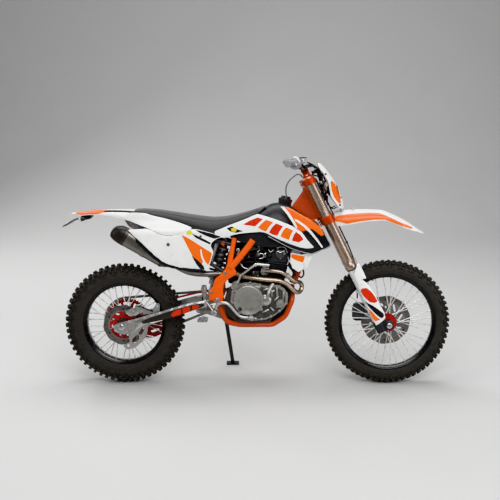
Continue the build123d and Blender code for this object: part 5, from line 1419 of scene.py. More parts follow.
ARM = [(-262, 486), (-276, 485), (-354, 471), (-410, 457), (-465, 440), (-520, 422), (-603, 399), (-676, 378), (-753, 360),
       (-778, 345), (-776, 316), (-755, 302), (-683, 297), (-649, 322), (-615, 347), (-576, 364), (-521, 377), (-466, 391),
       (-410, 406), (-355, 424), (-300, 442), (-270, 448), (-262, 452)]
inset = [(141, 321.4), (152, 317.0), (160, 314.4), (170, 311.2), (180, 308.3), (190, 305.6), (198, 303.9), (204, 303.4), (204.6, 306.0),
         (198, 308.6), (190, 311.4), (180, 315.2), (170, 318.2), (160, 320.6), (150, 322.6), (143, 324.0)]
sticker = [(170.6, 315.6), (173.6, 311.2), (182, 308.4), (190, 306.0), (197.6, 304.6), (199.6, 306.4), (197.4, 308.2), (190, 311.2),
           (180, 314.8), (173, 316.8)]
for sgn, label in ((-1, "right"), (1, "left")):
    sp = Soup()
    panel(sp, rounded(ARM, 10), lambda x, z: sgn * 118.0, 22.5, 12, 0, 4.5, 7)
    sp.out("swingarm_beam_" + label, "silver", "chassis", 45, ["swingarm"] if sgn < 0 else ())
    sp = Soup()
    panel(sp, rounded(PX(inset, -118), 4), lambda x, z: sgn * 118.5, 2.2, 12, 0, 0.5, 4)
    sp.out("swingarm_inset_" + label, "arm_face", "chassis", 45)
    sp = Soup()
    for nm, cut0, cut1 in (("a", 0.0, 0.36), ("b", 0.41, 0.68), ("c", 0.73, 1.0)):
        base = PX(sticker, -118)
        xs = [p[0] for p in base]
        x0, x1 = min(xs) + (max(xs) - min(xs)) * cut0, min(xs) + (max(xs) - min(xs)) * cut1
        top = [(x, z) for x, z in dense(base, 3) if x0 <= x <= x1]
        if len(top) > 6:
            c = Vector((sum(p[0] for p in top) / len(top), sum(p[1] for p in top) / len(top)))
            top.sort(key=lambda p: math.atan2(p[1] - c.y, p[0] - c.x))
            holed(sp, top, [], sgn * 118.6, sgn * 119.3)
    sp.out("swingarm_stripe_" + label, "graphic_red", "chassis", 30)
    sp = Soup()
    plate = rounded(PX([(116.4, 324.2), (119.8, 322.8), (128, 321.8), (133.6, 322.8), (136.6, 326), (135.4, 330.4), (130.6, 334.0),
                        (124, 334.4), (117.6, 333.2), (116.0, 328)], -122), 8)
    holed(sp, plate, [circle_pts(XR, ZR, 17.5, 28), oval_pts((-702, 318), (-688, 322), 6)], sgn * 116, sgn * 124.5, 0)
    lathe(sp, (XR, sgn * 117, ZR), (0, sgn, 0), [(0, 6.2), (0, 17), (8, 17), (9.5, 15.5), (13.5, 15.2), (14.5, 13.4), (14.5, 6.4), (2, 6.2)], 32, 1,
          closed=True)
    hexbolt(sp, (-710, sgn * 124, 348), (0, sgn, 0), 6.5, 7, 1)
    q = Vector((-777, sgn * 107, 336))
    cyl(sp, q + Vector((16, 0, 3)), q - Vector((9, 0, 1.5)), 5, 12, 1)
    hexbolt(sp, q - Vector((2, 0, 0)), (-1, 0, -0.15), 6.5, 5, 1)
    sp.out("axle_plate_" + label, "silver", "chassis", 35, (), ["bolt"])
sp = Soup()
cyl(sp, (XR, -117, ZR), (XR, 117, ZR), 10, 24)
for s_ in (-1, 1):
    lathe(sp, (XR, s_ * 70.5, ZR), (0, s_, 0), [(0, 10), (0, 16.5), (2, 18), (20, 18), (24, 16), (24, 10)], 28, 0)
sp.out("rear_axle_shape", "bolt", "chassis", 35, ["rear_axle"])
sp = Soup()
lathe(sp, (-205, -93, 490), (0, 1, 0), [(0, 12), (0, 22), (4, 24), (30, 24), (34, 20), (152, 20), (156, 24), (182, 24), (186, 22), (186, 12)], 32)
panel(sp, rounded([(-292, 476), (-350, 466), (-360, 428), (-300, 440)], 8), lambda x, z: 95.0, 190, 12, 0, 3)
for s_ in (-1, 1):
    tube(sp, catmull([Vector((-206, s_ * 72, 490)), Vector((-250, s_ * 76, 477)), Vector((-296, s_ * 90, 463)), Vector((-330, s_ * 100, 455))], 6),
         [15] * 19, 14, 0, flat=1.25)
sp.out("swingarm_bridge", "cast", "chassis", 40)
fin_o = rounded([(-733, 230), (-709, 208), (-664, 219), (-624, 253), (-596, 298), (-586, 366), (-640, 336), (-684, 304), (-700, 280),
                 (-691, 253)], 10)
sp = Soup()
holed(sp, fin_o, [oval_pts((-668, 258), (-650, 278), 13), oval_pts((-634, 300), (-620, 322), 9), circle_pts(-700, 231, 9, 18)], -104, -98)
for q in ((-604, 352), (-660, 312)):
    hexbolt(sp, (q[0], -104, q[1]), (0, -1, 0), 5.5, 5)
sp.out("disc_guard_fin", "silver", "chassis", 35)

# rear caliper
sp = Soup()
cal_o = rounded(PX([(124.6, 310.6), (129.6, 309.6), (133.6, 308.0), (135.6, 305.0), (140, 304.2), (143.8, 306), (143.6, 311),
                    (141, 313.8), (138, 314.2), (135, 316.6), (130, 316.6), (127, 314.6)], -84), 6)
panel(sp, cal_o, lambda x, z: -88.0, 20, 10, 0, 3.5, 6)
cx_, cz_ = sum(p[0] for p in cal_o) / len(cal_o), sum(p[1] for p in cal_o) / len(cal_o)
for dx, dz, r in ((-18, -6, 13), (14, 12, 11)):
    lathe(sp, (cx_ + dx, -87, cz_ + dz), (0, -1, 0), [(0, r), (3.5, r), (5, r - 1.5), (5, r - 4.5), (3.6, r - 5.5)], 24, 0)
for dx, dz in ((-34, 4), (30, 24), (28, -6)):
    hexbolt(sp, (cx_ + dx, -87.5, cz_ + dz), (0, -1, 0), 5, 5, 1)
tube(sp, catmull([Vector((cx_ + 20, -90, cz_ + 24)), Vector((cx_ + 34, -98, cz_ + 32)), Vector((cx_ + 52, -104, cz_ + 20)), Vector((-560, -108, 424))], 6),
     3.6, 10, 2)
brk = rounded(PX([(142.6, 308.6), (148, 309.8), (153, 308.6), (156, 304.2), (158.6, 302.6), (160.0, 305), (159.8, 309.8), (152, 313.2), (143, 314.6)], -94), 4)
holed(sp, brk, [circle_pts(*PX([(157.6, 306.2)], -94)[0], 5, 14)], -98, -92, 0)
sp.out("rear_caliper_shape", "silver", "chassis", 35, ["rear_caliper"], ["bolt", "rubber"])

# chain and its guide
FS = Vector((-118.0, 486.0))
RC = Vector((XR, ZR))


def chain_path(rr, rf):
    d = FS - RC
    L = d.length
    base = math.atan2(d.y, d.x)
    al = math.acos((rr - rf) / L)
    out = []
    up_r, up_f = base + al, base + al
    lo_r, lo_f = base - al, base - al
    n = 60
    tot = 2 * pi - 2 * al
    for i in range(n + 1):
        a = up_r + tot * i / n
        out.append(RC + Vector((math.cos(a), math.sin(a))) * rr)
    a0 = lo_f
    for i in range(n + 1):
        a = base - al + 2 * al * i / n
        out.append(FS + Vector((math.cos(a), math.sin(a))) * rf)
    return out


def resample(path, count):
    seg = [(path[(i + 1) % len(path)] - path[i]).length for i in range(len(path))]
    tot = sum(seg)
    out, i, acc = [], 0, 0.0
    for k in range(count):
        t = tot * k / count
        while acc + seg[i] < t:
            acc += seg[i]
            i += 1
        out.append(path[i].lerp(path[(i + 1) % len(path)], (t - acc) / seg[i]))
    return out, tot


loop_c = chain_path(129.5, 34.0)
_, tot = resample(loop_c, 10)
cnt = int(round(tot / 15.875 / 2)) * 2
pins, _ = resample(loop_c, cnt)
sp = Soup()
for i in range(cnt):
    a, b = pins[i], pins[(i + 1) % cnt]
    d = (b - a).normalized()
    n_ = Vector((-d.y, d.x))
    out_ = i % 2 == 0
    ys = (5.6, 7.3) if out_ else (3.7, 5.4)
    shape = []
    for c, s0 in ((b, -1), (a, 1)):
        base = math.atan2(d.y, d.x) + (0 if s0 < 0 else pi)
        for k in range(6):
            f = base - pi / 2 + pi * k / 5
            shape.append((c.x + 7.0 * math.cos(f), c.y + 7.0 * math.sin(f)))
    mid = (a + b) / 2
    shape.insert(6, (mid.x + n_.x * 5.4, mid.y + n_.y * 5.4))
    shape.append((mid.x - n_.x * 5.4, mid.y - n_.y * 5.4))
    m_ = len(shape)
    for s_ in (-1, 1):
        y0, y1 = 78 + s_ * ys[0], 78 + s_ * ys[1]
        vs = [Vector((p[0], y0, p[1])) for p in shape] + [Vector((p[0], y1, p[1])) for p in shape]
        fs = [tuple(range(m_)), tuple(range(m_, 2 * m_))[::-1]] + [(j, (j + 1) % m_, m_ + (j + 1) % m_, m_ + j) for j in range(m_)]
        sp.add(vs, fs, 0)
    cyl(sp, (a.x, 70.2, a.y), (a.x, 85.8, a.y), 2.6, 8, 1)
    cyl(sp, (a.x, 74.4, a.y), (a.x, 81.6, a.y), 4.9, 10, 1)
sp.out("chain_links", "chain", "chassis", 35, ["chain"], ["steel"])
sp = Soup()
fsp = []
for i in range(14 * 4):
    a = 2 * pi * i / (14 * 4)
    r = (28.5, 31.0, 37.5, 31.0)[i % 4]
    fsp.append((FS.x + r * math.cos(a), FS.y + r * math.sin(a)))
holed(sp, fsp, [circle_pts(FS.x, FS.y, 12, 16)], 75.2, 80.8, 0)
lathe(sp, (FS.x, 66, FS.y), (0, 1, 0), [(0, 14), (20, 14), (21, 12), (21, 5)], 24, 0)
sp.out("front_sprocket_shape", "steel", "chassis", 30)
sp = Soup()
guide_o = rounded([(-630, 300), (-600, 312), (-560, 326), (-524, 334), (-514, 302), (-536, 262), (-570, 246), (-610, 236), (-632, 250)], 7)
for y0, y1 in ((62, 68), (88, 94)):
    holed(sp, guide_o, [oval_pts((-596, 272), (-560, 284), 9)], y0, y1)
for q in ((-540, 322), (-608, 246), (-532, 276)):
    cyl(sp, (q[0], 60, q[1]), (q[0], 96, q[1]), 5, 14, 1)
sp.out("chain_guide_shape", "hub_plastic", "chassis", 35, ["chain_guide"], ["bolt"])
sp = Soup()
top_s = rounded(PX([(177.6, 294.6), (190, 292.4), (200, 291.2), (200.6, 293.4), (190, 295.0), (178, 297.2)], 78), 3)
top_s2 = [(-250, 514), (-330, 502), (-430, 478), (-520, 452), (-520, 446), (-430, 470), (-330, 494), (-250, 504)]
holed(sp, rounded(top_s2, 2), [], 66, 90, 0)
sp.out("chain_slider", "hub_plastic", "chassis", 35)

# shock and linkage
ST, SB = Vector((-168, 0, 812)), Vector((-276, 0, 440))
SD = (SB - ST).normalized()
sp = Soup()
lathe(sp, ST, SD, [(0, 13), (10, 16), (28, 17), (30, 24), (44, 25), (46, 37), (51, 38), (52, 29), (60, 27.5), (116, 27.5), (120, 22), (122, 9),
                   (220, 9)], 36, 0)
lathe(sp, ST, SD, [(218, 10), (219, 37.5), (228, 38), (233, 30), (236, 21), (262, 20), (264, 9), (330, 9), (332, 15), (384, 15)], 36, 0)
lathe(sp, ST, SD, [(51, 38), (52, 36), (58, 36), (59, 28)], 24, 1)
for i in range(6):
    a = 2 * pi * i / 6
    x_, y_, _ = frame_of(SD)
    q = ST + SD * 49 + x_ * (37 * math.cos(a)) + y_ * (37 * math.sin(a))
    cyl(sp, q - SD * 2.5, q + SD * 2.5, 3.4, 8, 1)
cyl(sp, ST + SD * 12 - Vector((0, 26, 0)), ST + SD * 12 + Vector((0, 26, 0)), 14, 28)
tube(sp, catmull([Vector((-196, -50, 806)), Vector((-214, -56, 792)), Vector((-236, -58, 730)), Vector((-246, -58, 694))], 6), [20] * 19, 18, 0)
sp.out("shock_body", "dull_silver", "chassis", 38, ["shock_absorber"], ["bolt"])
sp = Soup()
helix = []
x_, y_, _ = frame_of(SD)
for i in range(7 * 26 + 1):
    a = 2 * pi * i / 26
    u_ = min(1, max(0, (i - 13) / (7 * 26 - 26)))
    helix.append(ST + SD * (59 + (156) * u_) + (x_ * math.cos(a) + y_ * math.sin(a)) * 33.0)
tube(sp, helix, 5.9, 10, 0)
sp.out("shock_coil", "dark_paint", "chassis", 50, ["shock_spring"])
sp = Soup()
lk_o = rounded([(-262, 448), (-292, 446), (-334, 424), (-326, 402), (-270, 392), (-248, 418)], 9)
for y0, y1 in ((-30, -14), (14, 30)):
    holed(sp, lk_o, [circle_pts(-292, 422, 9, 16)], y0, y1, 0)
for q in ((-276, 436), (-318, 414), (-262, 406)):
    cyl(sp, (q[0], -40, q[1]), (q[0], 40, q[1]), 8, 18, 1)
for s_ in (-1, 1):
    holed(sp, oval_pts((-262, 408), (-176, 380), 12), [circle_pts(-176, 380, 6, 14)], s_ * 34, s_ * 44, 0)
sp.out("linkage_shape", "cover", "chassis", 35, (), ["bolt"])

# rear brake cylinder and links by the right trunk
sp = Soup()
(xa, za), (xb, zb) = PX([(204.0, 285.0), (204.6, 300.0)], -100)
lathe(sp, (xa, -104, za), (xb - xa, 0, zb - za), [(0, 9), (2, 13.5), (14, 13.5), (15, 16.5), (38, 16.5), (40, 13), (66, 12), (68, 8), (80, 7.5)], 24, 0)
for t_ in (0.3, 0.62):
    hexbolt(sp, (xa + (xb - xa) * t_, -119, za + (zb - za) * t_), (0, -1, 0), 5, 5, 1)
tube(sp, catmull([Vector((xa, -104, za)), Vector((xa - 10, -100, za - 16)), Vector((-300, -90, 462)), Vector((-420, -90, 436)),
                  Vector((-540, -92, 404)), Vector((-574, -94, 414))], 8), 3.2, 10, 2)
cyl(sp, (xb, -104, zb + 4), (-222, -132, 424), 4.2, 12, 1)
sp.out("rear_brake_cylinder", "cover", "chassis", 35, (), ["bolt", "rubber"])

# ------------------------------------------------------------------ frame skin
sp = Soup()
TRUNK = [(-251, 527), (-251, 488), (-213, 482), (-207, 466), (-185, 466), (-174, 488), (-169, 504), (-174, 543), (-168, 577),
         (-146, 604), (-107, 626), (-98, 640), (-118, 676), (-126, 690), (-150, 690), (-156, 665), (-184, 632), (-217, 604), (-225, 577),
         (-234, 554), (-251, 538)]
for sgn, label in ((-1, "right"), (1, "left")):
    sp = Soup()
    panel(sp, rounded(TRUNK, 9), lambda x, z: sgn * 118.6, 26, 11, 0, 6.5, 9)
    inner = rounded([(-236, 522), (-234, 500), (-204, 496), (-186, 500), (-188, 540), (-184, 575), (-206, 580), (-222, 552)], 8)
    panel(sp, inner, lambda x, z: sgn * 120.6, 3.5, 9, 0, 1.6, 5)
    q = PX([(230.6, 268), (236.4, 261.4), (242.6, 254.0), (248.6, 246.4), (253, 240)], -112)
    tube(sp, [Vector((x, sgn * 108, z)) for x, z in q], [18, 17.5, 17, 17, 17], 20, 0)
    q = PX([(229.4, 267), (230.4, 259), (231.8, 251.5), (233.2, 244), (234.2, 238)], -110)
    tube(sp, [Vector((x, sgn * 106, z)) for x, z in q], [16, 14.5, 13.5, 12.5, 12.5], 18, 0)
    (x, z), = PX([(240.6, 256.6)], -112)
    lathe(sp, (x - 5, sgn * 108, z - 6), (0.63, 0, 0.77), [(0, 17), (1, 18.8), (9, 18.8), (10, 17)], 24, 0)
    lathe(sp, (-205, sgn * 119.5, 490), (0, sgn, 0), [(0, 20), (4, 19), (5, 16)], 32, 0)
    hexbolt(sp, (-205, sgn * 124, 490), (0, sgn, 0), 11, 7, 1)
    hexbolt(sp, (-160, sgn * 119.5, 640), (0, sgn, 0), 7, 6, 1)
    hexbolt(sp, (-236, sgn * 119.5, 534), (0, sgn, 0), 6, 5, 1)
    sp.out("frame_trunk_" + label, "frame", "chassis", 40, ["frame_trunks"] if sgn < 0 else (), ["bolt"])
sp = Soup()
cyl(sp, (-205, -118, 490), (-205, 118, 490), 9, 20, 1)
cyl(sp, (-128, -96, 672), (-128, 96, 672), 12, 20, 0)
for s_ in (-1, 1):
    cyl(sp, ST + SD * 12 + Vector((0, s_ * 24, 0)), ST + SD * 12 + Vector((0, s_ * 100, 0)), 10, 18, 0)
sp.out("frame_cross_tubes", "frame", "chassis", 40, (), ["bolt"])
gus = [(303.4, 189.6), (305.2, 190.6), (309.5, 197), (313.5, 205), (317.6, 213.5), (319, 218), (312, 219), (306, 216), (300, 211.5),
       (293.4, 207.6), (292.6, 206.2), (297, 200.4), (302.6, 192.6)]
for sgn, label in ((-1, "right"), (1, "left")):
    sp = Soup()
    g = [(x, z) for x, z in rounded(PX(gus, -40), 5)]
    panel(sp, g, lambda x, z: sgn * (34.5 + 3 * sm((1000 - z) / 80)), 5, 10, 0, 1.5, 5)
    sp.out("head_gusset_" + label, "gusset", "chassis", 45, (), ["bolt"])

# ------------------------------------------------------------------ engine
case_o = rounded(PX([(230.4, 300), (231.6, 292), (236.6, 286), (243.6, 282.6), (255, 282.8), (262, 285), (270, 286.6), (277, 284.6),
                     (284.6, 288.6), (288.2, 295.6), (287.4, 303), (282.6, 309.6), (275, 315.4), (266, 319.4), (252, 320.8), (243, 319.6),
                     (236, 315), (231.8, 308)], -124), 9)
sp = Soup()
panel(sp, case_o, lambda x, z: -122.0, 34, 12, 4, 4.5, 8)
holed(sp, case_o, [rounded([(cx0 * 0.90 + 4, cz0 * 0.90 + 46) for cx0, cz0 in case_o], 6)], -125.5, -118, 0)
cen = Vector((sum(p[0] for p in case_o) / len(case_o), sum(p[1] for p in case_o) / len(case_o)))
ring_p = resample([Vector(p) for p in case_o], 15)[0]
for p_ in ring_p:
    d_ = (p_ - cen).normalized()
    q_ = p_ - d_ * 5
    lathe(sp, (q_.x, -86, q_.y), (0, -1, 0), [(0, 9), (36, 8.5), (38.5, 8)], 14, 0)
    hexbolt(sp, (q_.x, -124.5, q_.y), (0, -1, 0), 4.4, 5.5, 1)
(cx_, cz_), = PX([(248.4, 300.8)], -150)
lathe(sp, (cx_, -120, cz_), (0, -1, 0), [(0, 86), (6, 86), (20, 83), (27, 80), (29.5, 76), (30.5, 75.4), (30.8, 73), (29.8, 71),
                                         (30.2, 40), (30.6, 1)], 96, 2)
for i in range(8):
    a = 2 * pi * (i + 0.2) / 8
    q_ = Vector((cx_ + 85 * math.cos(a), -126, cz_ + 85 * math.sin(a)))
    lathe(sp, q_, (0, -1, 0), [(0, 9), (14, 8.6), (15, 7.4)], 16, 2)
    hexbolt(sp, q_ - Vector((0, 15, 0)), (0, -1, 0), 4.6, 5, 1)
(x, z), = PX([(240.0, 309.2)], -150)
lathe(sp, (x, -148, z), (0, -1, 0), [(0, 12), (4, 12), (4.8, 10.8), (4.8, 7.4), (2.0, 7.0)], 20, 3)
lathe(sp, (cx_, -149.2, cz_), (0, -1, 0), [(0, 80), (1.6, 78.5), (2.2, 76.5), (0.6, 74.5)], 96, 2)
for i in range(5):
    a0 = 0.3 + i * 0.42
    pa = [Vector((cx_ + r_ * math.cos(a0), -150.2, cz_ + r_ * math.sin(a0))) for r_ in (33, 40, 48, 57)]
    tube(sp, pa, 0.9, 6, 2)
for (a_, b_, r_) in (((263.6, 290.2), (268.4, 288.8), 5), ((270.4, 292.6), (274.4, 290.6), 4.5), ((262.6, 312.2), (268.6, 309.8), 5),
                     ((270.4, 307.4), (274.0, 311.0), 4), ((254.2, 286.6), (260.4, 286.9), 4.5), ((240.2, 288.4), (244.6, 285.8), 4.5),
                     ((236.6, 296.2), (235.4, 303.6), 4), ((246.0, 317.4), (256.4, 318.6), 3.6), ((274.6, 300.2), (278.6, 296.6), 4)):
    (x0, z0), (x1, z1) = PX([a_, b_], -130)
    tube(sp, [Vector((x0, -123, z0)), Vector(((x0 + x1) / 2, -129, (z0 + z1) / 2)), Vector((x1, -123, z1))], [r_, r_ * 1.2, r_], 10, 6)
(px_, pz_), = PX([(265.8, 300.6)], -138)
lathe(sp, (px_, -120, pz_), (0, -1, 0), [(0, 33), (8, 32), (14, 27), (17, 21), (24, 19), (26, 15), (26, 6)], 40, 6)
for a in (0.5, 2.4, 4.3):
    hexbolt(sp, (px_ + 28 * math.cos(a), -129, pz_ + 28 * math.sin(a)), (0, -1, 0), 4.2, 6, 1)
tube(sp, catmull([Vector((px_ + 6, -138, pz_ + 10)), Vector((px_ + 14, -140, pz_ + 34)), Vector((px_ + 20, -132, pz_ + 58)),
                  Vector((px_ + 40, -116, pz_ + 88))], 6), 11, 16, 2)
(ox, oz), = PX([(280.0, 303.8)], -132)
lathe(sp, (ox, -116, oz), (0, -1, 0), [(0, 25), (12, 24), (16, 21), (17, 12), (19, 10), (19, 4)], 32, 2)
for a in (0.9, 4.0):
    hexbolt(sp, (ox + 25 * math.cos(a), -126, oz + 25 * math.sin(a)), (0, -1, 0), 4.2, 6, 1)
for (a, b) in (((276.6, 287.4), (277.4, 298.6)), ((271.4, 289.4), (271.8, 296.4)), ((283.8, 292), (283.2, 299))):
    (x0, z0), (x1, z1) = PX([a, b], -128)
    tube(sp, [Vector((x0, -124, z0)), Vector((x0 * 0.6 + x1 * 0.4, -129, z0 * 0.6 + z1 * 0.4)), Vector((x1, -125, z1))], [5, 6.5, 5], 12, 2)
(x0, z0), = PX([(257.6, 288.4)], -130)
lathe(sp, (x0, -118, z0), (0, -1, 0), [(0, 15), (10, 14), (14, 10), (15, 4)], 20, 2)
(x0, z0), = PX([(236.0, 285.6)], -118)
lathe(sp, (x0, -92, z0), (0, -1, 0), [(0, 24), (20, 23), (26, 17), (30, 15), (36, 14)], 28, 0)
sp.out("engine_right_case", "cast", "chassis", 38, ["clutch_cover"], ["bolt", "cover", "dark_steel", "dark_case", "spoke", "silver"])

sp = Soup()
core = rounded([(-168, 470), (-160, 400), (-120, 378), (-112, 358), (84, 358), (92, 380), (112, 404), (146, 440), (158, 490), (164, 530),
                (150, 556), (40, 574), (-60, 568), (-140, 540), (-164, 505)], 8)
panel(sp, core, lambda x, z: -90.0, 180, 14, 0, 3)
for i in range(7):
    x = -100 + i * 30
    tube(sp, [Vector((x, -91, 366)), Vector((x, -92, 384)), Vector((x, -90.5, 402))], 3.2, 8, 0)
for y in (-60, 0, 60):
    lathe(sp, (150, y, 520), (1, 0, 0.1), [(0, 13), (14, 11), (15, 6)], 16, 0)
sp.out("engine_core", "dark_case", "chassis", 40, ["crankcase"])
sp = Soup()
mc = rounded([(-60, 470), (-50, 420), (-10, 388), (40, 384), (88, 402), (112, 446), (110, 500), (78, 544), (20, 556), (-30, 536)], 12)
panel(sp, mc, lambda x, z: 118.0, 28, 12, 0, 5, 8)
lathe(sp, (20, 116, 470), (0, 1, 0), [(0, 70), (10, 69), (20, 64), (24, 56), (26, 54), (27, 30), (28.4, 28), (28.4, 0.5)], 72, 0)
for p_ in resample([Vector(q) for q in mc], 11)[0]:
    d_ = (p_ - Vector((25, 470))).normalized()
    q_ = p_ - d_ * 4
    lathe(sp, (q_.x, 90, q_.y), (0, 1, 0), [(0, 9), (29, 8.4), (30, 7)], 14, 0)
    hexbolt(sp, (q_.x, 119.6, q_.y), (0, 1, 0), 4.4, 5.5, 1)
sc_o = rounded([(-168, 512), (-166, 452), (-130, 430), (-92, 440), (-78, 486), (-92, 528), (-130, 540)], 12)
holed(sp, sc_o, [oval_pts((-140, 500), (-120, 510), 7)], 92, 97, 2)
for q_ in ((-154, 518), (-150, 448), (-94, 452)):
    cyl(sp, (q_[0], 88, q_[1]), (q_[0], 98, q_[1]), 8, 16, 2)
    hexbolt(sp, (q_[0], 98, q_[1]), (0, 1, 0), 4.6, 5, 1)
sp.out("engine_left_cover", "cover", "chassis", 38, ["magneto_cover"], ["bolt", "black"])

# barrel, head and what surrounds them
def slant(u, v, z):
    """Point on the leaned-forward barrel: u forward of its axis, z up from the crankcase along it."""
    return Vector((90 + u + 0.24 * z, v, 562 + z - 0.11 * u))


sp = Soup()


def block(z0, z1, hu, hv, mi=0, r=10):
    prof = rounded([(-hu, -hv), (hu, -hv), (hu, hv), (-hu, hv)], r)
    vs = [slant(a, b, z0) for a, b in prof] + [slant(a, b, z1) for a, b in prof]
    m_ = len(prof)
    fs = [tuple(range(m_))[::-1], tuple(range(m_, 2 * m_))] + [(j, (j + 1) % m_, m_ + (j + 1) % m_, m_ + j) for j in range(m_)]
    sp.add(vs, fs, mi)


block(-4, 134, 52, 58)
for i in range(11):
    z_ = 8 + i * 11.4
    block(z_, z_ + 3.0, 66 - 0.25 * i, 74, 0, 16)
block(134, 140, 60, 66, 0, 12)
block(140, 178, 62, 68, 0, 16)
for i in range(4):
    block(146 + i * 8.5, 148.6 + i * 8.5, 67, 73, 0, 16)
block(180, 206, 58, 60, 1, 16)
block(206, 216, 50, 50, 1, 18)
for a, b in ((-48, -56), (48, -56), (-48, 56), (48, 56), (0, -60), (0, 60)):
    q_ = slant(a, b, 204)
    lathe(sp, q_ - Vector((0, 0, 12)), (0.24, 0, 1), [(0, 8.5), (14, 8.5), (15, 7)], 14, 1)
    hexbolt(sp, q_ + Vector((0.8, 0, 3)), (0.24, 0, 1), 4.6, 5, 2)
q_ = slant(8, -70, 176)
lathe(sp, q_, (0, -1, 0), [(0, 27), (7, 26), (9, 23), (9.5, 8), (11, 7)], 36, 1)
for a in (0.6, 2.7, 4.8):
    hexbolt(sp, q_ + Vector((22 * math.cos(a), -8, 22 * math.sin(a))), (0, -1, 0), 4, 4, 2)
q_ = slant(-40, -70, 156)
lathe(sp, q_, (-0.2, -1, 0.35), [(0, 9), (16, 8), (18, 11), (40, 10), (44, 6)], 18, 3)
tube(sp, catmull([q_ + Vector((-8, -42, 15)), q_ + Vector((-26, -46, 34)), q_ + Vector((-64, -30, 54)), q_ + Vector((-110, -10, 66))], 7), 3.4, 10, 3)
sp.out("barrel_and_head", "dark_cast", "chassis", 35, ["cylinder", "cylinder_head"], ["dark_case", "bolt", "rubber"])

sp = Soup()
lathe(sp, slant(-50, 0, 158), (-1, 0, 0.02), [(0, 30), (14, 29), (15, 33), (24, 33), (25, 27), (34, 26), (35, 38), (40, 40), (88, 40), (92, 34), (94, 30),
                                              (104, 30), (105, 34), (114, 34), (116, 38), (150, 46), (196, 52), (200, 50)], 36, 0)
lathe(sp, slant(-112, 0, 150), (0, 0, -1), [(0, 26), (30, 25), (34, 28), (52, 27), (58, 18), (60, 9), (66, 9)], 28, 1)
lathe(sp, slant(-112, -36, 158), (0, -1, 0), [(0, 20), (10, 19), (14, 15), (22, 14), (23, 6)], 24, 1)
lathe(sp, slant(-112, 0, 186), (0, 0, 1), [(0, 26), (18, 25), (20, 28), (26, 28), (28, 12), (34, 8)], 28, 1)
for t_ in (20, 110):
    lathe(sp, slant(-50, 0, 158) - Vector((t_ - 4, 0, 0)), (-1, 0, 0.02), [(0, 34), (0.2, 35.4), (8.4, 35.4), (8.6, 34)], 32, 2)
for k_, (dy, pts_) in enumerate((
        (-46, [(262, 249), (258, 255), (252, 262), (246, 270), (243, 277)]), (-58, [(268, 243), (261, 247), (256, 252), (255, 260), (258, 268)]),
        (-66, [(284, 247), (277, 248.6), (270, 246.4), (262, 243), (254, 242)]), (-38, [(238, 243), (240, 251), (247, 258), (250, 268)]),
        (-70, [(214, 243), (222, 242), (232, 243.4), (244, 244.6), (256, 244)]), (-30, [(229, 262), (238, 266), (249, 268.4), (258, 271)]))):
    tube(sp, catmull([Vector((x, dy, z)) for x, z in PX(pts_, dy)], 7), 5.2 if k_ % 2 else 3.6, 10, 0)
for (a, dy) in (((257.6, 246.6), -62), ((258.8, 254.6), -60), ((246.6, 249.6), -44), ((284.6, 254), -82), ((277.6, 248.2), -78), ((237.6, 250.6), -48)):
    (x, z), = PX([a], dy)
    hexbolt(sp, (x, dy, z), (0, -1, 0), 5.4, 6, 2)
    cyl(sp, (x, dy, z), (x, dy + 30, z), 7, 14, 0)
for k_, (pts_, dy) in enumerate((([(236.4, 249.4), (238.6, 248.8), (239.0, 251.6), (237.0, 254.6)], -96), ([(257.0, 246.2), (259.6, 247.0), (259.4, 250.4), (257.4, 251.6)], -86),
                              ([(259.8, 253.4), (263.4, 254.4), (262.8, 258.0), (259.2, 258.8)], -86), ([(268.2, 249.2), (270.6, 252.0), (273.4, 249.6)], -84),
                              ([(277.0, 247.6), (281.4, 246.8), (285.6, 248.2), (287.4, 253.2)], -90), ([(284.4, 250.6), (280.6, 252.4), (277.2, 251.0)], -88),
                              ([(240.6, 263.8), (243.6, 267.4), (248.2, 269.0)], -96), ([(288.0, 256.8), (288.6, 261.4), (287.0, 265.0)], -86))):
    tube(sp, catmull([Vector((x, dy, z)) for x, z in PX(pts_, dy)], 5), 2.3, 8, 3)
stay = [(248, 247.4), (254, 244.4), (262, 243.6), (266, 246), (262, 249), (254, 250), (249.6, 251)]
for s_ in (-1, 1):
    st_p = rounded(PX(stay, -70), 4)
    holed(sp, st_p, [circle_pts(*PX([(256.6, 246.8)], -70)[0], 6, 14)], s_ * 70, s_ * 75, 1)
sp.out("intake_and_lines", "rubber", "chassis", 40, ["intake"], ["dark_case", "bolt", "spoke"])

# heat shield behind the carburettor, engine plates under the case, coil and its lead
sp = Soup()
hs = rounded([(-150, 560), (-168, 700), (-120, 792), (60, 800), (96, 730), (60, 600), (20, 562)], 16)
panel(sp, hs, lambda x, z: 18.0 + 0.02 * (x + 60), 5, 14, 0, 2)
low = rounded([(-158, 400), (-148, 354), (108, 354), (172, 400), (200, 470), (200, 520), (178, 560), (146, 560), (140, 470), (90, 400)], 8)
for y_ in (-64, 60):
    panel(sp, low, lambda x, z, y_=y_: float(y_), 5, 12, 0, 1.5)
for k_ in range(6):
    z_ = 600 + k_ * 26
    a_ = [Vector((-150 + 8 * k_, -30 - 6 * (k_ % 3), z_ + 20)), Vector((-90, -52 + 5 * (k_ % 2), z_ + 6)), Vector((-30, -56, z_ + 14 - 4 * (k_ % 3))),
          Vector((40, -40, z_ + 2))]
    tube(sp, catmull(a_, 6), 5.4 - 0.5 * (k_ % 3), 10, 1)
panel(sp, rounded([(-20, 604), (26, 606), (26, 640), (-18, 642)], 5), lambda x, z: -54.0, 30, 8, 2, 3)
hexbolt(sp, (-8, -55, 634), (0, -1, 0), 4.4, 5, 3)
hexbolt(sp, (16, -55, 612), (0, -1, 0), 4.4, 5, 3)
sp.out("engine_plates_and_shield", "black", "chassis", 45, (), ["rubber", "dark_case", "bolt"])

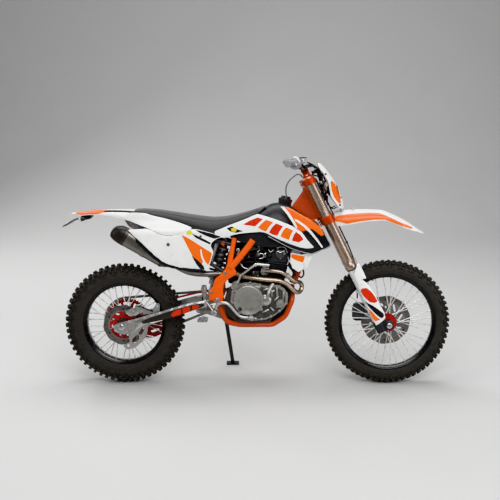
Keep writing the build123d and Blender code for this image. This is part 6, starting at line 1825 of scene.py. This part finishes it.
# airbox faces behind the shock and under the seat
sp = Soup()
ab = rounded([(-216, 806), (-236, 700), (-300, 676), (-430, 704), (-560, 800), (-600, 872), (-420, 880), (-250, 850)], 14)
panel(sp, ab, lambda x, z: -92.0, 172, 14, 0, 5)
for i in range(5):
    (a, b) = ((-250 - i * 30, 716 + i * 6), (-262 - i * 30, 800 + i * 6))
    tube(sp, [Vector((a[0], -93, a[1])), Vector(((a[0] + b[0]) / 2, -95, (a[1] + b[1]) / 2)), Vector((b[0], -93, b[1]))], 4, 8, 0)
sp.out("airbox_shell", "black", "chassis", 45, ["airbox"])

# exhaust header: first pipe out of the head, round the downtube and back
hx = lambda q, y: (PX([q], y)[0][0], y, PX([q], y)[0][1])
HP = [hx((265.2, 271.4), -78), hx((269.5, 270.9), -92), hx((275.4, 271.2), -98), hx((281.6, 272.4), -98), hx((287.2, 275.8), -94), hx((292.4, 280.0), -84),
      hx((297.0, 281.6), -64), hx((300.2, 282.6), -44), hx((301.8, 286.0), -36), hx((300.6, 290.6), -44), hx((297.2, 292.2), -64), hx((292.6, 289.6), -84),
      hx((286.4, 284.2), -98), hx((279.0, 281.0), -104), hx((268.0, 280.0), -106), hx((256.0, 278.6), -102), hx((244.0, 277.0), -90),
      (-100, -76, 629), (-170, -72, 628), (-230, -74, 628), (-292, -82, 629), (-340, -106, 638), (-380, -120, 653), (-452, -128, 694)]
sp = Soup()
hp = catmull([Vector(p) for p in HP], 7)
k_mid = max(i for i, p in enumerate(hp) if p.x > -205)
tube(sp, hp[:k_mid + 1], [11.5 + 1.8 * sm((i - 40) / 40) for i in range(k_mid + 1)], 22, 0)
tube(sp, hp[k_mid:], [15.5] * (len(hp) - k_mid), 22, 3)
lathe(sp, hp[k_mid] + Vector((6, 0, 0)), (-1, 0, 0.02), [(0, 15.6), (0.5, 19), (22, 19), (22.5, 15.6)], 28, 3)
lathe(sp, Vector(HP[0]) + Vector((-4, 14, 0)), Vector((0.5, -1, 0)), [(0, 26), (8, 26), (10, 20), (18, 18), (19, 13)], 28, 1)
for i_ in (28, 126):
    d_ = (hp[i_ + 1] - hp[i_ - 1]).normalized()
    lathe(sp, hp[i_] - d_ * 5, d_, [(0, 12.5), (0.4, 15.6), (9.6, 15.6), (10, 12.5)], 26, 1)
for s_ in (-1, 1):
    hexbolt(sp, Vector(HP[0]) + Vector((s_ * 16, 4, s_ * 14)), (0.5, -1, 0), 5, 7, 2)
sp.out("header_shape", "titanium", "chassis", 50, ["header_pipe"], ["dull_silver", "bolt", "mid_pipe"])
sp = Soup()
wq = [(296.4, 271.6), (299.4, 269.2), (303, 270.2), (303.6, 274.4), (301.4, 277.4), (298.6, 276.0)]
tube(sp, catmull([Vector(hx(q, -66 + 3 * i)) for i, q in enumerate(wq)], 6), 4.4, 12, 0)
wq = [(287.6, 262), (290.6, 267), (293.6, 271), (294.6, 276)]
tube(sp, catmull([Vector(hx(q, -78)) for q in wq], 6), 9.5, 14, 0)
sp.out("coolant_hoses", "rubber", "chassis", 45, (), ["bolt"])

# radiators with fins behind the guards
for sgn, label in ((-1, "right"), (1, "left")):
    sp = Soup()
    y0, y1 = sgn * 48, sgn * 116
    ax, az = Vector((46, -148)), None
    core_q = [(198, 742), (244, 726), (290, 871), (245, 892)]
    front0, front1 = Vector((244, 726)), Vector((290, 871))
    back0, back1 = Vector((198, 742)), Vector((245, 892))
    holed(sp, [(198, 742), (244, 726), (249, 742), (203, 758)], [], y0, y1, 1)
    holed(sp, [(240, 876), (286, 857), (290, 871), (245, 892)], [], y0, y1, 1)
    holed(sp, [(208, 756), (240, 745), (278, 862), (246, 874)], [], y0 + sgn * 3, y1 - sgn * 3, 0)
    for i in range(26):
        t_ = (i + 0.5) / 26
        a = Vector((249, 742)).lerp(Vector((286, 857)), t_)
        b = Vector((203, 758)).lerp(Vector((240, 876)), t_)
        for c in (a, b):
            sp.add([Vector((c.x - 4, y0, c.y - 0.8)), Vector((c.x + 1, y0, c.y - 0.8)), Vector((c.x + 1, y0, c.y + 0.8)), Vector((c.x - 4, y0, c.y + 0.8)),
                    Vector((c.x - 4, y1, c.y - 0.8)), Vector((c.x + 1, y1, c.y - 0.8)), Vector((c.x + 1, y1, c.y + 0.8)), Vector((c.x - 4, y1, c.y + 0.8))],
                   [(0, 1, 2, 3), (4, 7, 6, 5), (0, 4, 5, 1), (1, 5, 6, 2), (2, 6, 7, 3), (3, 7, 4, 0)], 0)
    for yy in (y0 + sgn * 2, y1 - sgn * 2):
        holed(sp, [(203, 758), (249, 742), (286, 857), (240, 876)], [], yy - 2, yy + 2, 1)
    sp.out("radiator_" + label, "radiator", "chassis", 30, ["radiators"] if sgn < 0 else (), ["dull_silver"])

# kick lever and brake pedal
sp = Soup()
kl = PX([(233.6, 287), (236.8, 284.0), (239.2, 279.4), (241.0, 275.4), (245.4, 271.8), (251.2, 267.6), (256.4, 264.4), (262, 264.8), (268.8, 265.4)], -112)
kp = catmull([Vector((x, -108 - 10 * math.sin(min(1, i / 8) * pi), z)) for i, (x, z) in enumerate(kl)], 6)
tube(sp, kp, [10.5 - 2.0 * min(1, i / 14) for i in range(len(kp))], 14, 0, flat=0.85)
lathe(sp, (kl[0][0], -92, kl[0][1]), (0, -1, 0), [(0, 15), (20, 15), (22, 12), (26, 12), (27, 6)], 24, 0)
cyl(sp, kp[-12], kp[-1] + (kp[-1] - kp[-2]).normalized() * 2, 9.6, 16, 0)
lathe(sp, kp[-14] + Vector((0, 8, 0)), (0, -1, 0), [(0, 9), (14, 9), (15, 6)], 18, 1)
sp.out("kick_lever_shape", "silver", "chassis", 45, ["kick_lever"], ["bolt"])
sp = Soup()
bp = PX([(215.6, 309.4), (217.4, 305.2), (221.4, 303.0), (226.6, 303.2), (231, 306.6), (235, 311.4), (239.4, 315.6), (244.4, 317.2), (250.6, 317.4)], -146)
bpp = catmull([Vector((x, -134 - 12 * sm(i / 3), z)) for i, (x, z) in enumerate(bp)], 6)
tube(sp, bpp, [12.0 - 2.6 * i / len(bpp) for i in range(len(bpp))], 16, 0, flat=0.8)
e = bpp[-1]
panel(sp, rounded([(e.x - 16, e.z - 8), (e.x + 20, e.z - 7), (e.x + 22, e.z + 7), (e.x - 14, e.z + 8)], 4), lambda x, z: -166.0, 26, 7, 0, 2)
for i in range(4):
    x = e.x - 12 + i * 9
    cyl(sp, (x, -164, e.z + 7), (x, -142, e.z + 7), 2.4, 8, 1)
lathe(sp, (-222, -122, 420), (0, -1, 0), [(0, 15), (18, 15), (20, 12), (23, 12), (23.5, 6)], 24, 0)
sp.out("brake_pedal_shape", "silver", "chassis", 45, ["brake_pedal"], ["bolt"])

# solid faces inside the brake rings
sp = Soup()
hs = []
for i in range(8):
    a = 2 * pi * i / 8
    b = a + 0.30
    hs.append(oval_pts((XF + 72 * math.cos(a), ZF + 72 * math.sin(a)), (XF + 94 * math.cos(b), ZF + 94 * math.sin(b)), 5.5, 6))
holed(sp, circle_pts(XF, ZF, 112, 72), hs + [circle_pts(XF, ZF, 22, 32)], 41.0, 43.2, 0)
sp.out("front_disc_face", "disc_face", "front_wheel", 35)
sp = Soup()
hs = []
for i in range(10):
    a = 2 * pi * i / 10
    b = a + 0.26
    hs.append(oval_pts((XR + 60 * math.cos(a), ZR + 60 * math.sin(a)), (XR + 74 * math.cos(b), ZR + 74 * math.sin(b)), 5.0, 6))
holed(sp, circle_pts(XR, ZR, 88, 64), [circle_pts(XR, ZR, 76, 48)], -61.2, -59.2, 1)
holed(sp, circle_pts(XR, ZR, 77, 64), hs + [circle_pts(XR, ZR, 42, 40)], -62.4, -59.0, 0)
sp.out("rear_disc_face", "hub_plastic", "rear_wheel", 35, (), ["disc_face"])

# ------------------------------------------------------------------ bars, clamps, controls
ax_s = Vector((-SE, 0, CE))
fw_s = Vector((CE, 0, SE))
BARS = [Vector((176, -405, 1233)), Vector((243, -168, 1237)), S(26, -62, 60), S(26, 62, 60), Vector((243, 168, 1237)), Vector((176, 405, 1233))]


def bar_path():
    out = [BARS[0]]
    for a, b, c in zip(BARS, BARS[1:], BARS[2:]):
        r_ = min(46.0, (b - a).length * 0.42, (c - b).length * 0.42)
        p, q = b + (a - b).normalized() * r_, b + (c - b).normalized() * r_
        for i in range(9):
            t = i / 8
            out.append(p * (1 - t) ** 2 + b * 2 * t * (1 - t) + q * t * t)
    out.append(BARS[-1])
    return out


sp = Soup()
tube(sp, bar_path(), 11, 20, 0)
sp.out("handlebar_tube", "dark_paint", "steering", 50, ["handlebar"])
sp = Soup()
pad_a, pad_b = S(34, -58, 66), S(34, 58, 66)
for w_, v_ in ((0, 0),):
    c_ = [Vector((0, math.copysign(abs(math.cos(a)) ** 0.5, math.cos(a)) * 17, math.copysign(abs(math.sin(a)) ** 0.5, math.sin(a)) * 12))
          for a in [2 * pi * k / 24 for k in range(24)]]
for s_ in (-1, 1):
    for u_, w_ in ((12, 56), (40, 56)):
        hexbolt(sp, S(u_, s_ * 38, w_), ax_s, 4.5, 6, 1)
for v_ in (-38, 38):
    for k in (-1, 1):
        cyl(sp, S(26, v_ - 13, 60), S(26, v_ + 13, 60), 19, 28, 0)
    for u0, u1, w0, w1 in ((8, 44, 18, 57), (8, 44, 60, 72)):
        vs = [S(u, v_ + vv, w) for u in (u0, u1) for vv in (-13, 13) for w in (w0, w1)]
        sp.add(vs, [(0, 1, 3, 2), (4, 6, 7, 5), (0, 4, 5, 1), (2, 3, 7, 6), (0, 2, 6, 4), (1, 5, 7, 3)], 0)
sp.out("bar_clamp_blocks", "clamp", "steering", 40, (), ["bolt"])

# triple clamps
for nm, w0, w1, core_w, rad in (("upper", -17.0, 17.0, 54, 34.5), ("lower", -251.0, -209.0, 60, 37.0)):
    sp = Soup()
    for s_ in (-1, 1):
        lathe(sp, S(22, s_ * 100, w0), ax_s, [(0, rad - 2), (2, rad), (w1 - w0 - 2, rad), (w1 - w0, rad - 2), (w1 - w0, 30.2), (0, 30.2)], 48, 0, closed=True)
        for k in ((w0 * 0.7 + w1 * 0.3), (w0 * 0.3 + w1 * 0.7)):
            cyl(sp, S(-9, s_ * 60, k), S(-9, s_ * 96, k), 8.5, 16, 0)
            hexbolt(sp, S(-9, s_ * 96, k), (0, s_, 0), 4.6, 4, 1)
    out_ = []
    for v_, u_ in ((-76, -2), (-40, -11), (-15, -28), (15, -28), (40, -11), (76, -2), (76, 46), (40, 38), (0, 30), (-40, 38), (-76, 46)):
        out_.append((u_, v_))
    rp = rounded([Vector(q) for q in out_], 9)
    m_ = len(rp)
    vs = [S(p[0], p[1], w0 + 3) for p in rp] + [S(p[0], p[1], w1 - 3) for p in rp]
    vs2 = [S(p[0] * 0.96 + 0.2, p[1] * 0.99, w0) for p in rp] + [S(p[0] * 0.96 + 0.2, p[1] * 0.99, w1) for p in rp]
    fs = [(j, (j + 1) % m_, m_ + (j + 1) % m_, m_ + j) for j in range(m_)]
    fs += [(2 * m_ + j, 2 * m_ + (j + 1) % m_, (j + 1) % m_, j) for j in range(m_)]
    fs += [(m_ + j, m_ + (j + 1) % m_, 3 * m_ + (j + 1) % m_, 3 * m_ + j) for j in range(m_)]
    fs += [tuple(range(2 * m_, 3 * m_))[::-1], tuple(range(3 * m_, 4 * m_))]
    sp.add(vs + vs2, fs, 0)
    if nm == "upper":
        lathe(sp, S(0, 0, 17), ax_s, [(0, 21), (3, 21), (5, 19), (5, 14), (9, 13), (9, 4)], 6, 1)
        for s_ in (-1, 1):
            lathe(sp, S(22, s_ * 100, 17.5), ax_s, [(0, 27), (5, 26), (7, 23), (7, 10), (10, 9), (10, 3)], 36, 2)
    sp.out(nm + "_clamp_shape", "clamp", "steering", 40, [nm + "_clamp"], ["bolt", "bronze"])

# grips with ribs, levers, master cylinder
for s_, label in ((-1, "right"), (1, "left")):
    a, b = Vector((243, s_ * 168, 1237)), Vector((176, s_ * 405, 1233))
    d = (b - a).normalized()
    L = (b - a).length
    sp = Soup()
    prof = [(0.46 * L - 4, 15), (0.46 * L - 4, 24), (0.46 * L - 1, 24.2), (0.46 * L, 18.5)]
    t0 = 0.46 * L + 2
    while t0 < L - 5:
        prof += [(t0, 16.5), (t0 + 1.2, 17.4), (t0 + 3.2, 17.4), (t0 + 4.4, 16.5)]
        t0 += 5.2
    prof += [(L - 1, 18), (L + 2, 18), (L + 3, 16), (L + 3, 6)]
    lathe(sp, a, d, prof, 32, 0)
    sp.out("grip_" + label, "grip", "steering", 40, ["grips"] if s_ < 0 else ())
    p0, p1 = a + (b - a) * 0.16, a + (b - a) * 0.27
    sp = Soup()
    lathe(sp, p0, d, [(0, 11.2), (0, 17), (1, 18), (25, 18), (26, 17), (26, 11.2)], 28, 0, closed=True)
    m0 = Vector((p0.x + 26, p0.y - s_ * 22, p0.z + 8))
    m1 = Vector((p1.x + 30, p1.y + s_ * 4, p1.z + 8))
    lathe(sp, m0, m1 - m0, [(0, 7), (2, 11), (14, 11), (15, 9.5), (30, 9.5), (31, 11.5), ((m1 - m0).length, 11)], 24, 0)
    cyl(sp, Vector((p0.x + 8, p0.y + s_ * 8, p0.z + 6)), Vector((p0.x + 28, p0.y + s_ * 8, p0.z + 8)), 9, 16, 0)
    if s_ < 0:
        th = a + d * (0.46 * L - 34)
        lathe(sp, th, d, [(0, 17), (2, 30), (8, 34), (22, 34), (26, 31), (30, 24)], 36, 0)
        lathe(sp, th + Vector((10, 0, -14)), (0.8, 0, -0.6), [(0, 12), (24, 11), (25, 8), (40, 6)], 16, 1)
    if s_ < 0:
        x0, x1, y0, y1, z0, z1 = p0.x + 8, p0.x + 44, p0.y - 20, p0.y + 24, p0.z + 10, p0.z + 29
        pr = rounded([(x0, y0), (x1, y0), (x1, y1), (x0, y1)], 8)
        m_ = len(pr)
        for (za, zb, k, mi) in ((z0, z1 - 6, 1.0, 0), (z1 - 6, z1, 1.06, 1)):
            vs = [Vector(((q[0] - (x0 + x1) / 2) * k + (x0 + x1) / 2, (q[1] - (y0 + y1) / 2) * k + (y0 + y1) / 2, z_)) for z_ in (za, zb) for q in pr]
            sp.add(vs, [tuple(range(m_))[::-1], tuple(range(m_, 2 * m_))] + [(j, (j + 1) % m_, m_ + (j + 1) % m_, m_ + j) for j in range(m_)], mi)
        for q in ((x0 + 6, y0 + 6), (x1 - 6, y1 - 6)):
            hexbolt(sp, (q[0], q[1], z1), (0, 0, 1), 3, 2.5, 2)
    lv = catmull([Vector((p1.x + 30, p1.y + s_ * 2, p1.z + 6)), Vector((p1.x + 41, p1.y + s_ * 26, p1.z + 4)), Vector((p1.x + 38, p1.y + s_ * 56, p1.z + 2)),
                  Vector((p1.x + 22, p1.y + s_ * 104, p1.z - 2)), Vector((p1.x + 2, p1.y + s_ * 150, p1.z - 6)), Vector((p1.x - 6, p1.y + s_ * 170, p1.z - 8))], 7)
    tube(sp, lv, [7.5 - 2.5 * min(1, i / 12) for i in range(len(lv))], 14, 0, flat=0.62, side=(1, 0, 0))
    cyl(sp, lv[-1] - Vector((4, 0, 0)), lv[-1] + Vector((4, 0, 0)), 7.5, 16, 0)
    hexbolt(sp, lv[1] + Vector((0, 0, 6)), (0, 0, 1), 5, 4, 2)
    sp.out("lever_" + label, "dull_silver", "steering", 40, ["control_levers"] if s_ < 0 else (), ["dark_steel", "bolt"])

# instrument, throttle cables and wiring behind the mask
sp = Soup()
ins = rounded([(-22, -36), (22, -36), (22, 36), (-22, 36)], 8)
m_ = len(ins)
base = lambda u, v, w: S(78 + u, v, 30 + w)
vs = [base(p[0] * k, p[1] * k, w) for w, k in ((-8.5, 0.94), (-5, 1.0), (6, 1.0), (8.6, 0.94)) for p in ins]
sp.add(vs, [(q * m_ + j, q * m_ + (j + 1) % m_, (q + 1) * m_ + (j + 1) % m_, (q + 1) * m_ + j) for q in range(3) for j in range(m_)]
       + [tuple(range(m_))[::-1], tuple(range(3 * m_, 4 * m_))], 0)
scr = rounded([(-13, -24), (13, -24), (13, 24), (-13, 24)], 4)
sp.add([base(p[0], p[1], 8.9) for p in scr], [tuple(range(len(scr)))], 1)
sp.out("instrument_body", "black", "steering", 40, (), ["graphic_grey"])
sp = Soup()
for k, (v0, path) in enumerate((
        (0, [S(30, -120, 84), S(70, -92, 74), S(88, -48, 44), S(86, -30, 0), S(70, -24, -50), S(52, -40, -110)]),
        (1, [S(34, -132, 78), S(78, -104, 62), S(96, -60, 30), S(92, -42, -16), S(76, -34, -66), S(54, -44, -120)]),
        (2, [S(30, 122, 80), S(76, 96, 70), S(92, 54, 38), S(90, 30, -6), S(74, 22, -56), S(50, 34, -112)]),
        (3, [S(60, -20, 30), S(96, -16, 10), S(104, -10, -30), S(96, 0, -70), S(70, 8, -110), S(50, 10, -140)]),
        (4, [S(52, 20, 22), S(84, 20, -10), S(92, 14, -50), S(80, 6, -96), S(58, -6, -140)]))):
    tube(sp, catmull(path, 8), 4.6 if k < 3 else 3.6, 10, 0)
for (u, v, w) in ((96, -30, 12), (100, -34, -22), (88, -44, -50), (72, -50, -92), (84, -56, 40)):
    lathe(sp, S(u, v, w), ax_s, [(0, 5.2), (1, 6.6), (9, 6.6), (10, 5.2)], 14, 1)
for w in (-40, -84):
    vs = [S(u, v, w + k) for k in (-3, 3) for u, v in ((60, -58), (98, -52), (98, 40), (60, 40))]
    sp.add(vs, [(0, 1, 2, 3), (4, 7, 6, 5), (0, 4, 5, 1), (1, 5, 6, 2), (2, 6, 7, 3), (3, 7, 4, 0)], 0)
sp.out("bar_cables", "rubber", "steering", 40, (), ["bolt"])

sp = Soup()
(xl, zl_), = PX([(325.0, 186.4)], -46)
lathe(sp, (xl - 12, -46, zl_ + 4), (1, 0, -0.25), [(0, 8), (1, 15), (10, 26), (22, 29), (26, 27)], 28, 0)
(xl, zl_), = PX([(321.6, 182.4)], -52)
lathe(sp, (xl, -52, zl_), (0, -1, 0), [(0, 10), (6, 10), (8, 7), (8, 3)], 20, 0)
sp.out("lamp_socket", "silver", "steering", 40, (), ["rubber"])

# front brake hose down the left leg
hp_ = [S(56, -150, 96), S(76, -96, 74), S(84, -20, 30), S(76, 66, -60), S(66, 104, -160), S(66, 104, -470), S(46, 66, -590), S(-20, 62, -722)]
fine_ = [hp_[0]]
for a, b, c in zip(hp_, hp_[1:], hp_[2:]):
    r_ = min(60.0, (b - a).length * 0.45, (c - b).length * 0.45)
    p, q = b + (a - b).normalized() * r_, b + (c - b).normalized() * r_
    fine_ += [p * (1 - t) ** 2 + b * 2 * t * (1 - t) + q * t * t for t in (0, .2, .4, .6, .8, 1)]
fine_.append(hp_[-1])
sp = Soup()
tube(sp, fine_, 3.8, 12, 0)
for w in (-180, -300, -420):
    lathe(sp, S(66, 104, w), ax_s, [(0, 4), (1, 7), (12, 7), (13, 4)], 14, 1)
sp.out("front_brake_line", "rubber", "steering", 50, ["front_brake_hose"], ["dark_steel"])

# front caliper on its bracket
sp = Soup()
co = rounded([(547, 352), (566, 341), (600, 342), (626, 352), (627, 402), (616, 434), (590, 445), (556, 440), (547, 420)], 9)
panel(sp, co, lambda x, z: 73.6, 23.5, 8, 0, 4, 6)
ci = rounded([(547, 366), (566, 356), (604, 360), (618, 384), (612, 424), (588, 442), (556, 438)], 8)
panel(sp, ci, lambda x, z: 28.4, 6.5, 8, 0, 1.5, 5)
for q in ((574, 372), (590, 412)):
    lathe(sp, (q[0], 72, q[1]), (0, 1, 0), [(0, 16), (1.6, 16), (1.8, 13), (0.8, 12), (0.8, 4)], 24, 0)
for q in ((556, 352), (560, 432), (618, 360), (606, 436)):
    hexbolt(sp, (q[0], 73.6, q[1]), (0, 1, 0), 4.4, 5, 1)
holed(sp, rounded([(600, 440), (638, 444), (666, 392), (688, 332), (662, 324), (630, 344)], 5), [circle_pts(640, 400, 9, 16), circle_pts(654, 364, 7, 16)],
      60.5, 73.5, 2)
cyl(sp, (570, 40, 442), (570, 60, 442), 6, 14, 1)
sp.out("front_caliper_shape", "dark_cast", "steering", 38, ["front_caliper"], ["bolt", "dull_silver"])

# tank cap, gear lever, foot rests
sp = Soup()
d = Vector((0.19, 0, 0.98)).normalized()
lathe(sp, (163, 0, 1000), d, [(0, 36), (20, 36.4), (30, 36.8), (36, 36), (38, 33), (38, 27.5), (44, 27), (49, 25), (50.5, 21), (50.5, 5)], 48, 0)
for i in range(16):
    a = 2 * pi * i / 16
    x_, y_, d_ = frame_of(d)
    p = Vector((163, 0, 1000)) + d * 22 + (x_ * math.cos(a) + y_ * math.sin(a)) * 36
    cyl(sp, p, p + d * 13, 2.2, 8, 0)
cyl(sp, Vector((163, 0, 1000)) + d * 50, Vector((163, 0, 1000)) + d * 53, 5, 14, 1)
sp.out("tank_cap_shape", "black", "chassis", 40, ["tank_cap"], ["dull_silver"])
sp = Soup()
gl = catmull([Vector((-84, 124, 420)), Vector((-66, 130, 416)), Vector((-30, 134, 403)), Vector((10, 141, 402)), Vector((46, 146, 404))], 6)
tube(sp, gl, [8.5 - 2.5 * i / len(gl) for i in range(len(gl))], 14, 0, flat=0.8)
lathe(sp, (-84, 90, 420), (0, 1, 0), [(0, 8), (28, 8), (29, 12.5), (43, 12.5), (44, 8)], 20, 0)
lathe(sp, (46, 139, 404), (0, 1, 0), [(0, 6), (1, 8.6), (6, 8.6), (7, 7.4), (12, 8.6), (13, 7.4), (18, 8.6), (19, 7.4), (24, 8.6), (25, 7.4), (30, 8.6),
                                      (31, 7.4), (36, 8.2), (37, 5)], 16, 1)
hexbolt(sp, (-84, 134, 420), (0, 1, 0), 5, 4, 2)
sp.out("gear_lever_shape", "silver", "chassis", 40, ["gear_lever"], ["rubber", "bolt"])
for s_, label in ((-1, "right"), (1, "left")):
    sp = Soup()
    xs, ys = (-306, -254), (139, 213)
    def bar(p, q, w, h, mi=0):
        p, q = Vector(p), Vector(q)
        dd = (q - p).normalized()
        sd = dd.cross(Vector((0, 0, 1))).normalized() * w / 2
        up = Vector((0, 0, h / 2))
        vs = [e + k1 * sd + k2 * up for e in (p, q) for k1 in (-1, 1) for k2 in (-1, 1)]
        sp.add(vs, [(0, 1, 3, 2), (4, 6, 7, 5), (0, 4, 5, 1), (2, 3, 7, 6), (0, 2, 6, 4), (1, 5, 7, 3)], mi)
    for x in (-303, -280, -257):
        bar((x, s_ * 139, 393), (x, s_ * 213, 393), 5.5, 14)
    for y in (141.5, 176, 210.5):
        bar((-305.5, s_ * y, 393), (-254.5, s_ * y, 393), 5, 14)
    for y in range(146, 212, 8):
        for x in (-303, -280, -257):
            cyl(sp, (x, s_ * y, 399), (x, s_ * y, 403.5), 2.8, 8, 0, r2=1.0)
    lathe(sp, (-280, s_ * 127, 394), (0, s_, 0), [(0, 10), (2, 12), (14, 12), (15, 9)], 20, 0)
    hexbolt(sp, (-280, s_ * 127, 394), (0, -s_, 0), 5, 1.5, 1)
    sp.out("footpeg_" + label, "dull_silver", "chassis", 35, ["footpegs"] if s_ < 0 else (), ["bolt"])

# breather hose from the tank cap to the head of the stem
route = [(174.2, 0, 1049), (167, 0, 1090), (188, 0, 1135), (212, 0, 1156), (234.4, 0, 1171.8), (256.9, 0, 1165.8), tuple(S(0, 0, 22))]
cu = bpy.data.curves.new("breather_line", "CURVE")
cu.dimensions = "3D"
spl = cu.splines.new("NURBS")
spl.points.add(len(route) - 1)
for pt, q in zip(spl.points, route):
    w_ = W(q)
    pt.co = (w_.x, w_.y, w_.z, 1.0)
spl.order_u = 3
spl.use_endpoint_u = True
spl.resolution_u = 12
cu.bevel_depth = 0.0035
cu.bevel_resolution = 4
cu.use_fill_caps = True
cu.materials.append(M["hose"])
breather = bpy.data.objects.new("breather_line", cu)
scene.collection.objects.link(breather)
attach(breather, "chassis")
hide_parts("breather_hose")

# ------------------------------------------------------------------ finish of the construction nodes that stay in sight
node_mat = {
    "steering_head": "frame", "frame_trunks": "frame", "frame_cradle": "gusset", "subframe": "dark_paint",
    "footpegs": "dull_silver", "side_stand": "dark_paint", "shock_spring": "dark_paint", "upper_clamp": "clamp",
    "lower_clamp": "clamp", "fork_tubes": "bronze", "fork_sliders": "dull_silver", "front_axle": "bolt",
    "rear_axle": "bolt", "swingarm": "silver", "shock_absorber": "dull_silver", "brake_pedal": "silver",
    "gear_lever": "silver", "kick_lever": "silver", "front_caliper": "dull_silver", "rear_caliper": "silver",
    "control_levers": "dull_silver", "radiators": "radiator", "crankcase": "cast", "cylinder_head": "cast",
    "clutch_cover": "cover", "magneto_cover": "cover", "cylinder": "dark_cast", "header_pipe": "titanium",
    "silencer": "can", "front_fender": "orange", "headlight_mask": "orange", "side_panels": "white",
    "rear_fender": "white", "fork_guards": "white", "shrouds": "orange", "tank": "black", "tank_cap": "black",
    "airbox": "black", "chain_guide": "graphic_red", "headlight": "lens", "tail_light": "red_lens", "handlebar": "dark_paint",
    "chain": "chain", "grips": "grip", "intake": "rubber", "breather_hose": "hose", "front_brake_hose": "rubber",
    "seat": "seat",
}
for name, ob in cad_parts.items():
    if name in node_mat:
        ob.data.materials.clear()
        ob.data.materials.append(M[node_mat[name]])

FLOOR_MARK = True
bm_floor = bpy.data.meshes.new("floor")
prof = [(-14.0, 9.0)] + [(-10.8 - 3.2 * math.sin((pi / 2) * i / 24), 3.2 - 3.2 * math.cos((pi / 2) * i / 24)) for i in range(24, 0, -1)]
prof += [(-10.8, 0.0), (-6.0, 0.0), (0.0, 0.0), (3.0, 0.0)]
for i in range(1, 25):
    a = (pi / 2) * i / 24
    prof.append((3.0 + 3.2 * math.sin(a), 3.2 - 3.2 * math.cos(a)))
prof.append((6.2, 9.0))
fv = [(x, y, z) for y, z in prof for x in (-14.0, 14.0)]
bm_floor.from_pydata(fv, [], [(2 * i, 2 * i + 1, 2 * i + 3, 2 * i + 2) for i in range(len(prof) - 1)])
for pl in bm_floor.polygons:
    pl.use_smooth = True
bm_floor.materials.append(M["floor"])
floor = bpy.data.objects.new("floor", bm_floor)
scene.collection.objects.link(floor)

scene.view_settings.view_transform = "Khronos PBR Neutral"
scene.view_settings.look = "None"
scene.view_settings.exposure = 0.0
